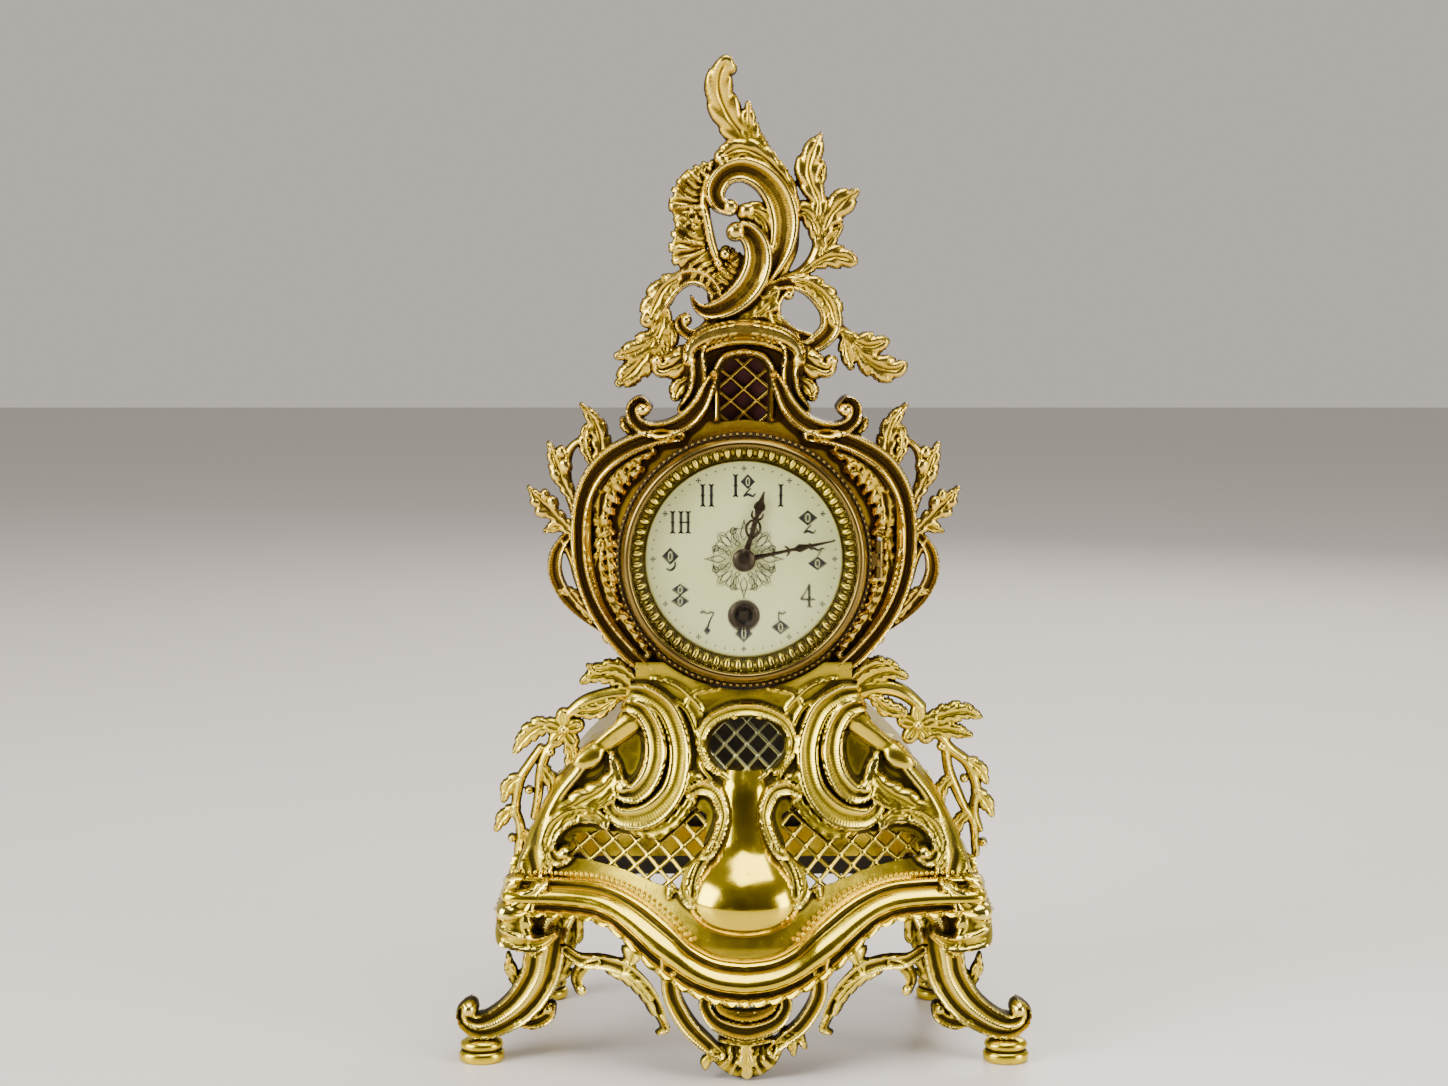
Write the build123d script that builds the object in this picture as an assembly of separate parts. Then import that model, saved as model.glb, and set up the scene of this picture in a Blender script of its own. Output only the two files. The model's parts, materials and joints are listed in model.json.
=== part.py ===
"""Rococo mantel clock in gilt cast brass, modelled as an assembly of separate pieces.

Millimetres. +Z is up, the dial faces -Y, X runs to the viewer's right.
The clock stands on z = 0 and each piece is written to parts/NAME.step.
"""

import math
import os

from build123d import *

# ---------------------------------------------------------------- driving sizes

dial_height = 168.5        # centre of the dial above the table
can_radius = 41.5          # outside of the drum that holds the movement
can_wall = 1.1             # sheet thickness of that drum
can_rear = 30.0            # rear rim of the drum
base_width = 152.0         # width of the base casting at its foot
base_depth_rear = 42.0     # rear face of the base casting
base_wall = 3.0            # thickness of the base casting
crest_height = 89.0        # crest above the hood of the neck
foot_splay = 96.5          # outer edge of the front foot pads from the middle
ornament_thickness = 5.5   # depth of the openwork castings
plate_gap = 19.4           # room between the movement plates
plate_thickness = 1.6
front_plate_face = -9.0    # front face of the front movement plate
depth_offset = 6.3         # moves the whole clock so that its depth is centred on y = 0

# clearances
pivot_clearance = 0.04     # radial, running pivots and pipes
screw_clearance = 0.05     # radial, around fixed screws
seat_clearance = 0.10      # radial, glass and plates in their seats
door_gap = 0.4             # between the closed bezel and the drum rim

# wheel train: tooth counts and modules
barrel_teeth, centre_leaves, barrel_module = 66, 11, 0.50
centre_teeth, third_leaves, centre_module = 72, 9, 0.40
third_teeth, fourth_leaves, third_module = 75, 10, 0.36
fourth_teeth, escape_leaves, fourth_module = 90, 9, 0.28
escape_teeth = 15
cannon_leaves, minute_teeth, motion_module = 12, 36, 0.40
minute_leaves, hour_teeth = 10, 40
pressure_angle = math.radians(25)

# sizes that follow from the ones above
base_top = dial_height - can_radius - 3.0
base_x = base_width / 152.0
base_z = base_top / 124.0
drum_scale = can_radius / 41.5
neck_top = dial_height + 75.5 * drum_scale
crest_scale = crest_height / 89.0
rear_plate_face = front_plate_face + plate_thickness + plate_gap
dial_front = front_plate_face - 10.2
can_front = dial_front - 0.8
bezel_back = can_front - door_gap
bezel_front = bezel_back - 6.6
bezel_radius = can_radius + 1.5
surround_back = -9.0
surround_front = -16.0
band_front = -20.0
hood_front = -21.5

made = {}


# ---------------------------------------------------------------- shape helpers

def keep(name, shape):
    """Remember one named piece and write it, centred front to back on the origin."""
    made[name] = shape
    export_step(Pos(0, depth_offset, 0) * shape, os.path.join("parts", name + ".step"))
    box = shape.bounding_box()
    print(name, round(shape.volume, 1), [round(v, 1) for v in (*box.min, *box.max)])


def slab(face, front, back):
    """A flat shape in the X-Z plane given depth from front to back along Y."""
    plane = Plane.XZ.offset(-back)
    return extrude(plane * face, amount=back - front)


def rod(x, z, radius, front, back):
    """A round bar along Y."""
    return slab(Pos(x, z) * Circle(radius), front, back)


def ring(x, z, outer, inner, front, back):
    """A round ring along Y."""
    return rod(x, z, outer, front, back) - rod(x, z, inner, front - 1, back + 1)


def segment_field(x, z, a, b):
    """Distance from a point to a tapered round stroke between two stroke points."""
    dx = b[0] - a[0]
    dz = b[1] - a[1]
    length2 = max(dx * dx + dz * dz, 1e-9)
    t = max(0.0, min(1.0, ((x - a[0]) * dx + (z - a[1]) * dz) / length2))
    px = a[0] + t * dx
    pz = a[1] + t * dz
    return math.hypot(x - px, z - pz) - 0.5 * (a[2] + t * (b[2] - a[2]))


def smooth_points(points, steps=4):
    """Catmull-Rom curve through (x, z, width) points."""
    padded = [points[0]] + list(points) + [points[-1]]
    curve = []
    for i in range(1, len(padded) - 2):
        p0, p1, p2, p3 = padded[i - 1:i + 3]
        for step in range(steps):
            t = step / steps
            point = []
            for a, b, c, d in zip(p0, p1, p2, p3):
                linear = c - a
                square = 2 * a - 5 * b + 4 * c - d
                cube = 3 * b - a - 3 * c + d
                point.append(0.5 * (2 * b + t * (linear + t * (square + t * cube))))
            curve.append(tuple(point))
    curve.append(tuple(padded[-2]))
    return curve


def stroke_outline(strokes, widen=1.0, blend=0.9, cell=0.55):
    """Closed outlines of the blended union of tapered strokes."""
    curves = [smooth_points(stroke) for stroke in strokes]
    xs = [p[0] for curve in curves for p in curve]
    zs = [p[1] for curve in curves for p in curve]
    widest = max(p[2] for curve in curves for p in curve)
    left = min(xs) - widest - 2
    low = min(zs) - widest - 2
    columns = int((max(xs) + widest + 2 - left) / cell) + 2
    rows = int((max(zs) + widest + 2 - low) / cell) + 2
    field = [[9.0] * rows for _ in range(columns)]
    for curve in curves:
        local = {}
        for a, b in zip(curve, curve[1:]):
            a = (a[0], a[1], a[2] * widen)
            b = (b[0], b[1], b[2] * widen)
            reach = max(a[2], b[2]) / 2 + 2.2
            i0 = int((min(a[0], b[0]) - reach - left) / cell)
            i1 = int((max(a[0], b[0]) + reach - left) / cell) + 1
            j0 = int((min(a[1], b[1]) - reach - low) / cell)
            j1 = int((max(a[1], b[1]) + reach - low) / cell) + 1
            for i in range(max(i0, 0), min(i1, columns - 1) + 1):
                for j in range(max(j0, 0), min(j1, rows - 1) + 1):
                    d = segment_field(left + i * cell, low + j * cell, a, b)
                    if d < local.get((i, j), 9.0):
                        local[(i, j)] = d
        for (i, j), d in local.items():
            old = field[i][j]
            h = max(blend - abs(old - d), 0.0) / blend
            field[i][j] = min(old, d) - h * h * blend * 0.25
    return trace_outlines(field, columns, rows, left, low, cell)


def trace_outlines(field, columns, rows, left, low, cell):
    """Follow the zero line of a sampled field and return closed loops."""
    links = {}

    def crossing(i, j, k, m):
        a = field[i][j]
        b = field[k][m]
        t = min(max(a / (a - b), 0.02), 0.98)
        return (left + (i + t * (k - i)) * cell, low + (j + t * (m - j)) * cell)

    for i in range(columns - 1):
        for j in range(rows - 1):
            corners = [(i, j), (i + 1, j), (i + 1, j + 1), (i, j + 1)]
            inside = [field[a][b] < 0 for a, b in corners]
            if all(inside) or not any(inside):
                continue
            entries = []
            exits = []
            for n in range(4):
                a = corners[n]
                b = corners[(n + 1) % 4]
                if inside[n] == inside[(n + 1) % 4]:
                    continue
                key = (a, b) if a < b else (b, a)
                if inside[n]:
                    exits.append((n, key))
                else:
                    entries.append((n, key))
            for n, key in exits:
                partner = min(entries, key=lambda e: (e[0] - n) % 4)
                entries.remove(partner)
                links[key] = partner[1]
    loops = []
    while links:
        start = next(iter(links))
        loop = []
        key = start
        while key in links:
            (i, j), (k, m) = key
            loop.append(crossing(i, j, k, m))
            key = links.pop(key)
        loops.append(loop)
    return loops


def signed_area(loop):
    total = 0.0
    for a, b in zip(loop, loop[1:] + loop[:1]):
        total += a[0] * b[1] - b[0] * a[1]
    return total / 2


def thin_loop(loop, tolerance=0.07):
    """Drop the points of a loop that lie on a straight run."""

    def simplify(points):
        (ax, az), (bx, bz) = points[0], points[-1]
        length = max(math.hypot(bx - ax, bz - az), 1e-9)
        worst = 0.0
        index = 0
        for n in range(1, len(points) - 1):
            px, pz = points[n]
            d = abs((bx - ax) * (pz - az) - (bz - az) * (px - ax)) / length
            if d > worst:
                worst = d
                index = n
        if worst <= tolerance:
            return [points[0], points[-1]]
        return simplify(points[:index + 1])[:-1] + simplify(points[index:])

    half = len(loop) // 2
    return simplify(loop[:half + 1])[:-1] + simplify(loop[half:] + loop[:1])[:-1]


def loop_face(loop):
    """A flat face bounded by one closed loop of points."""
    return make_face(Polyline(*loop, close=True))


def flat_shape(loops, smallest=2.0):
    """A face from traced loops: material outlines with their holes taken out."""
    solid_faces = []
    holes = []
    for loop in loops:
        area = signed_area(loop)
        if abs(area) < smallest:
            continue
        face = loop_face(thin_loop(loop))
        if area > 0:
            solid_faces.append(face)
        else:
            holes.append(face)
    if not solid_faces:
        holes, solid_faces = [], holes
    shape = solid_faces[0]
    for face in solid_faces[1:]:
        shape = shape + face
    for hole in holes:
        shape = shape - hole
    return shape


def casting(strokes, front, back, ridge=1.2):
    """Openwork casting: the strokes in full width with a narrower raised spine."""
    body = slab(flat_shape(stroke_outline(strokes)), front + ridge, back)
    spine = slab(flat_shape(stroke_outline(strokes, widen=0.55)), front, back - 1.0)
    return body + spine


def place(strokes, x_scale, z_scale, x0=0.0, z0=0.0, mirror=False):
    """Move strokes to their anchor, scaled and if asked mirrored left to right."""
    side = -1.0 if mirror else 1.0
    width_scale = min(x_scale, z_scale)
    moved = []
    for stroke in strokes:
        moved.append([
            (x0 + side * x * x_scale, z0 + z * z_scale, w * width_scale)
            for x, z, w in stroke
        ])
    return moved


def largest(shape):
    """The main solid of a shape, without crumbs left by a cut."""
    return max(shape.solids(), key=lambda solid: solid.volume)


# ---------------------------------------------------------------- wheels

def tooth_flank(teeth, module, radius, thickness):
    """Half the angle a tooth fills at a radius."""
    pitch = teeth * module / 2
    base = pitch * math.cos(pressure_angle)
    here = math.acos(min(1.0, base / max(radius, base)))
    return (thickness / (2 * pitch)
            + (math.tan(pressure_angle) - pressure_angle)
            - (math.tan(here) - here))


def wheel_outline(teeth, module, turn):
    """Outline of an involute wheel, one tooth centred on the angle turn."""
    pitch = teeth * module / 2
    tip = pitch + 0.75 * module
    root = pitch - 1.0 * module
    base = pitch * math.cos(pressure_angle)
    low = max(base, root + 0.05 * module)
    thickness = math.pi * module / 2 * 0.84
    radii = [low + (tip - low) * t for t in (0.0, 0.45, 1.0)]
    points = []
    step = 2 * math.pi / teeth
    for n in range(teeth):
        middle = turn + n * step
        foot = tooth_flank(teeth, module, low, thickness)
        points.append((root, middle - foot))
        points += [(r, middle - tooth_flank(teeth, module, r, thickness)) for r in radii]
        points += [(r, middle + tooth_flank(teeth, module, r, thickness)) for r in reversed(radii)]
        points.append((root, middle + foot))
    return [(r * math.cos(a), r * math.sin(a)) for r, a in points]


def toothed(x, z, teeth, module, turn, front, back):
    """A solid toothed disc."""
    outline = wheel_outline(teeth, module, turn)
    return slab(Pos(x, z) * loop_face(outline), front, back)


def spoked(x, z, teeth, module, turn, front, back, hub, spokes=4):
    """A wheel with a rim, round windows and straight spokes."""
    wheel = toothed(x, z, teeth, module, turn, front, back)
    rim = teeth * module / 2 - 1.0 * module - 1.3
    window = Circle(rim) - Circle(hub)
    for n in range(spokes):
        window -= Rot(0, 0, 180.0 * n / spokes * 2) * Rectangle(4 * rim, 1.5)
    return wheel - slab(Pos(x, z) * window, front - 1, back + 1)


def mesh_turn(here, there, teeth_here, turn_here, teeth_there):
    """Angle of the second wheel that puts its gaps round the first wheel's teeth."""
    direction = math.atan2(there[1] - here[1], there[0] - here[0])
    step_here = 2 * math.pi / teeth_here
    step_there = 2 * math.pi / teeth_there
    fraction = ((direction - turn_here) / step_here) % 1.0
    return direction + math.pi + (fraction + 0.5) * step_there


def polar(centre, distance, degrees):
    """A point at a distance and an angle from another one."""
    angle = math.radians(degrees)
    return (centre[0] + distance * math.cos(angle), centre[1] + distance * math.sin(angle))


# ---------------------------------------------------------------- strokes of the ornament
# (x, z, width) along each scroll or leaf, in the plane of the casting

crest_strokes = [
    # tall curled leaf and its second tip
    [(8, 57.5, 5.5), (1.5, 64, 7.5), (-5, 71, 7.5), (-8, 79, 8.5), (-7.5, 85.5, 6.5), (-6, 88.5, 4.5)],
    [(3, 64, 5.5), (1, 70.5, 5), (1, 75.5, 2)],
    # leaf that wraps the back of the large scroll
    [(17, 41, 3), (14.5, 50, 3.5), (8, 57.5, 4.5), (1, 60.5, 6), (-6.5, 59, 6)],
    # large C scroll
    [(-5.5, 42, 4), (-9.5, 45, 5), (-9, 50, 6.5), (-3.5, 53.5, 6.5), (4.5, 51.5, 8), (10, 45.5, 8.5),
     (13, 37, 8.5), (12, 29, 7.5), (9, 23, 6), (6.5, 17.5, 4)],
    # inner S scroll and small curl
    [(-3.5, 34, 5.5), (1.5, 32.5, 7), (4.5, 26, 8.5), (3, 17.5, 8.5), (-4, 10, 7.5), (-12, 7, 5), (-17.5, 11.5, 1.2)],
    [(1, 40, 4.5), (5.5, 38.5, 6), (8, 33.5, 4.5), (9, 26.5, 2.5)],
    # ruffled shell on the left
    [(-13, 53, 6), (-17, 49, 10), (-18.5, 44, 12), (-17, 38, 11), (-17, 31, 13), (-15, 25, 12), (-8, 20, 12), (-7, 14, 9)],
    # right branch with its leaves
    [(8.5, 17, 3.5), (17, 19.5, 3), (23, 25, 4), (25.5, 31, 4.5), (25, 38, 6), (20.5, 42, 6), (16.5, 42, 4)],
    [(25.5, 41, 4.5), (24.5, 46.5, 4.5), (21.5, 51.5, 6), (21.5, 57.5, 7), (24, 62.5, 4.5), (25.5, 65.5, 1.2)],
    [(21, 51, 4), (19.5, 54.5, 3), (18.5, 58, 1.5)],
    [(26.5, 34.5, 4), (29.5, 40.5, 7), (33, 44, 7), (37.5, 47, 1.5)],
    [(25, 29, 2.5), (29, 31.5, 3.5), (32, 35, 1.5)],
    [(20.5, 22, 2.5), (26.5, 25, 4.5), (32.5, 25.5, 6.5), (37, 24, 2.5)],
    # left drooping arm
    [(-9.5, 10, 3.5), (-11, 16, 4), (-16.5, 19, 4.5), (-22, 18, 5.5), (-26.5, 13.5, 6.5), (-29.5, 9, 7), (-32, 5, 3.5)],
    [(-27, 10, 5), (-29, -1, 7.5), (-34.5, -5, 6), (-42, -7, 3)],
    [(-30, -2.5, 4.5), (-34, -10, 7.5), (-41, -15.5, 4)],
    [(-26.5, 5.5, 4), (-25, -1.5, 4), (-24.5, -5.5, 1.5)],
    # right arm with its loop
    [(8.5, 15, 3.5), (15.5, 17, 3.5), (23.5, 14.5, 5), (28.5, 9, 6), (29.5, 3, 6), (26, -2, 6.5), (21.5, -4.5, 4)],
    [(15, 13.5, 2.5), (11.5, 12, 3), (10.5, 5.5, 4), (14.5, 0.5, 4), (21.5, -1.5, 4)],
    [(30, 4, 4), (35, -1, 4.5), (40, -4, 7), (46.5, -3, 3.5)],
    [(37, -4, 4.5), (44.5, -10.5, 8.5), (52.5, -11.5, 4)],
    [(34.5, -2.5, 4), (35.5, -10, 3.5)],
    # small curl and the saddle that sits on the hood
    [(-13, 1, 4), (-17, -0.5, 3.5), (-20.5, 1.5, 3), (-21.5, 4.5, 3), (-19, 5.5, 2)],
    [(-15, -0.5, 4), (-12, 3, 5), (-3, 5, 6), (5.5, 5.5, 7), (12.5, 2.5, 6), (17, -1, 4)],
    [(2, 7, 7), (7.5, 14.5, 7.5), (9.5, 20.5, 5)],
]

# left half of the drum surround, measured from the centre of the dial
band_strokes = [
    [(-24, 40.5, 4), (-37.5, 37.5, 5.5), (-47, 32, 6), (-53.5, 23, 5), (-56, 11.5, 4.5), (-55.5, -2, 4.5),
     (-52, -13.5, 4.5), (-45.5, -25, 4.5), (-38, -33, 5), (-33, -37, 4)],
    [(-13.5, 66, 4), (-14, 61, 4), (-15, 55, 4.5), (-18.5, 48.5, 5), (-25.5, 43.5, 5), (-33, 43.5, 4.5),
     (-37, 48, 4), (-34.5, 51, 4), (-32.5, 48.5, 4)],
    [(-17, 69, 5), (-20, 66, 5), (-23, 63, 5), (-27, 62, 4), (-29, 65, 2.5)],
    [(-10, 69, 4), (-10.5, 62.5, 4), (-12.5, 55, 4.5), (-15, 48.5, 4.5)],
]
hood_stroke = [(-18, 66.5, 4), (-15, 72, 6), (-9, 74.5, 7), (0, 75.5, 7.5), (9, 74.5, 7), (15, 72, 6), (18, 66.5, 4)]

# left wing, measured from the centre of the dial
wing_strokes = [
    # spine behind the side band of the drum
    [(-49, 33, 4), (-51.5, 26, 4), (-54.5, 17, 4), (-56, 8, 4), (-55.5, -3, 4), (-53, -12, 4), (-49.5, -19, 3.5)],
    # leaves and loops outside the band
    [(-51, 27, 4), (-49.5, 33, 4), (-48.5, 38.5, 5.5), (-50, 45, 5.5), (-54.5, 51, 1.5)],
    [(-49, 39, 2.2), (-55, 39, 2.2), (-59, 35.5, 2.4), (-60, 30, 2.6), (-59, 22.5, 3), (-55.5, 13, 4)],
    [(-58.5, 19.5, 3), (-61.5, 25.5, 5), (-63.5, 32, 6), (-65.5, 38, 1.5)],
    [(-55, 6, 4), (-61.5, 12, 4.5), (-65.5, 15.5, 6.5), (-69.5, 19, 5.5), (-72.5, 23, 1.5)],
    [(-66, 15.5, 4), (-66, 19.5, 3), (-66.5, 22, 1.5)],
    [(-61, 10, 4), (-64.5, 10, 4), (-67.5, 8.5, 1.5)],
    [(-58, 8, 3), (-60.5, 6, 2.6), (-64, 1.5, 4), (-64, -6.5, 4), (-59, -16, 3.5), (-51, -23, 3), (-46, -26, 3)],
    [(-62, 7, 2.4), (-58, -1, 2.6), (-54, -10.5, 3)],
    [(-60, -14, 3), (-56, -15.5, 3), (-51, -21, 3)],
]

# left garland
garland_strokes = [
    [(-49.5, 129, 2.5), (-45.5, 131, 4.5), (-38.5, 128.5, 4), (-33, 122, 4.5)],
    [(-33, 120, 5), (-39.5, 123.5, 5.5), (-51.5, 120.5, 6), (-59.5, 115.5, 4.5), (-60.5, 109, 4)],
    [(-61.5, 110, 10), (-61.6, 109.6, 10)],
    [(-63, 109.5, 5), (-71, 108, 6.5), (-77, 102.5, 2)],
    [(-64.5, 106, 3.4), (-68.5, 100.5, 3.5), (-69.5, 94, 3.5), (-66, 86, 4)],
    [(-69, 102, 3.2), (-73, 96.5, 3.2), (-76.5, 93, 4.5), (-78, 86, 4), (-79, 80.5, 3.5), (-82, 79, 2)],
    [(-79, 80.5, 3), (-76, 75, 3.5), (-77, 68.5, 3.5), (-73, 62, 4)],
]

# C scrolls and leaves on the front of the base, left half
base_strokes = [
    [(-39, 117.5, 4), (-34, 116.5, 6.5), (-30, 107, 7), (-32, 95.5, 7), (-38, 90.5, 6.5), (-40, 89.5, 4.5)],
    [(-36, 124, 5), (-32.5, 122, 6.5), (-25, 116.5, 7), (-21.5, 104.5, 7), (-23.5, 91.5, 7.5), (-31.5, 83.5, 8.5),
     (-42, 83, 6.5), (-44.5, 86.5, 4)],
    [(-38.5, 111, 7), (-51, 104, 7.5), (-60, 95, 8), (-66, 87, 7.5), (-69.5, 75.5, 6), (-71, 66, 5)],
    [(-46.5, 80.5, 4), (-53, 82, 5.5), (-62, 79.5, 5), (-66.5, 73, 4.5)],
    [(-16.5, 93.5, 4.5), (-9.5, 93, 5), (-8, 88, 4)],
]
panel_outline = [(-59.5, 70), (-57.5, 76.5), (-48, 78), (-37.5, 77), (-30, 76), (-22.5, 80.5), (-16.5, 87),
                 (-12.5, 84.5), (-12.5, 79), (-14, 73.5), (-19.5, 68.5), (-21.5, 61.5), (-29, 62.5), (-40, 66),
                 (-50.5, 68), (-56, 68.5)]
oval_centre = (1.0, 106.0)
oval_radii = (12.5, 9.3)

# plinth band seen from the front: upper and lower edge of the right half
band_top_edge = [(0, 40.5), (9, 41.5), (17, 45), (25, 51.5), (35, 58), (46, 62), (58, 63), (90, 63)]
band_low_edge = [(90, 51), (58, 51), (46, 49), (38, 43.5), (30, 36.5), (20, 31), (10, 28), (0, 27)]

# left front foot, apron and bracket
foot_strokes = [
    [(-66, 48, 13), (-67.5, 42.5, 10), (-67, 32.5, 10), (-71.5, 20.5, 10), (-80, 12.5, 9), (-88, 11, 7.5),
     (-93.5, 14.5, 5), (-93, 19, 4)],
    [(-72, 21, 4.5), (-77, 28, 4.5), (-79.5, 35.5, 2)],
    [(-66, 25.5, 6.5), (-61, 32.5, 6.5), (-60, 39, 6), (-62, 46, 7)],
    [(-72.5, 14, 5), (-66, 15, 5)],
]
apron_strokes = [
    [(-25, 40, 6), (-24, 34.5, 5), (-22.5, 25.5, 5.5), (-17, 16, 5.5), (-9, 8.5, 6)],
    [(25, 40, 6), (24, 34.5, 5), (22.5, 26.5, 5.5), (17, 17, 5.5), (9, 9, 6)],
    [(-11, 30, 4), (-12, 25, 4), (-9, 19.5, 5), (0, 15, 5.5), (9, 19.5, 5), (12, 25, 4), (11, 30, 4)],
    [(-9, 9, 5), (0, 10, 11), (9, 9, 5)],
    [(-4, 6.5, 8), (0, 5.5, 9), (4, 6.5, 8)],
]
bracket_strokes = [
    [(-4, 38, 5), (2, 33.5, 4.5), (12, 34.5, 4), (22, 34.5, 5.5), (31, 28.5, 6), (37, 18.5, 2.5)],
    [(12, 34.5, 3), (6, 32, 3.5), (5.5, 25.5, 2.5)],
    [(22, 31, 3), (30, 30.5, 5), (35, 24.5, 3.5)],
    [(22, 35, 5), (25, 42, 5), (26, 49, 5)],
    [(31, 29, 4), (38, 33, 4), (43, 35, 4.5)],
]


# ---------------------------------------------------------------- base casting

# height, half width, depth of the corners and extra depth in the middle
base_sections = [
    (24, 76, 34, 20),
    (44, 76, 33.5, 19.5),
    (64, 74, 30.5, 16),
    (80, 68, 27, 11),
    (95, 60, 24, 7),
    (106, 49, 22, 3.5),
    (116, 38.5, 21, 1.5),
    (124, 36.5, 20.5, 0.8),
]


def base_body(grow, rear, top_cut=0.0):
    """Solid bombe body with every front and side wall moved outward by grow."""
    sections = []
    for z, half, corner, bow in base_sections:
        height = z * base_z
        if z == base_sections[-1][0]:
            height -= top_cut
        half = half * base_x + grow
        curve = [
            (-half, -corner - grow * 0.9),
            (-0.52 * half, -corner - 0.42 * bow - grow),
            (0, -corner - bow - grow),
            (0.52 * half, -corner - 0.42 * bow - grow),
            (half, -corner - grow * 0.9),
        ]
        front = Spline(*curve, tangents=((1, -0.12), (1, 0.12)))
        sides = Polyline(curve[-1], (half, rear), (-half, rear), curve[0])
        sections.append(Pos(0, 0, height) * make_face(front + sides))
    return loft(sections, ruled=True)


def below(edge, drop=80.0):
    """Everything in front view below an edge given for the right half."""
    right = [(x * base_x, z * base_z) for x, z in edge]
    left = [(-x, z) for x, z in reversed(right)]
    outline = left[:-1] + right
    outline = outline + [(outline[-1][0], -drop), (outline[0][0], -drop)]
    return slab(loop_face(outline), -90, 90)


def mirror_points(points):
    return [(-p[0],) + tuple(p[1:]) for p in points]


def base_points(points):
    return [(p[0] * base_x, p[1] * base_z) for p in points]


def lattice(x0, x1, z0, z1, pitch, bar, slope):
    """Crossed bars in front view, wide enough to fill a box."""
    bars = None
    across = math.hypot(x1 - x0, z1 - z0) * 1.2
    middle = ((x0 + x1) / 2, (z0 + z1) / 2)
    count = int(across / pitch) + 1
    for tilt in (slope, -slope):
        for n in range(-count, count + 1):
            strip = Pos(*middle) * Rot(0, 0, tilt) * Pos(0, n * pitch) * Rectangle(across * 2, bar)
            bars = strip if bars is None else bars + strip
    return bars


os.makedirs("parts", exist_ok=True)

centre = (0.0, dial_height)

body_outer = base_body(0.0, base_depth_rear)
body_inner = base_body(-base_wall, base_depth_rear + 5, top_cut=base_wall)
body_grille = base_body(-base_wall - 1.4, base_depth_rear + 5, top_cut=base_wall + 1.4)
body_raised = base_body(1.4, base_depth_rear)
body_plinth = base_body(3.0, base_depth_rear)
body_plinth_inner = base_body(-base_wall, base_depth_rear - 3.0)

left_panel = loop_face(base_points(panel_outline))
right_panel = loop_face(base_points(mirror_points(panel_outline)))
oval_place = Pos(oval_centre[0] * base_x, oval_centre[1] * base_z)


def oval_face(grow):
    """Oval drawn as a polygon, grown outward by a distance."""
    points = []
    for n in range(40):
        angle = 2 * math.pi * n / 40
        points.append(((oval_radii[0] + grow) * math.cos(angle), (oval_radii[1] + grow) * math.sin(angle)))
    return oval_place * loop_face(points)


oval = oval_face(0.0)
can_cylinder = rod(*centre, can_radius, -60, 60)

# pear shaped bulb: height, depth of its axis, radius
bulb_sections = [
    (45, -41, 6.5), (49, -42, 10.5), (57, -41, 14), (65, -38.5, 13),
    (73, -35.5, 8.5), (81, -33, 6), (91, -29.5, 5), (99, -26, 4.5),
]
bulb = loft([Pos(0, y, z * base_z) * Circle(r) for z, y, r in bulb_sections])

both_sides = place(base_strokes, base_x, base_z) + place(base_strokes, base_x, base_z, mirror=True)
scroll_relief = body_raised & slab(flat_shape(stroke_outline(both_sides)), -90, -8)
oval_rim = body_raised & slab(oval_face(2.6), -90, -8)

# front saddle that carries the drum, and a rib under its rear end
saddle_half = 36.0 * base_x
saddle_outline = [
    (-saddle_half, base_top - 2), (-saddle_half, base_top + 9), (-saddle_half + 4, base_top + 12),
    (saddle_half - 4, base_top + 12), (saddle_half, base_top + 9), (saddle_half, base_top - 2),
]
front_saddle = slab(loop_face(saddle_outline), can_front + 0.5, surround_back)
rear_saddle = slab(Pos(0, base_top) * Rectangle(44, 14), 19, 24)

base = body_outer + scroll_relief + oval_rim + front_saddle + rear_saddle + bulb
base = base - body_inner
base = base - slab(left_panel, -90, 0) - slab(right_panel, -90, 0) - slab(oval, -90, 0)

# bosses for the screws of the back plate
boss_points = [
    (side * half * base_x, z * base_z)
    for side in (-1, 1) for half, z in ((66, 70), (49, 96))
]
boss_front = base_depth_rear - 14
for x, z in boss_points:
    boss = slab(Pos(x, z) * Circle(4.5), boss_front, base_depth_rear)
    boss += slab(Pos(x + math.copysign(4, x), z) * Rectangle(8, 5), boss_front, base_depth_rear)
    base = base + (boss & body_outer) - rod(x, z, 1.2 + screw_clearance, base_depth_rear - 9, 90)

base = base - below(band_top_edge) - can_cylinder
for angle in (247, 293):
    x, z = polar(centre, can_radius + 2.5, angle)
    base = base - rod(x, z, 1.2 + screw_clearance, surround_back - 6, surround_back + 4)
base = largest(base)
keep("base_shell", base)


def grille(name, border, inside, pitch, bar, slope, box):
    """Cast lattice that lies against the inner face of the base front."""
    x0, x1, z0, z1 = box
    pattern = lattice(x0 * base_x, x1 * base_x, z0 * base_z, z1 * base_z, pitch, bar, slope)
    rim = border - inside
    leaf = body_inner - body_grille
    piece = leaf & slab((pattern & border) + rim, -90, 5)
    keep(name, largest(piece))


grille("left_grille", offset(left_panel, 2.2), offset(left_panel, 0.6), 5.6, 1.4, 41, (-62, -10, 60, 90))
grille("right_grille", offset(right_panel, 2.2), offset(right_panel, 0.6), 5.6, 1.4, 41, (10, 62, 60, 90))
grille("oval_grille", oval_face(2.2), oval_face(0.6), 5.6, 1.2, 45, (-14, 16, 96, 116))

# ---------------------------------------------------------------- plinth, feet, apron

band = below(band_top_edge) & (slab(Pos(0, 40) * Rectangle(300, 400), -90, 0))
band_cut = list(reversed(band_low_edge))
band = band - below(band_cut)
rear_band = Pos(0, 45, 57 * base_z) * Box(300, 90, 12 * base_z)
plinth = (body_plinth - body_plinth_inner) & (band + rear_band)
shelf_top = 51 * base_z + 2.5
shelf = body_outer & (Pos(0, 0, 51 * base_z + 1.25) * Box(300, 200, 2.5))
shelf = shelf - Box(2 * 48 * base_x, 300, 300)
plinth = largest(plinth + shelf)

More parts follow.
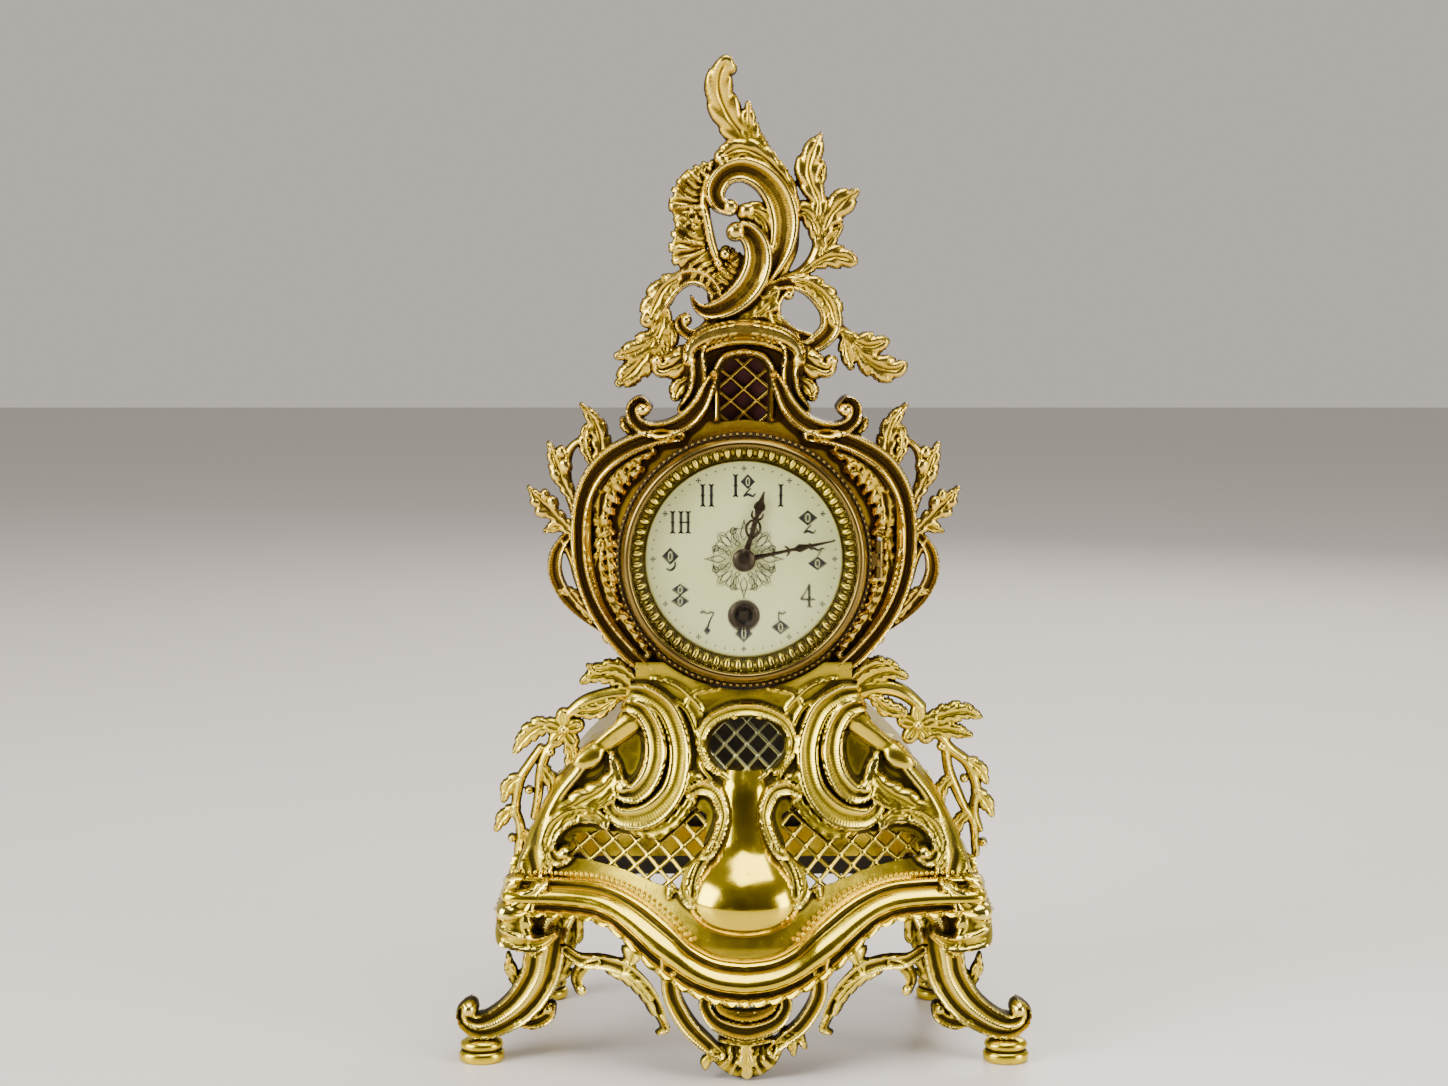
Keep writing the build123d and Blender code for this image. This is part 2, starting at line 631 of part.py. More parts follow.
foot_top = 51 * base_z
foot_front = -36.0
foot_rear = 38.0
bolt_x = 65.0 * base_x
bolt_rows = (foot_front + 11.5, foot_rear - 12.0)


def foot(strokes, pad_x, front, side, bolt_y):
    """Scroll foot with an oval pad and a lug for its bolt, trimmed level under the plinth."""
    leg = casting(strokes, front, front + 9.0)
    lug_front = min(front + 2.0, bolt_y - 5.0)
    lug_rear = max(front + 7.0, bolt_y + 5.0)
    leg = leg + Pos(side * bolt_x, (lug_front + lug_rear) / 2, foot_top - 4.5) * Box(11, lug_rear - lug_front, 9)
    pad = Pos(pad_x, front + 4.5, 0) * extrude(Ellipse(8.0, 6.5), amount=7.5)
    pad = chamfer(pad.edges().filter_by(GeomType.ELLIPSE), 1.2)
    foot_shape = leg + pad
    foot_shape = foot_shape & (Pos(0, 0, foot_top / 2) * Box(400, 300, foot_top))
    bolt_hole = Pos(side * bolt_x, bolt_y, foot_top - 4) * Cylinder(1.5 + screw_clearance, 8.2)
    return largest(foot_shape - bolt_hole)


span = foot_splay / 96.5
rear_strokes = [
    [(-65, 48, 13), (-65.5, 40, 11), (-66.5, 28, 9), (-69, 16, 8), (-73, 9, 7)],
    [(-67, 30, 5), (-74, 33, 4), (-78, 38, 2)],
]
for side, label in ((-1, "left"), (1, "right")):
    front_leg = place(foot_strokes, 1.0, base_z, mirror=side > 0)
    front_leg = [[(side * (bolt_x + (abs(x) - 65.0) * span), z, w) for x, z, w in leg] for leg in front_leg]
    pad_x = side * (bolt_x + (88.5 - 65.0) * span)
    keep("front_" + label + "_foot", foot(front_leg, pad_x, foot_front, side, bolt_rows[0]))
    rear_leg = place(rear_strokes, 1.0, base_z, mirror=side > 0)
    rear_leg = [[(side * (bolt_x + abs(x) - 65.0), z, w) for x, z, w in leg] for leg in rear_leg]
    keep("rear_" + label + "_foot", foot(rear_leg, side * (bolt_x + 7.0), foot_rear - 9.0, side, bolt_rows[1]))
    for row in bolt_rows:
        plinth = plinth - Pos(side * bolt_x, row, foot_top) * Cylinder(1.5 + screw_clearance, 12)
keep("plinth_band", plinth)

bolts = []
for side in (-1, 1):
    for row in bolt_rows:
        shank = Pos(side * bolt_x, row, (foot_top - 7.5 + shelf_top) / 2) * Cylinder(1.5, shelf_top + 7.5 - foot_top)
        head = Pos(side * bolt_x, row, shelf_top + 1.25) * Cylinder(3.0, 2.5)
        bolts.append(shank + head)
keep("foot_bolts", Compound(bolts))

apron = casting(place(apron_strokes, base_x, base_z), -55.0, -49.0)
keep("front_apron", largest(apron - plinth))

turned = math.degrees(math.atan2(17.0, 36.0 * base_x))
for side, label in ((-1, "left"), (1, "right")):
    strokes = [[(side * -x * base_x, z * base_z, w) for x, z, w in stroke] for stroke in bracket_strokes]
    flat = casting(strokes, -2.5, 2.5, ridge=0.9)
    turned_piece = Pos(side * 61.0 * base_x, -33.0, 0) * Rot(0, 0, side * turned) * flat
    neighbours = made["front_" + label + "_foot"] + made["front_apron"]
    keep(label + "_apron_bracket", largest(turned_piece - plinth - neighbours))

back_outline = [
    (side * (half - 1.0) * base_x, z * base_z)
    for side, rows in ((-1, base_sections[1:]), (1, list(reversed(base_sections[1:]))))
    for z, half, corner, bow in rows
]
back_plate = slab(loop_face(back_outline), base_depth_rear, base_depth_rear + 1.0)
large_screws = []
small_screws = []


def large_screw(x, z, tip, head):
    """Cheese head screw, 2.4 mm thread, driven along Y from the rear."""
    return rod(x, z, 1.2, tip, head + 0.5) + rod(x, z, 2.0, head, head + 1.3)


def small_screw(x, z, tip, head):
    """Cheese head screw, 1.8 mm thread, driven along Y from the rear."""
    return rod(x, z, 0.9, tip, head + 0.5) + rod(x, z, 1.7, head, head + 1.2)


for x, z in boss_points:
    back_plate = back_plate - rod(x, z, 1.2 + screw_clearance, base_depth_rear - 1, base_depth_rear + 2)
    large_screws.append(large_screw(x, z, base_depth_rear - 8, base_depth_rear + 1.0))
keep("base_back_plate", back_plate)

# ---------------------------------------------------------------- drum surround, crest, wings, garlands

surround_ring = ring(*centre, can_radius + 8.5, can_radius + 0.05, surround_front, surround_back)
neck_plate_outline = [
    (-20, 40), (-15, 48), (-13, 56), (-13, 70), (-15, 74), (15, 74), (13, 70), (13, 56), (15, 48), (20, 40),
]
neck_plate = slab(
    loop_face([(x * drum_scale, dial_height + z * drum_scale) for x, z in neck_plate_outline]),
    surround_front, surround_back,
)
window_outline = [(-7.7, 45.5), (-7.7, 64), (-4.5, 67), (0, 68.3), (4.5, 67), (7.7, 64), (7.7, 45.5), (0, 46.3)]
neck_window = loop_face([(x * drum_scale, dial_height + z * drum_scale) for x, z in window_outline])
bands = []
for mirror in (False, True):
    bands += place(band_strokes, drum_scale, drum_scale, 0, dial_height, mirror)
band_relief = casting(bands, band_front, surround_back, ridge=1.5)
hood = casting(place([hood_stroke], drum_scale, drum_scale, 0, dial_height), hood_front, surround_back, ridge=1.5)
saddle_clear = slab(
    loop_face([(x, z) for x, z in saddle_outline[1:-1]] + [(saddle_half, 60), (-saddle_half, 60)]), -60, 60,
)
surround = surround_ring + neck_plate + band_relief + hood
surround = surround - slab(neck_window, -60, 60) - rod(*centre, can_radius + 0.05, -60, 60)
surround = surround - saddle_clear - base
case_screw_angles = (35, 145, 205, 335)
for angle in case_screw_angles:
    x, z = polar(centre, can_radius + 2.5, angle)
    surround = surround - rod(x, z, 1.2 + screw_clearance, surround_back - 6, surround_back + 1)
tab_screw = (0.0, dial_height + 73.0 * drum_scale)
surround = surround - rod(*tab_screw, 1.2 + screw_clearance, surround_back - 6, surround_back + 1)

wing_front = -13.0
wing_back = -7.0
wings = {}
for side, label in ((-1, "left"), (1, "right")):
    strokes = place(wing_strokes, drum_scale, drum_scale, 0, dial_height, side > 0)
    wings[label] = casting(strokes, wing_front, wing_back)
wing_screw_points = [(-53.6, 12.5), (-49.8, 30.0)]
for side, label in ((-1, "left"), (1, "right")):
    wing = wings[label]
    for wx, wz in wing_screw_points:
        x = -side * wx * drum_scale
        z = dial_height + wz * drum_scale
        hole = rod(x, z, 0.9 + screw_clearance, surround_back - 5, 0)
        wing = wing + rod(x, z, 3.0, surround_back, wing_back)
        wing = wing - hole
        surround = surround - hole
        small_screws.append(small_screw(x, z, surround_back - 4.5, wing_back))
    wings[label] = wing
surround = largest(surround)

# fixed half of the bezel hinge stands on the surround at the right of the dial
hinge_x = bezel_radius + 2.4
hinge_y = bezel_back - 0.2
knuckle = 1.6
hinge_leaf = Pos(hinge_x + 1.6, surround_front - 0.5, dial_height) * Box(5.5, 1.0, 13)
for z in (-4.4, 4.4):
    post = Pos(hinge_x, (hinge_y + surround_front) / 2, dial_height + z) * Box(
        2 * knuckle * 0.8, surround_front - hinge_y, 3.6)
    hinge_leaf = hinge_leaf + post + Pos(hinge_x, hinge_y, dial_height + z) * Cylinder(knuckle, 3.6)
pin_radius = 0.6
hinge_leaf = hinge_leaf - Pos(hinge_x, hinge_y, dial_height) * Cylinder(pin_radius, 30)
hinge_leaf = hinge_leaf - surround
keep("bezel_hinge_leaf", largest(hinge_leaf))
hinge_pin = Pos(hinge_x, hinge_y, dial_height) * Cylinder(pin_radius, 13.4)
hinge_pin = hinge_pin + Pos(hinge_x, hinge_y, dial_height + 6.7) * Sphere(1.0)
keep("bezel_hinge_pin", hinge_pin - made["bezel_hinge_leaf"])
keep("drum_surround", surround)
for label in ("left", "right"):
    keep(label + "_wing", largest(wings[label] - surround))

crest_thickness = ornament_thickness
crest_front = -16.0
crest = casting(place(crest_strokes, crest_scale, crest_scale, 0, neck_top), crest_front, crest_front + crest_thickness)
tab_low = neck_top - 4.5 * drum_scale
tab_high = neck_top + 11.0
crest_tab = Pos(0, surround_back + 1.25, (tab_low + tab_high) / 2) * Box(10, 2.5, tab_high - tab_low)
bridge_low = neck_top + 5.0 * drum_scale
crest_bridge = Pos(0, -9.5, (bridge_low + tab_high) / 2) * Box(10, 6.0, tab_high - bridge_low)
crest = crest + crest_tab + crest_bridge
crest = crest - surround - rod(*tab_screw, 1.2 + screw_clearance, surround_back - 6, 0)
keep("crest", largest(crest))

lattice_box = (-12 * drum_scale, 12 * drum_scale, dial_height + 40 * drum_scale, dial_height + 72 * drum_scale)
neck_pattern = lattice(*lattice_box, 5.9, 1.2, 41.6)
neck_border = offset(neck_window, 1.4)
neck_rim = neck_border - offset(neck_window, 0.4)
neck_lattice = slab((neck_pattern & neck_border) + neck_rim, surround_back, surround_back + 1.2)
neck_lattice = neck_lattice - rod(*centre, can_radius + 0.3, -60, 60)
keep("neck_lattice", largest(neck_lattice))
silk = slab(neck_border, surround_back + 1.2, surround_back + 1.6) - rod(*centre, can_radius + 0.3, -60, 60)
keep("neck_silk", largest(silk))

for side, label in ((-1, "left"), (1, "right")):
    strokes = place(garland_strokes, base_x, base_z, mirror=side > 0)
    garland = casting(strokes, -17.0, -12.0)
    garland = garland - base - surround - plinth - saddle_clear
    garland = garland - (made[label + "_wing"])
    keep(label + "_garland", largest(garland))

# ---------------------------------------------------------------- drum, rear cover and case screws

can_inner = can_radius - can_wall
can = ring(*centre, can_radius, can_inner, can_front, can_rear)
flange = ring(*centre, can_radius + 5.0, can_radius - 0.5, surround_back, surround_back + 1.5)
flange = flange & slab(Pos(0, base_top + 0.2 + 100) * Rectangle(200, 200), -60, 60)
flange = flange - slab(Pos(0, dial_height + 50) * Rectangle(26 * drum_scale, 30), -60, 60)
seat = ring(*centre, can_inner + 0.3, can_inner - 3.2, front_plate_face - 1.4, front_plate_face)
can = can + flange + seat
for angle in case_screw_angles + (247, 293):
    x, z = polar(centre, can_radius + 2.5, angle)
    can = can - rod(x, z, 1.2 + screw_clearance, surround_back - 1, surround_back + 3)
    large_screws.append(large_screw(x, z, surround_back - 5, surround_back + 1.5))
large_screws.append(large_screw(*tab_screw, surround_back - 5, surround_back + 2.5))
keep("large_screws", Compound(large_screws))

plate_radius = can_inner - seat_clearance
movement_screw_angles = (60, 180, 300)
for angle in movement_screw_angles:
    x, z = polar(centre, plate_radius - 1.7, angle)
    can = can - rod(x, z, 0.9 + screw_clearance, front_plate_face - 2, front_plate_face + 1)
    small_screws.append(small_screw(x, z, front_plate_face - 1.4, front_plate_face + plate_thickness))

cover_screw_angles = (90, 210, 330)
cover = ring(*centre, can_inner - 0.05, 5.0, can_rear - 1.2, can_rear)
cover = cover + ring(*centre, can_radius + 0.6, can_inner - 3.0, can_rear, can_rear + 1.2)
for angle in cover_screw_angles:
    x, z = polar(centre, can_inner - 2.2, angle)
    lug = rod(x, z, 2.8, can_rear - 6.0, can_rear - 1.2) & rod(*centre, can_inner + 0.4, -60, 60)
    can = can + (lug - rod(x, z, 0.9 + screw_clearance, can_rear - 5, can_rear))
    cover = cover - rod(x, z, 0.9 + screw_clearance, can_rear - 3, can_rear + 3)
    small_screws.append(small_screw(x, z, can_rear - 4.5, can_rear + 1.2))
regulator_window = slab(Pos(*polar(centre, 25.0, 12)) * Rectangle(8, 14), can_rear - 3, can_rear + 3)
cover = cover - regulator_window
keep("movement_can", can)
keep("can_cover", cover)

# ---------------------------------------------------------------- bezel, glass and dial


def turned_ring(profile):
    """Ring about the dial axis from (radius, y) points."""
    wire = Polyline(*[(r, y) for r, y in profile], close=True)
    solid = revolve(make_face(wire), axis=Axis.Y, revolution_arc=360)
    return Pos(0, 0, dial_height) * solid


glass_radius = bezel_radius - 4.0
seat_y = bezel_front + 3.6
bezel = turned_ring([
    (bezel_radius - 0.6, bezel_back), (bezel_radius, bezel_back - 1.0), (bezel_radius, bezel_back - 2.6),
    (bezel_radius - 0.9, bezel_back - 3.4), (bezel_radius - 1.6, bezel_back - 4.6),
    (bezel_radius - 2.8, bezel_front + 0.5), (bezel_radius - 4.0, bezel_front),
    (bezel_radius - 5.1, bezel_front + 0.6), (bezel_radius - 5.1, seat_y),
    (glass_radius + 0.1, seat_y), (glass_radius + 0.1, bezel_back - 1.4),
    (can_radius - 1.0, bezel_back - 1.4), (can_radius - 1.0, bezel_back),
])
beads = []
bead_count = 120
for n in range(0, bead_count, 10):
    x, z = polar(centre, bezel_radius - 0.75, 360.0 * n / bead_count)
    beads.append(Pos(x, bezel_back - 3.1, z) * Sphere(0.6))
for bead in beads:
    bezel = bezel + bead
moving_knuckle = Pos(hinge_x, hinge_y, dial_height) * Cylinder(knuckle, 4.8)
tab = Pos((hinge_x + bezel_radius) / 2 - 0.6, hinge_y - 0.9, dial_height) * Box(hinge_x - bezel_radius + 1.4, 1.4, 4.8)
bezel = bezel + moving_knuckle + tab
bezel = bezel - Pos(hinge_x, hinge_y, dial_height) * Cylinder(pin_radius + pivot_clearance, 30)
keep("bezel_ring", largest(bezel))

dome = 3.8
glass_thickness = 1.4
sphere_radius = (glass_radius ** 2 + dome ** 2) / (2 * dome)


def dome_depth(radius):
    """How far the domed glass stands forward of its edge at a radius."""
    return math.sqrt(sphere_radius ** 2 - radius ** 2) - (sphere_radius - dome)


glass_steps = [(glass_radius - 1.2) * n / 10 for n in range(11)]
glass_profile = [(r, seat_y - dome_depth(r)) for r in glass_steps]
glass_profile += [(glass_radius, seat_y), (glass_radius, seat_y + 0.6), (glass_radius - 1.3, seat_y + 0.6)]
glass_profile += [(r, seat_y - dome_depth(r) + glass_thickness) for r in reversed(glass_steps[:-1])]
keep("bezel_glass", largest(turned_ring(glass_profile) - made["bezel_ring"]))
retainer = ring(*centre, glass_radius + 0.1, glass_radius - 1.2, seat_y + 0.6, seat_y + 1.4)
keep("glass_retaining_ring", retainer)

dial_thickness = 1.4
dial_radius = can_inner - 2.4
winding_point = polar(centre, (barrel_teeth + centre_leaves) * barrel_module / 2, -90)
dial = rod(*centre, dial_radius, dial_front, dial_front + dial_thickness)
dial = dial - rod(*centre, 3.1, dial_front - 1, 0) - rod(*winding_point, 3.9, dial_front - 1, 0)
keep("dial", dial)

dial_plate_back = dial_front + dial_thickness + 0.8
dial_plate = rod(*centre, can_inner - 0.3, dial_front + dial_thickness, dial_plate_back)
dial_plate = dial_plate - rod(*centre, 3.1, -60, 0) - rod(*winding_point, 3.9, -60, 0)
for angle in (30, 150, 225, 315):
    x, z = polar(centre, 31.0, angle)
    dial_plate = dial_plate + rod(x, z, 1.3, dial_plate_back - 0.2, front_plate_face)
keep("dial_plate", dial_plate)

collar = ring(*winding_point, 4.9, 3.0, dial_front - 0.7, dial_front)
collar = collar + ring(*winding_point, 3.85, 3.0, dial_front, dial_plate_back - 0.1)
keep("winding_collar", collar)

sight = turned_ring([
    (33.0 * drum_scale, dial_front), (33.0 * drum_scale, dial_front - 0.9), (34.2 * drum_scale, dial_front - 1.0),
    (38.4 * drum_scale, dial_front - 1.9), (can_inner - 0.3, dial_front - 1.9),
    (can_inner - 0.3, dial_front + dial_thickness), (dial_radius, dial_front + dial_thickness),
    (dial_radius, dial_front),
])
for n in range(0, 60, 5):
    x, z = polar(centre, 36.3 * drum_scale, 6.0 * n)
    sight = sight + Pos(x, dial_front - 1.3, z) * Sphere(1.0)
keep("sight_ring", largest(sight - made["dial"]))

# ---------------------------------------------------------------- movement plates

front_plate_back = front_plate_face + plate_thickness
rear_plate_back = rear_plate_face + plate_thickness
barrel_point = winding_point
third_point = polar(centre, (centre_teeth + third_leaves) * centre_module / 2, 155)
third_to_fourth = (third_teeth + fourth_leaves) * third_module / 2
fourth_reach = 16.0
opening = (fourth_reach ** 2 + math.dist(centre, third_point) ** 2 - third_to_fourth ** 2)
opening = math.degrees(math.acos(opening / (2 * fourth_reach * math.dist(centre, third_point))))
fourth_point = polar(centre, fourth_reach, 155 - opening)
escape_point = polar(fourth_point, (fourth_teeth + escape_leaves) * fourth_module / 2, -10)
lever_point = polar(escape_point, 7.6, -50)
balance_point = polar(lever_point, 7.0, -75)
minute_point = polar(centre, (cannon_leaves + minute_teeth) * motion_module / 2, 90)
hour_module = 2 * math.dist(centre, minute_point) / (minute_leaves + hour_teeth)
click_point = polar(barrel_point, 9.6, 40)

arbor = 0.8
pivot = 0.5
plate_arbors = (third_point, fourth_point, escape_point, lever_point)
pillar_angles = (35, 145, 215, 325)
pillar_reach = plate_radius - 4.5

front_plate = rod(*centre, plate_radius, front_plate_face, front_plate_back)
rear_plate = rod(*centre, plate_radius - 3.4, rear_plate_face, rear_plate_back)
for x, z in plate_arbors:
    front_plate -= rod(x, z, pivot + pivot_clearance, -60, 60)
    rear_plate -= rod(x, z, pivot + pivot_clearance, -60, 60)
front_plate -= rod(*balance_point, pivot + pivot_clearance, -60, 60)
rear_plate -= rod(*balance_point, 2.2, -60, 60)
front_plate -= rod(*centre, 1.9 + pivot_clearance, -60, 60)
rear_plate -= rod(*centre, 1.9 + pivot_clearance, -60, 60)
front_plate -= rod(*barrel_point, 1.6 + pivot_clearance, -60, 60)
rear_plate -= rod(*barrel_point, 1.6 + pivot_clearance, -60, 60)
for angle in movement_screw_angles:
    front_plate -= rod(*polar(centre, plate_radius - 1.7, angle), 0.9 + screw_clearance, -60, 60)
front_plate -= rod(*click_point, 0.7 + screw_clearance, -60, 60)
front_plate -= rod(*minute_point, 0.7 + screw_clearance, -60, 60)

pillars = []
for angle in pillar_angles:
    x, z = polar(centre, pillar_reach - 1.5, angle)
    pillar = rod(x, z, 2.0, front_plate_back, rear_plate_face)
    pillars.append(pillar - rod(x, z, 0.9 + screw_clearance, rear_plate_face - 6, rear_plate_face + 1))
    rear_plate -= rod(x, z, 0.9 + screw_clearance, -60, 60)
    small_screws.append(small_screw(x, z, rear_plate_face - 5, rear_plate_back))

# ---------------------------------------------------------------- going train

barrel_front = front_plate_back + 3.4
barrel_rear = barrel_front + 9.0
rim_rear = barrel_rear + 2.2
barrel_turn = math.pi / 2
centre_turn = mesh_turn(barrel_point, centre, barrel_teeth, barrel_turn, centre_leaves)
third_turn = mesh_turn(centre, third_point, centre_teeth, 0.0, third_leaves)
fourth_turn = mesh_turn(third_point, fourth_point, third_teeth, 0.0, fourth_leaves)
escape_turn = mesh_turn(fourth_point, escape_point, fourth_teeth, 0.0, escape_leaves)

barrel = toothed(*barrel_point, barrel_teeth, barrel_module, barrel_turn, barrel_rear, rim_rear)
barrel = barrel + rod(*barrel_point, 14.8, barrel_front, barrel_rear)
barrel = barrel - rod(*barrel_point, 13.8, barrel_front + 1.0, barrel_rear + 0.6)
barrel = barrel - rod(*barrel_point, 1.6 + pivot_clearance, -60, 60)
keep("going_barrel", barrel)

spring_turns = 6
spring_inner = 3.0
spring_outer = 13.2
coil = []
steps = spring_turns * 24
for n in range(steps + 1):
    turn = 2 * math.pi * n / 24
    reach = spring_inner + (spring_outer - spring_inner) * n / steps
    coil.append((barrel_point[0] + reach * math.cos(turn), barrel_point[1] + reach * math.sin(turn)))
inner_side = []
for n, (x, z) in enumerate(coil):
    turn = 2 * math.pi * n / 24
    inner_side.append((x - 0.5 * math.cos(turn), z - 0.5 * math.sin(turn)))
mainspring = slab(loop_face(coil + list(reversed(inner_side))), barrel_front + 1.4, barrel_rear)
keep("mainspring", mainspring)

ratchet_teeth = 20
ratchet_front = front_plate_face - 2.0
ratchet_back = front_plate_face - 0.6
ratchet_outline = []
for n in range(ratchet_teeth):
    start = 2 * math.pi * n / ratchet_teeth
    ratchet_outline.append((6.2 * math.cos(start), 6.2 * math.sin(start)))
    ratchet_outline.append((5.0 * math.cos(start + 0.03), 5.0 * math.sin(start + 0.03)))
winding = slab(Pos(*barrel_point) * loop_face(ratchet_outline), ratchet_front, ratchet_back)
winding = winding + rod(*barrel_point, 1.6, ratchet_front - 3.0, rear_plate_back - 0.2)
winding = winding + rod(*barrel_point, 2.4, barrel_front + 1.1, barrel_rear + 0.4)
square_front = dial_front - 0.4
winding = winding + slab(Pos(*barrel_point) * Rectangle(3.0, 3.0), square_front, ratchet_front - 2.5)
keep("winding_arbor", winding)

# click: a hooked pawl on a stud, its nose resting just above the tips of the ratchet
click_shape = [
    (0.95, 6.60), (1.45, 6.42), (1.70, 7.15), (5.80, 5.20), (8.70, 4.90),
    (11.75, 6.77), (11.60, 7.80), (8.20, 8.05), (1.30, 8.15),
]
click = slab(Pos(*barrel_point) * loop_face(click_shape), ratchet_front, ratchet_back)
click = click + rod(*click_point, 1.9, ratchet_front, ratchet_back)
click = click - rod(*click_point, 0.7 + pivot_clearance, -60, 60)
keep("click", click)
click_stud = rod(*click_point, 0.7, ratchet_front - 0.6, front_plate_back)
click_stud = click_stud + rod(*click_point, 1.3, ratchet_front - 1.1, ratchet_front - 0.15)
front_plate = front_plate + click_stud + rod(*click_point, 0.75 + screw_clearance, front_plate_face, front_plate_back)
minute_stud = rod(*minute_point, 0.6, front_plate_face - 4.2, front_plate_back)
front_plate = front_plate + minute_stud + rod(*minute_point, 0.75 + screw_clearance, front_plate_face, front_plate_back)
keep("front_plate", front_plate)
keep("pillars", Compound(pillars))

blade = [(3.95, -0.15), (4.75, -0.05), (8.6, -4.0), (8.1, -4.3), (4.6, -0.50), (3.95, -0.55)]
click_spring = slab(Pos(*click_point) * loop_face(blade), ratchet_front, ratchet_back)
spring_foot = (click_point[0] + 8.4, click_point[1] - 4.4)
click_spring = click_spring + rod(*spring_foot, 1.4, ratchet_front, front_plate_face)
keep("click_spring", click_spring)

centre_wheel_front = front_plate_back + 1.0
centre_wheel = spoked(*centre, centre_teeth, centre_module, 0.0, centre_wheel_front, centre_wheel_front + 1.2, 3.2)
centre_wheel += rod(*centre, 1.9, front_plate_back + 0.3, rear_plate_face - 0.3)
centre_wheel += rod(*centre, 1.9, front_plate_face + 0.3, rear_plate_back)
centre_wheel += toothed(*centre, centre_leaves, barrel_module, centre_turn, barrel_rear - 0.3, rim_rear + 0.3)
centre_arbor_radius = 1.0
centre_wheel -= rod(*centre, centre_arbor_radius + pivot_clearance, -60, 60)
keep("centre_wheel", centre_wheel)


def arbor_bar(point):
    """Arbor between the plates with a thin pivot at each end."""
    bar = rod(*point, arbor, front_plate_back + 0.2, rear_plate_face - 0.2)
    return bar + rod(*point, pivot, front_plate_face + 0.2, rear_plate_back - 0.2)


third_wheel_front = front_plate_back + 5.4
third_wheel = spoked(*third_point, third_teeth, third_module, 0.0, third_wheel_front, third_wheel_front + 1.0, 2.8)
third_wheel += toothed(*third_point, third_leaves, centre_module, third_turn,
                       centre_wheel_front - 0.3, centre_wheel_front + 1.5)
keep("third_wheel", third_wheel + arbor_bar(third_point))

fourth_wheel_front = third_wheel_front + 3.4
fourth_wheel = spoked(*fourth_point, fourth_teeth, fourth_module, 0.0,
                      fourth_wheel_front, fourth_wheel_front + 0.8, 2.6)
fourth_wheel += toothed(*fourth_point, fourth_leaves, third_module, fourth_turn,
                        third_wheel_front - 0.3, third_wheel_front + 1.3)
keep("fourth_wheel", fourth_wheel + arbor_bar(fourth_point))

escape_front = fourth_wheel_front + 3.5
escape_tip = 5.0
escape_outline = []
for n in range(escape_teeth):
    start = 2 * math.pi * n / escape_teeth
    escape_outline.append((escape_tip * math.cos(start), escape_tip * math.sin(start)))
    escape_outline.append((3.9 * math.cos(start + 0.10), 3.9 * math.sin(start + 0.10)))
    escape_outline.append((3.9 * math.cos(start + 0.28), 3.9 * math.sin(start + 0.28)))
escape_wheel = slab(Pos(*escape_point) * loop_face(escape_outline), escape_front, escape_front + 0.8)
escape_wheel += toothed(*escape_point, escape_leaves, fourth_module, escape_turn,
                        fourth_wheel_front - 0.3, fourth_wheel_front + 1.1)
keep("escape_wheel", escape_wheel + arbor_bar(escape_point))

# pallet lever: two pallets held just clear of the escape wheel, and a fork towards the balance
to_escape = math.degrees(math.atan2(escape_point[1] - lever_point[1], escape_point[0] - lever_point[0]))
to_balance = math.degrees(math.atan2(balance_point[1] - lever_point[1], balance_point[0] - lever_point[0]))
arm_left = polar(lever_point, 5.4, to_escape + 52)
arm_right = polar(lever_point, 5.4, to_escape - 52)
fork = polar(lever_point, 4.6, to_balance)
lever_strokes = [
    [(arm_left[0], arm_left[1], 1.1), (*polar(lever_point, 3.0, to_escape + 40), 1.2), (*lever_point, 2.2)],
    [(arm_right[0], arm_right[1], 1.1), (*polar(lever_point, 3.0, to_escape - 40), 1.2), (*lever_point, 2.2)],
    [(*lever_point, 2.2), (*fork, 1.2)],
]
lever_flat = flat_shape(stroke_outline(lever_strokes, blend=0.3, cell=0.18), smallest=0.4)
lever = slab(lever_flat, escape_front, escape_front + 0.8)
lever = lever - rod(*escape_point, escape_tip + 0.5, -60, 60)
keep("pallet_lever", largest(lever + arbor_bar(lever_point)))

balance_front = rear_plate_back + 1.8
balance = ring(*balance_point, 8.0, 6.7, balance_front, balance_front + 1.4)
balance += slab(Pos(*balance_point) * Rectangle(14.4, 1.3), balance_front + 0.2, balance_front + 1.2)
balance += rod(*balance_point, 1.6, balance_front - 0.2, balance_front + 1.8)
balance += rod(*balance_point, 0.8, front_plate_back + 0.3, balance_front + 4.0)
balance += rod(*balance_point, pivot, front_plate_face + 0.2, balance_front + 5.2)
balance += rod(*balance_point, 1.3, escape_front - 1.4, escape_front - 0.5)
keep("balance_wheel", balance)

spring_front = balance_front + 2.3
spiral = []
spiral_inner = []
for n in range(5 * 20 + 1):
    turn = 2 * math.pi * n / 20
    reach = 1.25 + 3.4 * n / 100
    spiral.append((balance_point[0] + reach * math.cos(turn), balance_point[1] + reach * math.sin(turn)))
    spiral_inner.append((
        balance_point[0] + (reach - 0.22) * math.cos(turn),
        balance_point[1] + (reach - 0.22) * math.sin(turn),
    ))
hairspring = slab(loop_face(spiral + list(reversed(spiral_inner))), spring_front, spring_front + 0.6)
hairspring = hairspring + ring(*balance_point, 1.3, 0.8, spring_front, spring_front + 0.6)
keep("hairspring", hairspring)

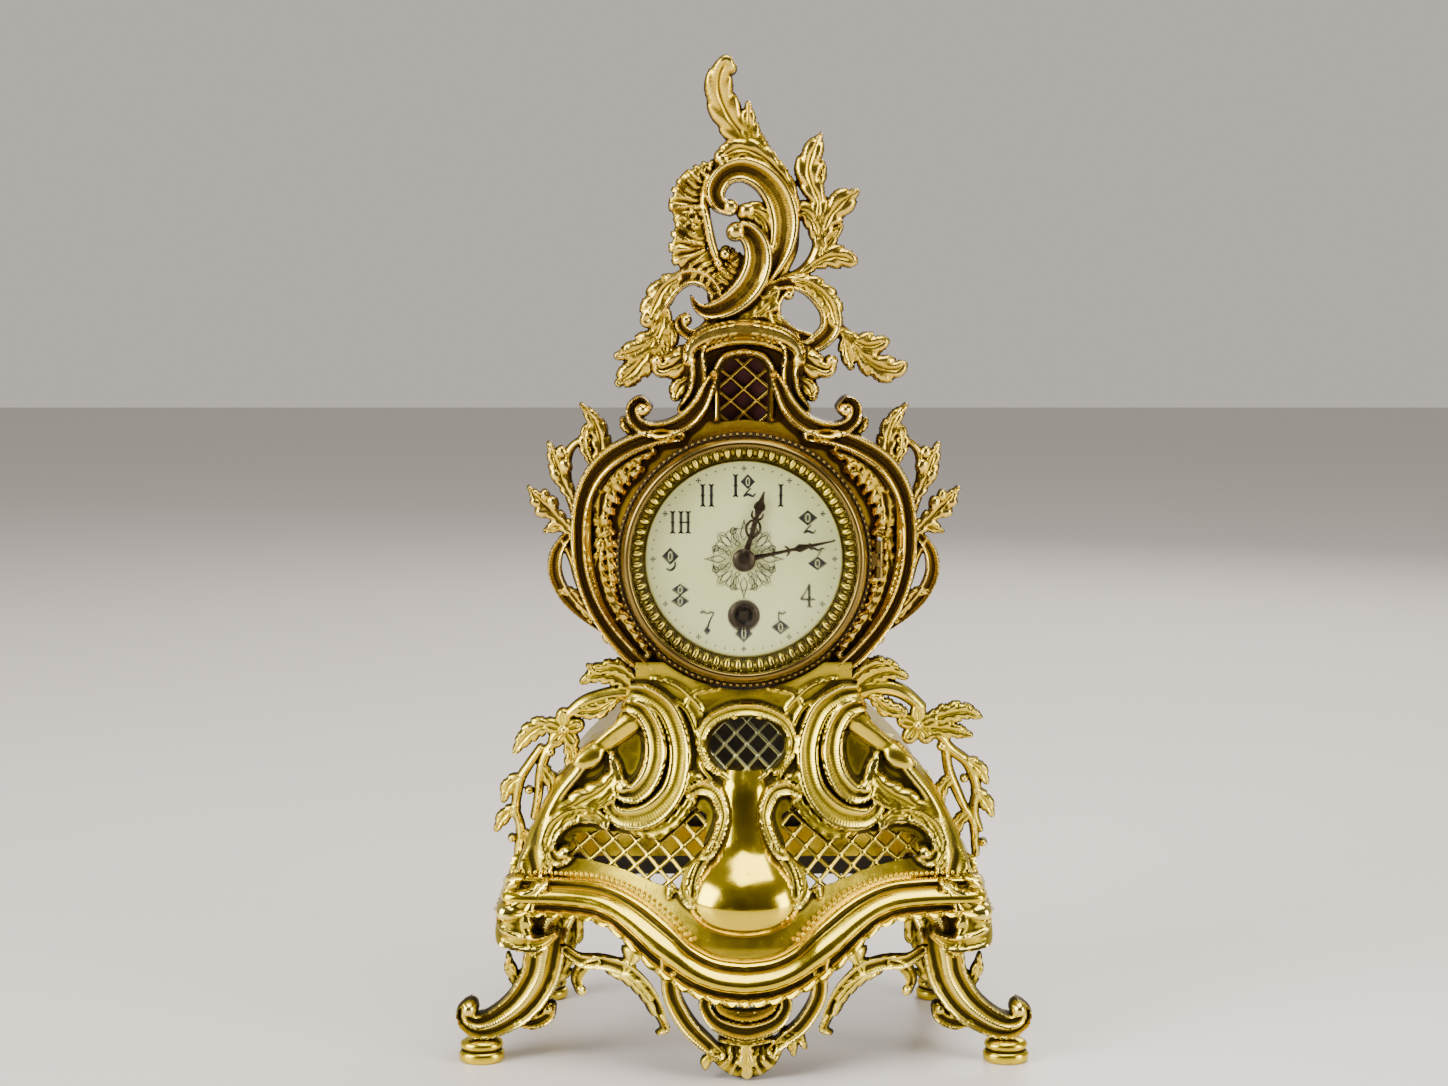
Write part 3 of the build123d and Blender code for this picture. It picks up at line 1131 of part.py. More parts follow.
cock_front = balance_front + 4.2
cock_foot = polar(balance_point, 15.0, -35)
cock_flat = flat_shape(stroke_outline([[(*balance_point, 6.0), (*polar(balance_point, 8.0, -35), 6.5), (*cock_foot, 8.0)]]))
cock = slab(cock_flat, cock_front, cock_front + 1.6)
cock = cock + rod(*cock_foot, 3.2, rear_plate_back, cock_front + 0.2)
cock = cock - rod(*balance_point, pivot + pivot_clearance, -60, 60)
cock = cock - rod(*cock_foot, 0.9 + screw_clearance, -60, 60)
rear_plate -= rod(*cock_foot, 0.9 + screw_clearance, -60, 60)
keep("balance_cock", cock)
small_screws.append(small_screw(*cock_foot, rear_plate_face + 0.1, cock_front + 1.6))
keep("small_screws", Compound(small_screws))
keep("rear_plate", rear_plate)

regulator_ring = ring(*balance_point, 2.6, 1.2, cock_front + 1.65, cock_front + 2.45)
regulator = regulator_ring + slab(
    Pos(*balance_point) * Rot(0, 0, 60) * Pos(6.0, 0) * Rectangle(8.4, 1.3), cock_front + 1.65, cock_front + 2.45)
keep("regulator", largest(regulator))

# ---------------------------------------------------------------- motion work and hands

cannon_turn = 0.0
minute_turn = mesh_turn(centre, minute_point, cannon_leaves, cannon_turn, minute_teeth)
hour_turn = mesh_turn(minute_point, centre, minute_leaves, minute_turn, hour_teeth)
cannon_front = front_plate_face - 1.8
hour_front = front_plate_face - 3.9

hour_hand_front = dial_front - 1.9
minute_hand_front = dial_front - 3.5
centre_arbor = rod(*centre, centre_arbor_radius, minute_hand_front - 1.4, can_rear + 8.0)
centre_arbor += rod(*centre, 1.5, front_plate_face - 0.6, front_plate_face - 0.25)
cannon = toothed(*centre, cannon_leaves, motion_module, cannon_turn, cannon_front, front_plate_face - 0.6)
cannon += rod(*centre, 1.5, minute_hand_front, cannon_front + 0.3)
keep("centre_arbor", centre_arbor)
keep("cannon_pinion", cannon - rod(*centre, centre_arbor_radius, -60, 60))

minute_wheel = spoked(*minute_point, minute_teeth, motion_module, minute_turn,
                      cannon_front + 0.1, cannon_front + 1.0, 2.8)
minute_wheel += toothed(*minute_point, minute_leaves, hour_module, minute_turn, hour_front - 0.2, cannon_front + 0.1)
keep("minute_wheel", minute_wheel - rod(*minute_point, 0.6 + pivot_clearance, -60, 60))

hour_wheel = spoked(*centre, hour_teeth, hour_module, hour_turn, hour_front, hour_front + 1.0, 3.4)
hour_wheel += rod(*centre, 2.4, hour_hand_front, hour_front + 1.6)
keep("hour_wheel", hour_wheel - rod(*centre, 1.5 + pivot_clearance, -60, 60))


def hand_points(points, degrees):
    """Stroke along the pointing direction, degrees clockwise from twelve."""
    angle = math.radians(90 - degrees)
    c, s = math.cos(angle), math.sin(angle)
    return [(x * c - z * s, dial_height + x * s + z * c, w) for x, z, w in points]


def hand(points_list, degrees, hub, bore, front, thickness=0.5):
    strokes = [hand_points(points, degrees) for points in points_list]
    flat = flat_shape(stroke_outline(strokes, blend=0.25, cell=0.2), smallest=0.4)
    shape = slab(flat, front, front + thickness) + rod(*centre, hub, front, front + thickness)
    return largest(shape - rod(*centre, bore, -60, 60))


hour_angle = 16.0
minute_angle = 77.0
hour_strokes = [
    [(0, 0, 3.0), (7, 0, 2.6), (11, 0, 1.6)],
    [(10.5, 0, 1.0), (12, 1.8, 1.0), (14.3, 2.3, 1.0), (16, 1.2, 1.0), (15.0, 0.3, 0.9)],
    [(10.5, 0, 1.0), (12, -1.8, 1.0), (14.3, -2.3, 1.0), (16, -1.2, 1.0), (15.0, -0.3, 0.9)],
    [(10, 0, 1.2), (17, 0, 1.3), (19.5, 0, 2.8), (21, 0, 1.3), (24.5, 0, 0.5)],
]
minute_strokes = [
    [(0, 0, 3.0), (6, 0, 2.6), (12, 0, 1.3), (18, 0, 1.0), (21, 0, 1.6), (24, 0, 2.2), (26, 0, 1.1), (31.5, 0, 0.5)],
    [(18.6, 1.2, 0.8), (18.6, -1.2, 0.8)],
]
keep("hour_hand", hand(hour_strokes, hour_angle, 3.6, 2.4, hour_hand_front))
keep("minute_hand", hand(minute_strokes, minute_angle, 3.0, 1.5, minute_hand_front + 0.01))
collet = Pos(0, minute_hand_front, dial_height) * Rot(90, 0, 0) * Cone(3.9, 2.2, 1.5, align=(Align.CENTER, Align.CENTER, Align.MIN))
collet = collet - rod(*centre, centre_arbor_radius, -60, 60)
keep("hand_collet", collet)
knob = rod(*centre, 4.2, can_rear + 3.6, can_rear + 7.0) - rod(*centre, centre_arbor_radius, -60, 60)
keep("set_knob", knob)
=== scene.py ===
# %% [markdown]
# # A gilt mantel clock
#
# This lesson dresses a rococo mantel clock. The working model is already there: plates, wheels, drum and
# plain castings, each in its place. Here each casting gets its scrolls, leaves and lattice, and each
# metal, enamel and silk gets its finish.

# %% Load the frame
import json
import math
import bmesh
import bpy
import numpy as np
from mathutils import Matrix, Vector


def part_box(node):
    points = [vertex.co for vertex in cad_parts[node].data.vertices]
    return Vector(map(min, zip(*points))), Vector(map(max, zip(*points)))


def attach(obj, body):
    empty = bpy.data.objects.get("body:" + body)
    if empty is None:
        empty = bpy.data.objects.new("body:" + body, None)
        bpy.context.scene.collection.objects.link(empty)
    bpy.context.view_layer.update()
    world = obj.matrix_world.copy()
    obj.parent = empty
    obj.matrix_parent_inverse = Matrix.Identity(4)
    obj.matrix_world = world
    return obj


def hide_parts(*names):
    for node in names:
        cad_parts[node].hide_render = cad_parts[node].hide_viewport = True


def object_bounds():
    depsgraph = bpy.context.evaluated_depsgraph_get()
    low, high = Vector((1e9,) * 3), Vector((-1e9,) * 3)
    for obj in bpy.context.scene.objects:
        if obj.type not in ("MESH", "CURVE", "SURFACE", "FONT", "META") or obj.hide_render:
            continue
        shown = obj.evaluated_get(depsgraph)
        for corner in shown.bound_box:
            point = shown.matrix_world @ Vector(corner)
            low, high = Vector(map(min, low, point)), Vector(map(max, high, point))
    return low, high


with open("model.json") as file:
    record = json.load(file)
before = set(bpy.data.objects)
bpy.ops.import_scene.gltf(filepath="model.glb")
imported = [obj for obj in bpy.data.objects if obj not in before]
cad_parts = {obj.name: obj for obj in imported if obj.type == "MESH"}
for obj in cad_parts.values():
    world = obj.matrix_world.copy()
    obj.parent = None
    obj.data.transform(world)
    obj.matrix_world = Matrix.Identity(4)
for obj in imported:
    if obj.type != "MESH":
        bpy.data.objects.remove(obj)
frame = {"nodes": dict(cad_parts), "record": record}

MM = 0.001
cad_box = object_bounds()
print("box of the working model, mm:", [round(v / MM, 1) for corner in cad_box for v in corner])

# %% [markdown]
# ## Measures taken from the frame
#
# Every piece of this lesson is placed from the frame. The dial gives the centre of the drum, and the back
# plate of the base gives the depth that all castings are measured from. Scrolls and leaves are drawn in
# millimetres as (x, z, width).

# %% Measures
def corners(node):
    """Lowest and highest corner of a node, in millimetres."""
    low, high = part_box(node)
    return np.array(low) / MM, np.array(high) / MM


body_of = {node: body for body, nodes in frame["record"]["behaviour"]["bodies"].items() for node in nodes}
dial_low, dial_high = corners("dial")
DIAL_X = (dial_low[0] + dial_high[0]) / 2
DIAL_Z = (dial_low[2] + dial_high[2]) / 2
DEPTH = corners("base_back_plate")[0][1] - 42.0
NECK_TOP = DIAL_Z + 75.5
BEZEL_R = (corners("glass_retaining_ring")[1][0] - corners("glass_retaining_ring")[0][0]) / 2 + 3.9
print("dial centre", DIAL_X, DIAL_Z, "depth shift", round(DEPTH, 2), "bezel radius", round(BEZEL_R, 2))

# %% [markdown]
# ## Camera
#
# The clock is seen a little from above, from the distance of a person who stands in front of the
# mantelpiece, so the lens is a short portrait lens.

# %% Camera
camera_data = bpy.data.cameras.new("camera")
camera_data.sensor_width = 36.0
camera_data.lens = 51.96
camera = bpy.data.objects.new("camera", camera_data)
bpy.context.scene.collection.objects.link(camera)
camera.location = Vector((-6.7, -719.0 + DEPTH, 245.0)) * MM
camera.rotation_euler = (math.radians(90.0 - 5.8), 0.0, 0.0)
bpy.context.scene.camera = camera

# %% [markdown]
# ## Light and floor
#
# Gilding is a mirror with a little blur: it shows the room. A room that is bright on one side and above,
# and darker in front of the clock, gives the long dark streaks that make metal look like metal. Large
# soft lamps do the rest.

# %% Floor and world
def make_floor():
    mesh = bpy.data.meshes.new("floor")
    reach = 6.0
    mesh.from_pydata([(-reach, -reach, 0), (reach, -reach, 0), (reach, reach, 0), (-reach, reach, 0)], [],
                     [(0, 1, 2, 3)])
    floor = bpy.data.objects.new("floor", mesh)
    floor.location.z = cad_box[0].z - 0.0001
    bpy.context.scene.collection.objects.link(floor)
    material = bpy.data.materials.new("pale_floor")
    material.use_nodes = True
    shader = material.node_tree.nodes["Principled BSDF"]
    shader.inputs["Base Color"].default_value = (0.78, 0.72, 0.68, 1)
    shader.inputs["Roughness"].default_value = 0.35
    mesh.materials.append(material)


def make_world():
    world = bpy.data.worlds.new("room")
    bpy.context.scene.world = world
    world.use_nodes = True
    nodes, links = world.node_tree.nodes, world.node_tree.links
    place = nodes.new("ShaderNodeTexCoord")
    split = nodes.new("ShaderNodeSeparateXYZ")
    ramp = nodes.new("ShaderNodeValToRGB")
    ramp.color_ramp.elements[0].position = 0.05
    ramp.color_ramp.elements[0].color = (0.10, 0.085, 0.07, 1)
    ramp.color_ramp.elements[1].position = 0.95
    ramp.color_ramp.elements[1].color = (0.80, 0.74, 0.68, 1)
    spread = nodes.new("ShaderNodeMapRange")
    spread.inputs["From Min"].default_value = -1.0
    spread.inputs["From Max"].default_value = 1.0
    links.new(place.outputs["Generated"], split.inputs[0])
    links.new(split.outputs["Y"], spread.inputs["Value"])
    links.new(spread.outputs["Result"], ramp.inputs["Fac"])
    links.new(ramp.outputs["Color"], nodes["Background"].inputs["Color"])
    nodes["Background"].inputs["Strength"].default_value = 0.72


make_floor()
make_world()

# %% Lamps
def area_lamp(name, place, size, power, colour=(1.0, 0.97, 0.92)):
    data = bpy.data.lights.new(name, "AREA")
    data.shape = "RECTANGLE"
    data.size, data.size_y = size
    data.energy = power
    data.color = colour
    lamp = bpy.data.objects.new(name, data)
    lamp.location = place
    target = Vector((0, 0, 0.17))
    lamp.rotation_euler = (target - Vector(place)).to_track_quat("-Z", "Y").to_euler()
    bpy.context.scene.collection.objects.link(lamp)


area_lamp("window", (-1.3, -0.75, 0.75), (0.9, 1.2), 40.0, (1.0, 0.98, 0.95))
area_lamp("ceiling", (0.15, -0.25, 1.5), (1.1, 0.9), 24.0)
area_lamp("right_fill", (1.25, -0.7, 0.45), (0.5, 0.9), 16.0, (1.0, 0.95, 0.88))
area_lamp("back_rim", (0.5, 1.2, 0.9), (0.9, 0.6), 12.0)

# %% [markdown]
# ## Mesh shapes
#
# A shape here is a set of points in millimetres, quads, and three numbers for each point: how deep it
# lies in a recess, how much it stands out as a worn ridge, and its distance along the scroll it belongs
# to. The finish reads those numbers, so tarnish collects where a polishing cloth never reaches.

# %% Shapes
class Shape:
    def __init__(self, points, faces, cavity=None, ridge=None, along=None, groove=None):
        self.points = np.asarray(points, float)
        self.faces = [np.asarray(faces, np.int64)] if isinstance(faces, np.ndarray) else faces
        count = len(self.points)
        blank = np.zeros(count)
        self.marks = {
            "cavity": blank if cavity is None else cavity, "ridge": blank if ridge is None else ridge,
            "along": blank if along is None else along, "groove": blank if groove is None else groove,
        }

    def moved(self, change):
        """The same shape with its points passed through a function."""
        other = Shape(change(self.points), self.faces)
        other.marks = self.marks
        return other

    def mirrored(self):
        """The same shape on the other side of the middle plane."""
        other = Shape(self.points * (-1, 1, 1), [group[:, ::-1] for group in self.faces])
        other.marks = self.marks
        return other


def join(shapes):
    """One shape out of several."""
    points, faces, start = [], [], 0
    for shape in shapes:
        points.append(shape.points)
        faces += [group + start for group in shape.faces]
        start += len(shape.points)
    whole = Shape(np.vstack(points), faces)
    for mark in whole.marks:
        whole.marks[mark] = np.concatenate([shape.marks[mark] for shape in shapes])
    return whole


# %% From a shape to a Blender object
def build(name, shape, material, nodes=(), body=None, crease=50.0):
    """Make the object, give it its finish, and let it ride where the nodes it replaces ride."""
    mesh = bpy.data.meshes.new(name)
    mesh.vertices.add(len(shape.points))
    mesh.vertices.foreach_set("co", (shape.points * MM).astype(np.float32).ravel())
    loops = np.concatenate([group.ravel() for group in shape.faces])
    sizes = np.concatenate([np.full(len(group), group.shape[1]) for group in shape.faces])
    mesh.loops.add(len(loops))
    mesh.loops.foreach_set("vertex_index", loops.astype(np.int32))
    mesh.polygons.add(len(sizes))
    mesh.polygons.foreach_set("loop_start", (np.cumsum(sizes) - sizes).astype(np.int32))
    mesh.update(calc_edges=True)
    for mark, values in shape.marks.items():
        if np.any(values):
            mesh.attributes.new(mark, "FLOAT", "POINT").data.foreach_set("value", values.astype(np.float32))
    mesh.polygons.foreach_set("use_smooth", np.ones(len(sizes), bool))
    mesh.set_sharp_from_angle(angle=math.radians(crease))
    mesh.validate()
    mesh.materials.append(material)
    thing = bpy.data.objects.new(name, mesh)
    bpy.context.scene.collection.objects.link(thing)
    if nodes:
        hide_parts(*nodes)
        body = body or body_of[nodes[0]]
    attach(thing, body)
    print(name, len(mesh.polygons), "faces, size mm", [round(v / MM, 1) for v in thing.dimensions])
    return thing


# %% [markdown]
# ## Turned shapes
#
# Rings, collars and the glass are turned: a profile runs once round an axis. A second function can
# change the profile with the angle, which turns a plain moulding into an egg and dart one.

# %% Turned shapes, beads and rods
def turned(profile, centre=None, segments=180, change=None, closed=True):
    """Turn a profile of (radius, y) about the dial axis or another axis along Y."""
    cx, cz = (DIAL_X, DIAL_Z) if centre is None else centre
    profile = np.array(profile, float)
    angle = np.linspace(0, 2 * math.pi, segments, endpoint=False)
    radius = np.repeat(profile[None, :, 0], segments, 0)
    depth = np.repeat(profile[None, :, 1], segments, 0)
    if change is not None:
        radius, depth = change(angle[:, None], radius, depth)
    points = np.stack([cx + radius * np.cos(angle)[:, None], depth, cz + radius * np.sin(angle)[:, None]], -1)
    rows = len(profile)
    i = np.arange(segments)[:, None]
    j = np.arange(rows if closed else rows - 1)[None, :]
    here, there = i * rows + j, ((i + 1) % segments) * rows + j
    up = (j + 1) % rows
    faces = np.stack([here, there, ((i + 1) % segments) * rows + up, i * rows + up], -1).reshape(-1, 4)
    return Shape(points.reshape(-1, 3), faces)


def bead(place, radius, stretch=(1, 1, 1), rings=7, sides=10):
    """A small ball, closed at both ends by short fans of triangles."""
    tilt = np.linspace(0, math.pi, rings)[1:-1]
    turn = np.linspace(0, 2 * math.pi, sides, endpoint=False)
    body = [(math.sin(t) * math.cos(a), math.sin(t) * math.sin(a), math.cos(t)) for t in tilt for a in turn]
    points = np.array([(0, 0, 1)] + body + [(0, 0, -1)]) * radius * np.array(stretch) + np.array(place)
    k = np.arange(sides)
    nxt = (k + 1) % sides
    rows = [np.stack([1 + r * sides + k, 1 + (r + 1) * sides + k, 1 + (r + 1) * sides + nxt,
                      1 + r * sides + nxt], -1)
            for r in range(rings - 3)]
    top = np.stack([np.zeros(sides, int), 1 + k, 1 + nxt], -1)
    last = len(points) - 1
    first = 1 + (rings - 3) * sides
    bottom = np.stack([np.full(sides, last), first + nxt, first + k], -1)
    return Shape(points, [np.vstack(rows), top, bottom])


# %% [markdown]
# ## Scrolls and leaves as strokes
#
# A modeller of such ornament thinks in strokes: a line that swells and narrows, with a section that stays
# the same along it. A scroll is a channel between two raised rims, a leaf has a vein and lobes that lean
# towards its tip, a shell has ribs that cross it. Each stroke below knows its line, its width, its section
# and how high it stands, and can say for any point how far it is from the stroke's edge.

# %% Smooth lines
def curve_through(points, steps=6):
    """Smooth line through points, with every other value, such as the width, carried along."""
    p = np.array(points, float)
    p = np.vstack([p[:1], p, p[-1:]])
    t = (np.arange(steps) / steps)[:, None]
    pieces = []
    for a, b, c, d in zip(p, p[1:], p[2:], p[3:]):
        pieces.append(0.5 * (2 * b + (c - a) * t + (2 * a - 5 * b + 4 * c - d) * t ** 2
                             + (3 * b - a - 3 * c + d) * t ** 3))
    return np.vstack(pieces + [p[-2:-1]])


def smooth(low, high, value):
    t = np.clip((value - low) / (high - low), 0, 1)
    return t * t * (3 - 2 * t)


# %% Sections of a stroke
def scroll_section(u, side, along, stroke):
    """A trough between two raised rims. u runs from 0 on the line to 1 on the edge."""
    edge = np.sqrt(np.clip(1 - np.clip((u - 0.78) / 0.22, 0, 1) ** 2, 0, 1))
    trough = 0.40 + 0.60 * smooth(0.10, 0.72, u)
    return trough * edge, smooth(0.68, 0.5, u)


def double_section(u, side, along, stroke):
    """Two troughs with a rounded ridge between them, for broad scrolls and legs."""
    edge = np.sqrt(np.clip(1 - np.clip((u - 0.84) / 0.16, 0, 1) ** 2, 0, 1))
    wave = 0.72 + 0.28 * np.cos(2 * math.pi * (u * side * 0.5 + 0.5) * 2.0)
    return wave * edge, smooth(0.7, 0.5, u) * 0.8


def leaf_section(u, side, along, stroke):
    """A crowned leaf with a sunk vein and ribs that lean towards the tip."""
    rib = 0.5 + 0.5 * np.cos(2 * math.pi * (along / stroke.pitch - 0.75 * u))
    crown = np.clip(1 - u ** 2, 0, 1) ** 0.5
    vein = np.exp(-(u / 0.16) ** 2)
    return crown * (0.80 + 0.20 * rib * smooth(0.1, 0.7, u)) - 0.24 * vein * smooth(0.0, 0.2,
        1 - u), 0.2 * rib


def stem_section(u, side, along, stroke):
    """A round stem with a soft crest."""
    return np.sqrt(np.clip(1 - u ** 2, 0, 1)) * (0.88 + 0.12 * np.exp(-(u / 0.25) ** 2)), 0 * u


def ball_section(u, side, along, stroke):
    return np.sqrt(np.clip(1 - u ** 2, 0, 1)), 0 * u


def shell_section(u, side, along, stroke):
    """Ruffled shell: ribs cross the stroke and fan out to a scalloped edge."""
    rib = 0.5 + 0.5 * np.cos(2 * math.pi * along / stroke.pitch + 0.8 * np.sin(3 * u * side))
    crown = np.clip(1 - u ** 2, 0, 1) ** 0.35
    dish = 0.55 + 0.45 * smooth(-1.0, 0.9, u * side)
    return crown * (0.50 * dish + 0.50 * dish * rib), 0.2 * rib


def plain_section(u, side, along, stroke):
    """A flat moulding with rounded shoulders."""
    return np.clip(1 - u ** 6, 0, 1) ** 0.5, 0 * u


def rail_section(u, side, along, stroke):
    """A stepped moulding: an outer bead, a quirk and a raised middle."""
    edge = np.sqrt(np.clip(1 - np.clip((u - 0.86) / 0.14, 0, 1) ** 2, 0, 1))
    return edge * (0.62 + 0.38 * smooth(0.62, 0.40, u) + 0.16 * np.exp(-((u - 0.80) / 0.08) ** 2)), 0 * u


SECTIONS = {"scroll": scroll_section, "double": double_section, "leaf": leaf_section, "stem": stem_section,
            "ball": ball_section, "shell": shell_section, "plain": plain_section, "rail": rail_section}


# %% A stroke
class Stroke:
    def __init__(self, kind, points, height, lift=0.0, curl=0.0, pitch=3.2, notch=0.0):
        self.kind, self.height, self.lift, self.curl = kind, height, lift, curl
        self.pitch = pitch * 1.45 if kind == "leaf" else pitch
        self.notch = notch
        self.line = curve_through(points)
        steps = np.hypot(*np.diff(self.line[:, :2], axis=0).T)
        self.start = np.concatenate([[0.0], np.cumsum(steps)])
        self.reach = self.line[:, 2].max() / 2 + 1.6
        self.low = self.line[:, :2].min(0) - self.reach
        self.high = self.line[:, :2].max(0) + self.reach

    def near(self, x, z):
        return (x > self.low[0]) & (x < self.high[0]) & (z > self.low[1]) & (z < self.high[1])

    def read(self, x, z):
        """For each point: place across (1 is the edge), side, distance along, share of the length, radius."""
        a, b = self.line[:-1], self.line[1:]
        d = b - a
        length2 = np.maximum(d[:, 0] ** 2 + d[:, 1] ** 2, 1e-9)
        ox, oz = x[:, None] - a[:, 0], z[:, None] - a[:, 1]
        t = np.clip((ox * d[:, 0] + oz * d[:, 1]) / length2, 0, 1)
        away = np.hypot(ox - t * d[:, 0], oz - t * d[:, 1])
        radius = np.maximum(0.5 * (a[:, 2] + t * d[:, 2]), 0.15)
        best = np.argmin(away - radius, axis=1)
        row = np.arange(len(x))
        t, away, radius = t[row, best], away[row, best], radius[row, best]
        side = np.sign(ox[row, best] * d[best, 1] - oz[row, best] * d[best, 0])
        along = self.start[best] + t * (self.start[best + 1] - self.start[best])
        if self.notch:
            u = away / radius
            lobe = 0.5 - 0.5 * np.cos(2 * math.pi * (along / self.pitch - 0.75 * np.minimum(u, 1.2)))
            radius = radius * (1 + 0.12 * self.notch - self.notch * lobe ** 3)
        return away / radius, side, along, along / self.start[-1], radius


# %% [markdown]
# ## From strokes to a casting
#
# All strokes of one casting melt together where they meet, as they do in brass. The union of their
# outlines is the outline of the casting, and the highest stroke at each point gives its face. A fine grid
# is laid over the drawing, the cells outside are dropped, and the rim of the rest is pulled onto the true
# outline, so the edge runs smoothly.

# %% Blending
def melt(a, b, width):
    """Smooth lowest of two fields."""
    h = np.clip(0.5 + 0.5 * (b - a) / width, 0, 1)
    return b * (1 - h) + a * h - width * h * (1 - h)


def polygon_field(points):
    """Distance to a closed outline, negative inside."""
    p = np.array(points, float)
    q = np.roll(p, -1, axis=0)

    def field(x, z):
        d = q - p
        ox, oz = x[..., None] - p[:, 0], z[..., None] - p[:, 1]
        t = np.clip((ox * d[:, 0] + oz * d[:, 1]) / (d ** 2).sum(1), 0, 1)
        away = np.hypot(ox - t * d[:, 0], oz - t * d[:, 1]).min(-1)
        crosses = (p[:, 1] > z[..., None]) != (q[:, 1] > z[..., None])
        at = d[:, 0] * oz / np.where(d[:, 1] == 0, 1e-9, d[:, 1]) + p[:, 0]
        inside = (crosses & (x[..., None] < at)).sum(-1) % 2 == 1
        return np.where(inside, -away, away)

    return field


def ellipse_field(cx, cz, rx, rz):
    """Near enough the distance to an ellipse, negative inside."""
    return lambda x, z: (np.hypot((x - cx) / rx, (z - cz) / rz) - 1) * min(rx, rz)


# %% The drawing of a casting
class Drawing:
    """Strokes, flat plates of (field, height) and openings, which together make one casting."""

    def __init__(self, strokes, plates=(), openings=(), soft=0.7):
        self.strokes, self.plates, self.openings, self.soft = strokes, plates, openings, soft

    def outline(self, x, z):
        field = np.full(x.shape, 9.0)
        for stroke in self.strokes:
            near = stroke.near(x, z)
            if near.any():
                u, side, along, share, radius = stroke.read(x[near], z[near])
                field[near] = melt(field[near], (u - 1) * radius, self.soft)
        for plate, height in self.plates:
            field = melt(field, plate(x, z), self.soft)
        for opening in self.openings:
            field = np.maximum(field, -opening(x, z))
        return field

    def face(self, x, z):
        """Height above the ground, distance along the top stroke, and how grooved it is."""
        height = np.full(x.shape, -2.0)
        along = np.zeros(x.shape)
        groove = np.zeros(x.shape)
        for plate, level in self.plates:
            field = plate(x, z)
            step = level * np.sqrt(np.clip(-field / 0.8, 0, 1)) - 3 * smooth(0, 0.6, field)
            height = -melt(-height, -step, 0.3)
        for stroke in self.strokes:
            near = np.flatnonzero(stroke.near(x, z))
            if not len(near):
                continue
            u, side, run, share, radius = stroke.read(x[near], z[near])
            section, lines = SECTIONS[stroke.kind](np.minimum(u, 1), side, run, stroke)
            lift = (stroke.lift + stroke.curl * share ** 2) * smooth(1.25, 0.95, u)
            here = lift + stroke.height * section - 4 * smooth(1.0, 1.35, u)
            top = here > height[near] - 0.05
            along[near[top]] = run[top]
            groove[near[top]] = lines[top]
            height[near] = -melt(-height[near], -here, 0.22)
        return height, along, groove


# %% Blur, for recesses and ridges
def box_blur(field, cells):
    """Mean over a square window, run twice for a soft falloff."""
    for _ in range(2):
        for axis in (0, 1):
            pad = [(cells + 1, cells) if n == axis else (0, 0) for n in (0, 1)]
            total = np.cumsum(np.pad(field, pad, mode="edge"), axis=axis)
            width = 2 * cells + 1
            if axis == 0:
                field = (total[width:] - total[:-width]) / width
            else:
                field = (total[:, width:] - total[:, :-width]) / width
    return field


def wear_marks(height, inside, cell):
    """How deep each grid point lies below its surroundings, and how far it stands out."""
    weight = inside.astype(float)
    level = np.where(inside, height, 0.0)
    cells = max(int(1.5 / cell), 1)
    wide = box_blur(level, cells) / np.maximum(box_blur(weight, cells), 0.05)
    fine = box_blur(level, 1) / np.maximum(box_blur(weight, 1), 0.05)
    return np.clip((wide - height) / 0.9, 0, 1), np.clip((fine - wide) / 0.7, 0, 1)


# %% The grid becomes a closed casting
def on_plane(front_y, bend=None):
    """Casting whose ground is a plane that faces the viewer, or that bends by a function of x and z."""

    def place(x, z, out):
        y = front_y - out
        if bend is not None:
            y = y + bend(x, z)
        return np.stack([x, y, z], -1)

    return place


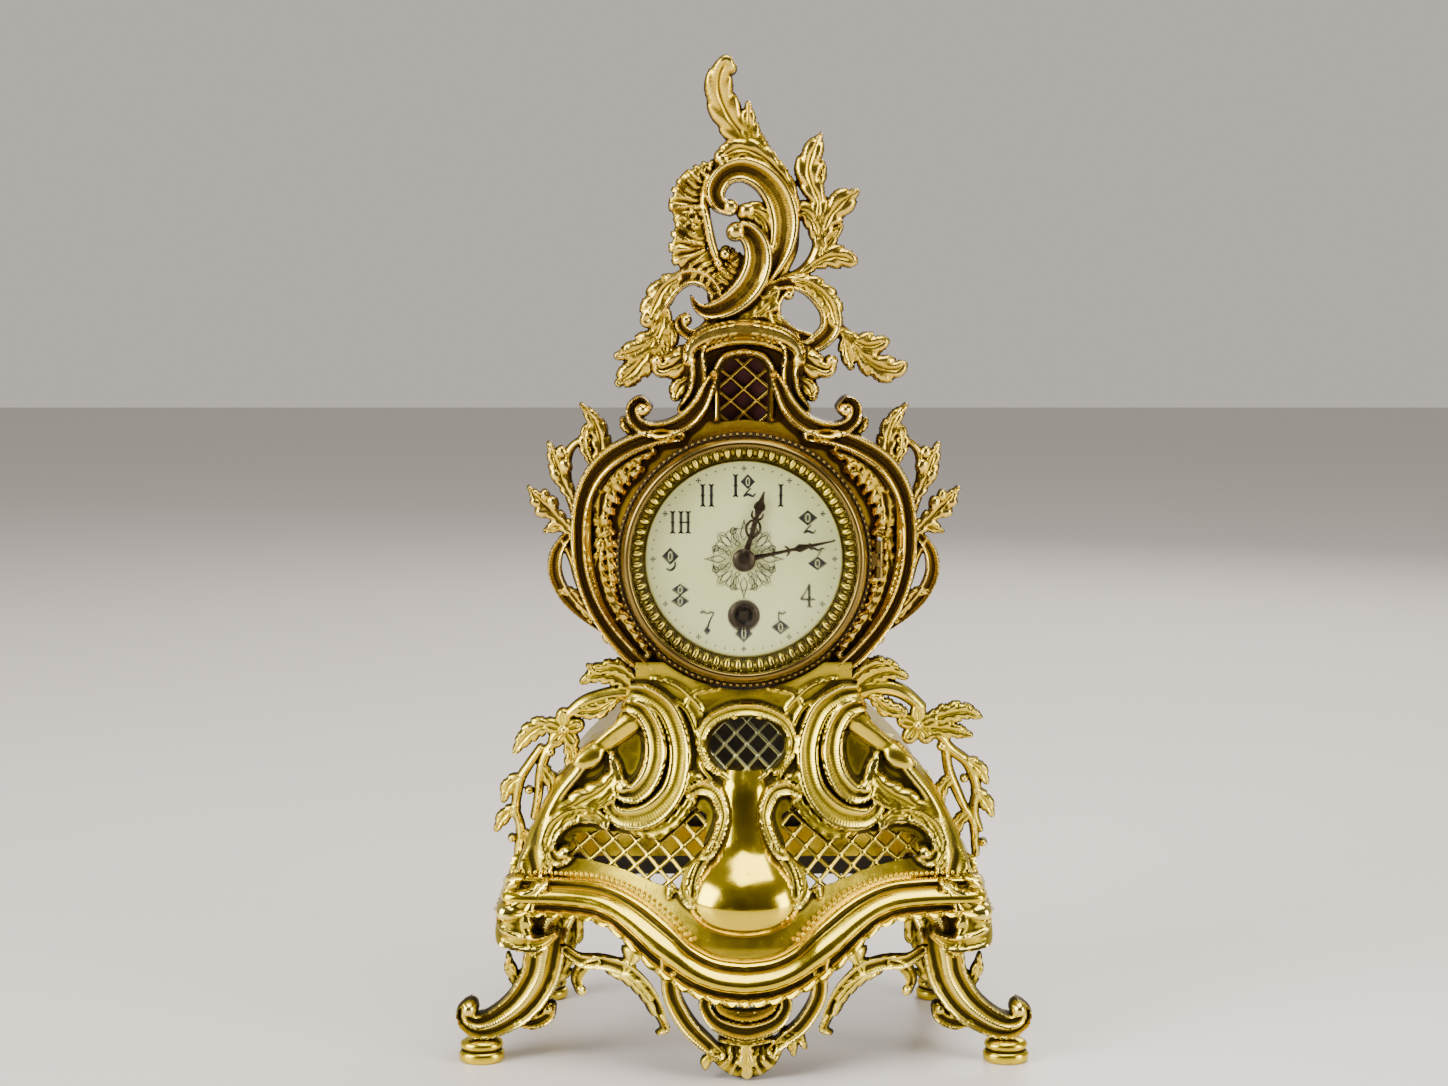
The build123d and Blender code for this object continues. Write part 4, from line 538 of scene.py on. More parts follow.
def casting(drawing, place, xs, zs, back=1.6, round_back=1.5):
    """Closed shape of a drawing laid on a surface. xs and zs are the grid lines."""
    gx, gz = np.meshgrid(xs, zs, indexing="ij")
    field = drawing.outline(gx, gz)
    middle = (field[:-1, :-1] + field[1:, :-1] + field[1:, 1:] + field[:-1, 1:]) / 4
    keep = middle < 0
    used = np.zeros(field.shape, bool)
    full = np.ones(field.shape, bool)
    for di, dj in ((0, 0), (1, 0), (1, 1), (0, 1)):
        window = (slice(di, di + keep.shape[0]), slice(dj, dj + keep.shape[1]))
        used[window] |= keep
        full[window] &= keep
    rim = used & ~full
    full[0], full[-1], full[:, 0], full[:, -1] = False, False, False, False
    slope_x = np.gradient(field, axis=0) / np.gradient(gx, axis=0)
    slope_z = np.gradient(field, axis=1) / np.gradient(gz, axis=1)
    steep = np.maximum(slope_x ** 2 + slope_z ** 2, 0.15)
    cell_x, cell_z = np.gradient(gx, axis=0), np.gradient(gz, axis=1)
    step_x = np.clip(-field * slope_x / steep, -0.62 * cell_x, 0.62 * cell_x)
    step_z = np.clip(-field * slope_z / steep, -0.62 * cell_z, 0.62 * cell_z)
    gx, gz = np.where(rim, gx + step_x, gx), np.where(rim, gz + step_z, gz)
    px, pz = gx[used], gz[used]
    height = np.zeros(field.shape)
    along, groove = np.zeros(field.shape), np.zeros(field.shape)
    height[used], along[used], groove[used] = drawing.face(px, pz)
    height = np.maximum(height, -0.3)
    cavity, ridge = wear_marks(height, used, float(np.median(cell_z)))
    depth = back * np.sqrt(np.clip(-field / round_back, 0.04, 1))
    number = np.full(field.shape, -1)
    number[used] = np.arange(len(px))
    count = len(px)
    front_points = place(px, pz, height[used])
    back_points = place(px, pz, -depth[used])
    a, b = number[:-1, :-1], number[1:, :-1]
    c, d = number[1:, 1:], number[:-1, 1:]
    quads = np.stack([a[keep], b[keep], c[keep], d[keep]], -1)
    padded = np.pad(keep, 1)
    walls = []
    for first, second, di, dj in ((b, a, 0, -1), (c, b, 1, 0), (d, c, 0, 1), (a, d, -1, 0)):
        neighbour = padded[1 + di:1 + di + keep.shape[0], 1 + dj:1 + dj + keep.shape[1]]
        edge = keep & ~neighbour
        walls.append(np.stack([first[edge], second[edge], second[edge] + count, first[edge] + count], -1))
    faces = np.vstack([quads, quads[:, ::-1] + count] + walls)
    zero = np.zeros(count)
    return Shape(
        np.vstack([front_points, back_points]), faces,
        cavity=np.concatenate([cavity[used], zero + 0.55]), ridge=np.concatenate([ridge[used], zero]),
        along=np.concatenate([along[used], zero]), groove=np.concatenate([groove[used], zero]),
    )


def lines_over(low, high, cell):
    return np.arange(low, high + cell, cell)


def mirror(lines):
    return [[(-x, z, w) for x, z, w in line] for line in lines]


def moved(lines, dx, dz):
    return [[(x + dx, z + dz, w) for x, z, w in line] for line in lines]


# %% [markdown]
# ## The gilding
#
# The castings are brass with a thin gold lacquer. Ridges are rubbed bright, hollows hold brown tarnish,
# and the skin keeps the fine unevenness of the sand it was cast in. All gilt pieces share this, so it is
# one node group: it reads the marks left on the mesh and gives a colour, a roughness and a height.

# %% Node helpers
def add_node(tree, kind, place=(0, 0), **values):
    node = tree.nodes.new(kind)
    node.location = place
    for key, value in values.items():
        setattr(node, key, value)
    return node


def maths(tree, operation, first, second=None, clamp=False):
    """A Math node; numbers go in as values and sockets as links."""
    node = add_node(tree, "ShaderNodeMath", operation=operation, use_clamp=clamp)
    for socket, value in zip(node.inputs, (first, second)):
        if value is None:
            continue
        if isinstance(value, (int, float)):
            socket.default_value = value
        else:
            tree.links.new(value, socket)
    return node.outputs[0]


def mix_colour(tree, share, first, second, blend="MIX"):
    node = add_node(tree, "ShaderNodeMix", data_type="RGBA", blend_type=blend)
    for socket, value in ((node.inputs["Factor"], share), (node.inputs[6], first), (node.inputs[7], second)):
        if isinstance(value, (int, float)):
            socket.default_value = value
        elif isinstance(value, tuple):
            socket.default_value = value
        else:
            tree.links.new(value, socket)
    return node.outputs[2]


def noise(tree, scale, detail=3.0, rough=0.55, stretch=None):
    place = add_node(tree, "ShaderNodeTexCoord").outputs["Object"]
    if stretch is not None:
        mapping = add_node(tree, "ShaderNodeMapping")
        mapping.inputs["Scale"].default_value = stretch
        tree.links.new(place, mapping.inputs["Vector"])
        place = mapping.outputs[0]
    node = add_node(tree, "ShaderNodeTexNoise")
    node.inputs["Scale"].default_value = scale
    node.inputs["Detail"].default_value = detail
    node.inputs["Roughness"].default_value = rough
    tree.links.new(place, node.inputs["Vector"])
    return node.outputs["Fac"]


def mark(tree, name):
    return add_node(tree, "ShaderNodeAttribute", attribute_name=name).outputs["Fac"]


# %% The wear group
def make_wear_group():
    group = bpy.data.node_groups.new("cast_metal_wear", "ShaderNodeTree")
    face = group.interface
    for name, kind, value in (
        ("Metal", "NodeSocketColor", (0.8, 0.6, 0.2, 1)),
        ("Second Metal", "NodeSocketColor", (0.7, 0.5, 0.1, 1)),
        ("Tarnish", "NodeSocketColor", (0.1, 0.06, 0.02, 1)), ("Worn", "NodeSocketColor", (1, 0.8, 0.4, 1)),
        ("Roughness", "NodeSocketFloat", 0.25), ("Tarnish Amount", "NodeSocketFloat", 1.0),
        ("Patches", "NodeSocketFloat", 0.5),
    ):
        face.new_socket(name, in_out="INPUT", socket_type=kind).default_value = value
    for name, kind in (("Color", "NodeSocketColor"), ("Roughness", "NodeSocketFloat"),
                       ("Height", "NodeSocketFloat")):
        face.new_socket(name, in_out="OUTPUT", socket_type=kind)
    inside, outside = add_node(group, "NodeGroupInput"), add_node(group, "NodeGroupOutput")
    given = inside.outputs
    cavity, ridge = mark(group, "cavity"), mark(group, "ridge")
    broad, middle, fine = noise(group, 45, 3), noise(group, 220, 4, 0.62), noise(group, 1500, 3)
    patch = maths(group, "MULTIPLY", maths(group, "SUBTRACT", broad, 0.42, clamp=True), 4.5, clamp=True)
    patch = maths(group, "MULTIPLY", patch, given["Patches"])
    colour = mix_colour(group, patch, given["Metal"], given["Second Metal"])
    broken = maths(group, "MULTIPLY", maths(group, "ADD", middle, 0.55), cavity)
    tarnish = maths(group, "MULTIPLY", maths(group, "MULTIPLY", broken, 1.8), given["Tarnish Amount"],
                    clamp=True)
    specks = maths(group, "MULTIPLY", maths(group, "GREATER_THAN", middle, 0.665), 0.30)
    tarnish = maths(group, "MAXIMUM", tarnish, maths(group, "MULTIPLY", specks, given["Tarnish Amount"]))
    colour = mix_colour(group, tarnish, colour, given["Tarnish"])
    colour = mix_colour(group, maths(group, "MULTIPLY", ridge, 0.55), colour, given["Worn"])
    rough = maths(group, "ADD", given["Roughness"], maths(group, "MULTIPLY", tarnish, 0.28))
    rough = maths(group, "ADD", rough, maths(group, "MULTIPLY", maths(group, "SUBTRACT", middle, 0.5), 0.22))
    rough = maths(group, "SUBTRACT", rough, maths(group, "MULTIPLY", ridge, 0.06), clamp=True)
    lines = maths(group, "SINE", maths(group, "MULTIPLY", mark(group, "along"), 2 * math.pi / 0.95))
    lines = maths(group, "MULTIPLY", maths(group, "MULTIPLY", lines, mark(group, "groove")), 0.55)
    height = maths(group, "ADD", lines, maths(group, "MULTIPLY", middle, 0.75))
    height = maths(group, "ADD", height, maths(group, "MULTIPLY", fine, 0.18))
    for name, socket in (("Color", colour), ("Roughness", rough), ("Height", height)):
        group.links.new(socket, outside.inputs[name])
    return group


wear_group = make_wear_group()


# %% Metals made with the group
def metal(name, colours, roughness, tarnish=1.0, patches=0.5, bump=0.00012, strength=0.35):
    """Metal finish. colours are the metal, a second tone, the tarnish and the worn edge."""
    material = bpy.data.materials.new(name)
    material.use_nodes = True
    tree = material.node_tree
    shader = tree.nodes["Principled BSDF"]
    shader.inputs["Metallic"].default_value = 1.0
    wear = add_node(tree, "ShaderNodeGroup", node_tree=wear_group)
    for socket, colour in zip(("Metal", "Second Metal", "Tarnish", "Worn"), colours):
        wear.inputs[socket].default_value = (*colour, 1)
    wear.inputs["Roughness"].default_value = roughness
    wear.inputs["Tarnish Amount"].default_value = tarnish
    wear.inputs["Patches"].default_value = patches
    relief = add_bump(tree, bump, strength)
    tree.links.new(wear.outputs["Height"], relief.inputs["Height"])
    tree.links.new(wear.outputs["Color"], shader.inputs["Base Color"])
    tree.links.new(wear.outputs["Roughness"], shader.inputs["Roughness"])
    tree.links.new(relief.outputs["Normal"], shader.inputs["Normal"])
    return material


def add_bump(tree, distance, strength):
    bump = add_node(tree, "ShaderNodeBump")
    bump.inputs["Distance"].default_value = distance
    bump.inputs["Strength"].default_value = strength
    return bump


LEMON = ((0.80, 0.60, 0.030), (0.56, 0.46, 0.04), (0.050, 0.036, 0.006), (1.0, 0.88, 0.30))
WARM = ((0.82, 0.56, 0.035), (0.60, 0.40, 0.04), (0.055, 0.030, 0.007), (1.0, 0.84, 0.30))
gilt_base = metal("gilt_base", LEMON, 0.24, patches=0.45)
gilt_crest = metal("gilt_crest", WARM, 0.25, tarnish=1.1, patches=0.6)
gilt_drum = metal("gilt_drum", WARM, 0.25, tarnish=1.35, patches=0.6)
gilt_polished = metal("gilt_polished", LEMON, 0.15, tarnish=0.6, patches=0.35, strength=0.15)
toned_brass = metal("toned_brass", ((0.22, 0.15, 0.035), (0.15, 0.10, 0.03), (0.03, 0.02, 0.01),
                                    (0.7, 0.5, 0.2)),
                    0.24, patches=0.7, strength=0.15)
stamped_gilt = metal("stamped_gilt", ((0.86, 0.68, 0.06), (0.66, 0.52, 0.05), (0.10, 0.08, 0.01),
                                      (1.0, 0.9, 0.4)),
                     0.22, tarnish=1.2, strength=0.2)
dark_lattice = metal("dark_lattice", ((0.34, 0.33, 0.13), (0.22, 0.23, 0.10), (0.03, 0.03, 0.015),
                                      (0.6, 0.56, 0.3)),
                     0.3, patches=0.8)
dark_hands = metal("dark_hands", ((0.050, 0.038, 0.024), (0.035, 0.028, 0.02), (0.010, 0.008, 0.006),
                                  (0.16, 0.12, 0.06)),
                   0.34, patches=0.5, strength=0.2)
plate_brass = metal("plate_brass", ((0.80, 0.58, 0.24), (0.72, 0.50, 0.18), (0.1, 0.07, 0.03),
                                    (0.95, 0.8, 0.45)),
                    0.28, patches=0.4, strength=0.25)
drum_brass = metal("drum_brass", ((0.52, 0.36, 0.11), (0.40, 0.27, 0.08), (0.06, 0.04, 0.015),
                                  (0.8, 0.6, 0.3)),
                   0.33, patches=0.7, strength=0.3)
steel = metal("cut_steel", ((0.50, 0.50, 0.52), (0.40, 0.39, 0.40), (0.08, 0.07, 0.06), (0.75, 0.75, 0.77)),
              0.30, patches=0.5, strength=0.25)


# %% [markdown]
# ## Enamel, glass, silk and painted sheet
#
# The dial is enamel on copper: nearly white, a little green, with a wet gloss over a faint cloudiness.
# The glass is clear and thin, and the silk behind the neck is a dark red plain weave. The back plate is
# matt black paint over sheet. Its black also stands in for the shade inside the base that shows
# through the lattices, so it is partly painted shade.

# %% Other finishes
def plain_material(name):
    material = bpy.data.materials.new(name)
    material.use_nodes = True
    return material, material.node_tree, material.node_tree.nodes["Principled BSDF"]


def two_tone(tree, shader, first, second, scale, socket="Base Color"):
    share = maths(tree, "MULTIPLY", maths(tree, "SUBTRACT", noise(tree, scale), 0.35, clamp=True), 3.0,
                  clamp=True)
    tree.links.new(mix_colour(tree, share, (*first, 1), (*second, 1)), shader.inputs[socket])


def make_enamel():
    material, tree, shader = plain_material("enamel")
    two_tone(tree, shader, (0.74, 0.80, 0.38), (0.68, 0.76, 0.32), 60)
    rough = maths(tree, "ADD", 0.06, maths(tree, "MULTIPLY", noise(tree, 300), 0.07))
    tree.links.new(rough, shader.inputs["Roughness"])
    shader.inputs["Coat Weight"].default_value = 0.6
    shader.inputs["Coat Roughness"].default_value = 0.04
    shader.inputs["Subsurface Weight"].default_value = 0.0
    return material


def make_print(name, colour):
    material, tree, shader = plain_material(name)
    two_tone(tree, shader, colour, tuple(c * 1.5 for c in colour), 900)
    shader.inputs["Roughness"].default_value = 0.35
    return material


def make_glass():
    material, tree, shader = plain_material("clear_glass")
    shader.inputs["Transmission Weight"].default_value = 1.0
    shader.inputs["IOR"].default_value = 1.45
    rough = maths(tree, "MULTIPLY", noise(tree, 90), 0.02)
    tree.links.new(rough, shader.inputs["Roughness"])
    shader.inputs["Base Color"].default_value = (0.985, 0.99, 0.98, 1)
    shader.inputs["Alpha"].default_value = 0.16
    return material


def make_silk():
    material, tree, shader = plain_material("red_silk")
    two_tone(tree, shader, (0.11, 0.008, 0.006), (0.045, 0.004, 0.004), 420)
    wave = add_node(tree, "ShaderNodeTexWave")
    wave.inputs["Scale"].default_value = 900.0
    tree.links.new(add_node(tree, "ShaderNodeTexCoord").outputs["Object"], wave.inputs["Vector"])
    bump = add_bump(tree, 0.0001, 0.5)
    tree.links.new(wave.outputs["Fac"], bump.inputs["Height"])
    tree.links.new(bump.outputs["Normal"], shader.inputs["Normal"])
    shader.inputs["Roughness"].default_value = 0.6
    shader.inputs["Sheen Weight"].default_value = 0.4
    return material


def make_black_sheet():
    material, tree, shader = plain_material("shade_black_sheet")
    # The black is the plate's paint and also stands in for the shade inside the base seen through the
    # lattices: painted shade.
    two_tone(tree, shader, (0.018, 0.014, 0.011), (0.035, 0.026, 0.018), 120)
    bump = add_bump(tree, 0.0002, 0.4)
    tree.links.new(noise(tree, 700), bump.inputs["Height"])
    tree.links.new(bump.outputs["Normal"], shader.inputs["Normal"])
    shader.inputs["Roughness"].default_value = 0.55
    return material


enamel, clear_glass, red_silk, shade_black_sheet = make_enamel(), make_glass(), make_silk(), make_black_sheet()
print_black = make_print("dial_print", (0.010, 0.010, 0.012))
print_brown = make_print("rosette_print", (0.050, 0.042, 0.024))
print(len(bpy.data.materials), "finishes")


# %% [markdown]
# ## The base: a bombe body
#
# The base swells forward in the middle and narrows as it climbs to the drum. Its front is one thin shell
# pierced by three lattice windows. The shell is drawn flat, as if unrolled, and then laid over the swollen
# surface: in the middle the drawing is the front view, and past the corners it runs on along the sides.

# %% Surface of the base
LEVELS = np.array([24, 44, 64, 80, 95, 106, 116, 124.0])
HALF = np.array([76, 76, 74, 68, 60, 49, 38.5, 36.5])
CORNER = np.array([34, 33.5, 30.5, 27, 24, 22, 21, 20.5])
BOW = np.array([20, 19.5, 16, 11, 7, 3.5, 1.5, 0.8])
REAR = 42.0


def soft_table(z, values):
    """Value at a height, with the corners between the levels rounded a little."""
    return (np.interp(z - 3, LEVELS, values) + np.interp(z, LEVELS, values) + np.interp(z + 3, LEVELS,
        values)) / 3


def base_front(x, z):
    """y of the front of the base in front view."""
    half, corner, bow = soft_table(z, HALF), soft_table(z, CORNER), soft_table(z, BOW)
    u = np.clip(np.abs(x) / half, 0, 1)
    return DEPTH - corner - bow * ((1 + np.cos(math.pi * u)) / 2) ** 1.15


def on_base(x, z, out, grow=0.0):
    """Point on the base for a place in the unrolled drawing, moved outward."""
    half, corner = soft_table(z, HALF) + grow, soft_table(z, CORNER) + grow * 0.9
    past = np.abs(x) - half
    u = np.clip(np.abs(x) / half, 0, 1)
    front_y = -corner - soft_table(z,
                                   BOW) * ((1 + np.cos(math.pi * u)) / 2) ** 1.15 - (0.1 * grow if grow else 0)
    turn = smooth(-5.0, 5.0, past)
    side_y = np.minimum(-corner + np.maximum(past, 0), REAR)
    y = np.where(past > 0, side_y, front_y)
    sign = np.sign(x)
    px = np.where(past > 0, sign * half, x)
    nx, ny = sign * np.sin(turn * math.pi / 2), -np.cos(turn * math.pi / 2)
    return np.stack([px + nx * out, y + ny * out + DEPTH, z], -1)


print("front of the base at the middle of the foot:",
      round(float(base_front(np.array(0.0), np.array(44.0))), 1))

# %% Strokes of the base
PANEL = [(-59.5, 70), (-57.5, 76.5), (-48, 78), (-37.5, 77), (-30, 76), (-22.5, 80.5), (-16.5, 87),
         (-12.5, 84.5), (-12.5, 79), (-14, 73.5), (-19.5, 68.5), (-21.5, 61.5), (-29, 62.5), (-40, 66),
         (-50.5, 68), (-56, 68.5)]
OVAL = (1.0, 106.0, 12.5, 9.3)
base_scrolls = [
    Stroke("scroll", [(-40, 119, 3), (-35.5, 118.5, 6), (-31, 112, 7), (-29.5, 104, 7.4), (-31.5, 96, 7.4),
                      (-36.5, 90.5, 6.6), (-41, 90.5, 5), (-42, 93, 3.5)], 2.6, lift=1.2, pitch=3),
    Stroke("ball", [(-40.7, 92.4, 4.6), (-40.6, 92.4, 4.6)], 2.6, lift=1.8),
    Stroke("scroll", [(-38, 124, 4), (-33, 123, 6.5), (-25.5, 117, 7.4), (-21.5, 105, 7.6), (-23.5, 92.5, 8),
                      (-31, 84.3, 8.6), (-40.5, 82.3, 7), (-45, 85.5, 5), (-44.5, 89, 3.5)], 2.4, lift=0.7),
    Stroke("stem", [(-27, 122, 1.5), (-19.5, 117.5, 2.2), (-15.5, 108, 2.4), (-14.5, 100, 2.2),
                    (-11, 95.5, 1.6)], 1.3),
    Stroke("stem", [(-31, 128, 1.2), (-23, 126, 2.0), (-15.5, 119.5, 2.0), (-14, 116, 1.2)], 1.1),
    Stroke("stem", [(-9, 125, 1.0), (-17, 123, 1.8), (-20.5, 117.5, 1.6)], 0.9),
    Stroke("leaf", [(-39, 112, 3), (-42.5, 116.5, 5.5), (-41.5, 121, 5), (-38, 122.5, 2)], 2.2, lift=1.0,
           pitch=2.4,
           notch=0.2),
    Stroke("leaf", [(-44, 86, 3), (-38, 80.5, 5), (-31, 78.6, 6), (-24, 81.5, 5.5), (-18.5, 88, 4),
                    (-15.5, 92.5, 3)],
           1.7, lift=0.4, pitch=2.6, notch=0.3),
    Stroke("stem", [(-38, 114, 9), (-44, 110, 9.5), (-52.5, 104, 9)], 3.4, lift=-0.4),
    Stroke("stem", [(-50.5, 106.5, 3), (-52.5, 103.5, 10.5), (-54.5, 100, 3)], 2.9, lift=1.6),
    Stroke("scroll", [(-50, 105.5, 4), (-57, 99.5, 8.5), (-63.5, 91.5, 9), (-68, 82, 8), (-70.5, 71, 7),
                      (-70, 64, 6)],
           2.8, lift=0.3),
    Stroke("leaf", [(-45, 103, 2), (-43.5, 96.5, 5), (-48, 91, 8), (-56, 86.5, 8.5), (-63, 80.5, 7),
                    (-66.5, 72, 5),
                    (-65.5, 65, 3)], 3.0, lift=1.0, pitch=4.2, notch=0.16),
    Stroke("leaf", [(-44.5, 101, 2), (-42.5, 94, 4.6), (-46.5, 88, 4.2), (-52, 85.4, 2)], 2.2, lift=1.6,
           pitch=2.6,
           notch=0.2),
    Stroke("scroll", [(-46, 80.5, 2.5), (-51, 83, 5), (-58, 82.6, 6), (-63.5, 78.5, 5.5), (-65.5, 72.5, 4.5),
                      (-62.5, 68, 4), (-59, 69.5, 3.4)], 2.4, lift=1.2),
    Stroke("ball", [(-60.3, 70.6, 4.4), (-60.2, 70.6, 4.4)], 2.4, lift=1.6),
    Stroke("leaf", [(-46, 79, 2), (-49.5, 82.6, 5), (-54.5, 82.2, 4.5)], 2.4, lift=1.6, pitch=2.2,
           notch=0.25),
    Stroke("scroll", [(-18.5, 91, 2.5), (-14.5, 93, 4.4), (-9.5, 91.5, 5), (-6.8, 84.5, 4.4), (-9.8, 76, 4),
                      (-14, 70.5, 4), (-16.4, 65, 3.8), (-16.6, 59, 3.6), (-14, 54.5, 3)], 2.2, lift=0.9),
    Stroke("leaf", [(-17, 89.5, 2), (-19.5, 92.8, 4.5), (-18, 96, 3.5), (-14.5, 96, 2)], 1.8, lift=0.9,
           pitch=2,
           notch=0.2),
    Stroke("scroll", [(-9.8, 76, 2.2), (-11.5, 73, 3.2), (-15.5, 72.4, 3.4), (-19, 68.5, 4), (-20.4, 62, 4),
                      (-17.5, 57.5, 3.4), (-15, 59.5, 2.8)], 2.0, lift=1.3),
    Stroke("leaf", [(-20, 63, 2), (-23.5, 62.5, 4), (-25, 59, 2)], 1.4, lift=0.5, pitch=1.8, notch=0.2),
    Stroke("stem", [(-8.5, 98.5, 2), (-4.5, 95.5, 2.4), (0, 94.6, 2.4), (4.5, 95.5, 2.4), (8.5, 98.5, 2)],
           1.4, lift=0.2),
    Stroke("leaf", [(-73.5, 78, 3), (-76, 70, 8), (-77, 62, 10), (-77.5, 55, 9)], 3.4, lift=0.6, pitch=3.2,
           notch=0.25),
    Stroke("leaf", [(-73, 88, 3), (-79, 80, 9), (-84, 71, 9), (-86.5, 62, 6)], 2.6, lift=0.2, pitch=3.4,
           notch=0.25),
    Stroke("scroll", [(-113, 62, 4), (-102, 64.5, 6), (-93, 71, 6.5), (-90, 80, 6), (-95.5, 87.5, 5.5),
                      (-103.5, 85.5, 4.5), (-104, 79.5, 3.6)], 2.2, lift=0.5),
    Stroke("leaf", [(-95, 86, 3), (-88, 92, 6), (-80, 97, 6), (-73, 104, 3)], 2.0, lift=0.3, pitch=3.2,
           notch=0.25),
    Stroke("leaf", [(-113, 63, 3), (-124, 66, 8), (-133, 73, 8), (-140, 82, 3)], 2.2, lift=0.3, pitch=3.6,
           notch=0.25),
]


def both_sides(strokes):
    """The strokes together with their mirror images."""
    twins = []
    for stroke in strokes:
        twin = Stroke.__new__(Stroke)
        twin.__dict__.update(stroke.__dict__)
        twin.line = stroke.line * (-1, 1, 1)
        twin.low, twin.high = twin.line[:, :2].min(0) - stroke.reach, twin.line[:, :2].max(0) + stroke.reach
        twins.append(twin)
    return strokes + twins


oval_frame = [
    Stroke("scroll", [(-8.5, 97.5, 2), (-12.5, 101, 3), (-14.6, 107.5, 3.6), (-11.5, 113.8, 4),
                      (-5, 117.2, 4.4),
                      (1, 118, 4.6), (7, 117.2, 4.4), (13.5, 113.8, 4), (16.6, 107.5, 3.6), (14.5, 101, 3),
                      (10.5, 97.5, 2)], 1.8, lift=0.5),
    Stroke("stem", [(-4, 115, 1), (1, 113.8, 2), (6, 115, 1)], 1.2, lift=0.3),
]
BAND_TOP = [(0, 40.5), (9, 41.5), (17, 45), (25, 51.5), (35, 58), (46, 62), (58, 63), (90, 63)]
BAND_LOW = [(0, 27), (10, 28), (20, 31), (30, 36.5), (38, 43.5), (46, 49), (58, 51), (90, 51)]


def edge_line(points, x):
    """Height of a plinth edge at a place across the front, as a smooth line."""
    line = curve_through([(px, pz, 1) for px, pz in points])
    return np.interp(np.abs(x), line[:, 0], line[:, 1])


# %% The shell
def base_outline(x, z):
    """Inside of the shell: above the plinth edge, under the drum and in front of the rear edge."""
    drum = 44.3 - np.hypot(x, z - DIAL_Z)
    top = z - np.where(np.abs(x) < 37.5, 133.5, 124.5)
    low = edge_line(BAND_TOP, np.minimum(np.abs(x), 89)) - 1.2 - z
    reach = np.abs(x) - (soft_table(z, HALF) + soft_table(z, CORNER) + REAR - 0.4)
    return np.maximum(np.maximum(drum, low), np.maximum(top, reach))


def mirrored_outline(points):
    return [(-x, z) for x, z in reversed(points)]


base_drawing = Drawing(
    both_sides(base_scrolls) + oval_frame, plates=[(base_outline, 0.05)],
    openings=[polygon_field(PANEL), polygon_field(mirrored_outline(PANEL)), ellipse_field(*OVAL)])


class Trimmed(Drawing):
    """A drawing that is cut off where another field is above zero."""

    def __init__(self, drawing, cut):
        self.__dict__.update(drawing.__dict__)
        self.cut = cut

    def outline(self, x, z):
        return np.maximum(Drawing.outline(self, x, z), self.cut(x, z))


front_lines = lines_over(0, 80, 0.58)
side_lines = np.arange(81.0, 154.0, 1.5)
half_lines = np.concatenate([front_lines, side_lines])
all_lines = np.concatenate([-half_lines[:0:-1], half_lines])
shell = casting(Trimmed(base_drawing, lambda x, z: np.maximum(43.6 - np.hypot(x, z - DIAL_Z), 39.4 - z)),
                on_base, all_lines, lines_over(39.0, 134.5, 0.58), back=2.2)
print("shell quads", len(shell.faces[0]))


# %% [markdown]
# ## The bulb
#
# A polished pear hangs in the middle of the base, from the oval down into the plinth. It is a separate
# round form: ellipses of the right width, stacked along a line that leans forward.

# %% Bulb
def make_bulb():
    levels = curve_through([(42, -40.5, 2.5), (43.5, -41, 7), (47, -41.5, 10.5), (52, -42, 13),
                            (58, -41.5, 14),
                            (64, -39.5, 13), (69, -37.5, 10.6), (74, -35.5, 8), (80, -33.5, 6.6),
                            (87, -31.2, 5.9),
                            (93, -29.2, 5.8), (98.5, -27, 4.6)], 5)
    around = np.linspace(0, 2 * math.pi, 72, endpoint=False)
    z, y, r = levels.T
    points = np.stack([r[:, None] * 1.42 * np.cos(around),
                       y[:, None] + DEPTH + r[:, None] * 0.95 * np.sin(around),
                       np.repeat(z[:, None], 72, 1)], -1)
    n = len(levels)
    i, k = np.arange(n - 1)[:, None], np.arange(72)[None, :]
    nxt = (k + 1) % 72
    faces = np.stack([i * 72 + k, i * 72 + nxt, (i + 1) * 72 + nxt, (i + 1) * 72 + k], -1).reshape(-1, 4)
    ends = [np.arange(72)[None, ::-1], ((n - 1) * 72 + np.arange(72))[None, :]]
    return Shape(points.reshape(-1, 3), [faces] + ends)


bulb = make_bulb()
build("base_shell_gilt", shell, gilt_base, ["base_shell"])
build("base_bulb", bulb, gilt_polished, body="case")


# %% [markdown]
# ## Lattice windows
#
# Each window of the base is closed from behind by a cast lattice: two sets of round-topped bars that
# cross at a slant. The bars are strokes like any others, so they melt together at each crossing.

# %% Lattices
def bars(middle, pitch, width, slopes, half_width, half_height, height):
    """Two families of straight bars that fill a box."""
    strokes = []
    across = math.hypot(half_width, half_height)
    count = int(across / pitch) + 1
    for slope in slopes:
        a = math.radians(slope)
        along, aside = np.array((math.cos(a), math.sin(a))), np.array((-math.sin(a), math.cos(a)))
        for n in range(-count, count + 1):
            ends = [np.array(middle) + aside * n * pitch + along * s for s in (-across, 0, across)]
            strokes.append(Stroke("stem", [(*end, width) for end in ends], height))
    return strokes


def lattice(name, node, border, middle, size, pitch, width, slopes, place, material, cell=0.3):
    drawing = Drawing(bars(middle, pitch, width, slopes, *size, 0.9), soft=0.25)
    cut = Trimmed(drawing, border)
    shape = casting(cut, place, lines_over(middle[0] - size[0], middle[0] + size[0], cell),
                    lines_over(middle[1] - size[1], middle[1] + size[1], cell), back=0.9, round_back=0.6)
    return build(name, shape, material, [node])


def behind_front(distance):
    return lambda x, z, out: np.stack([x, base_front(x, z) + distance - out, z], -1)


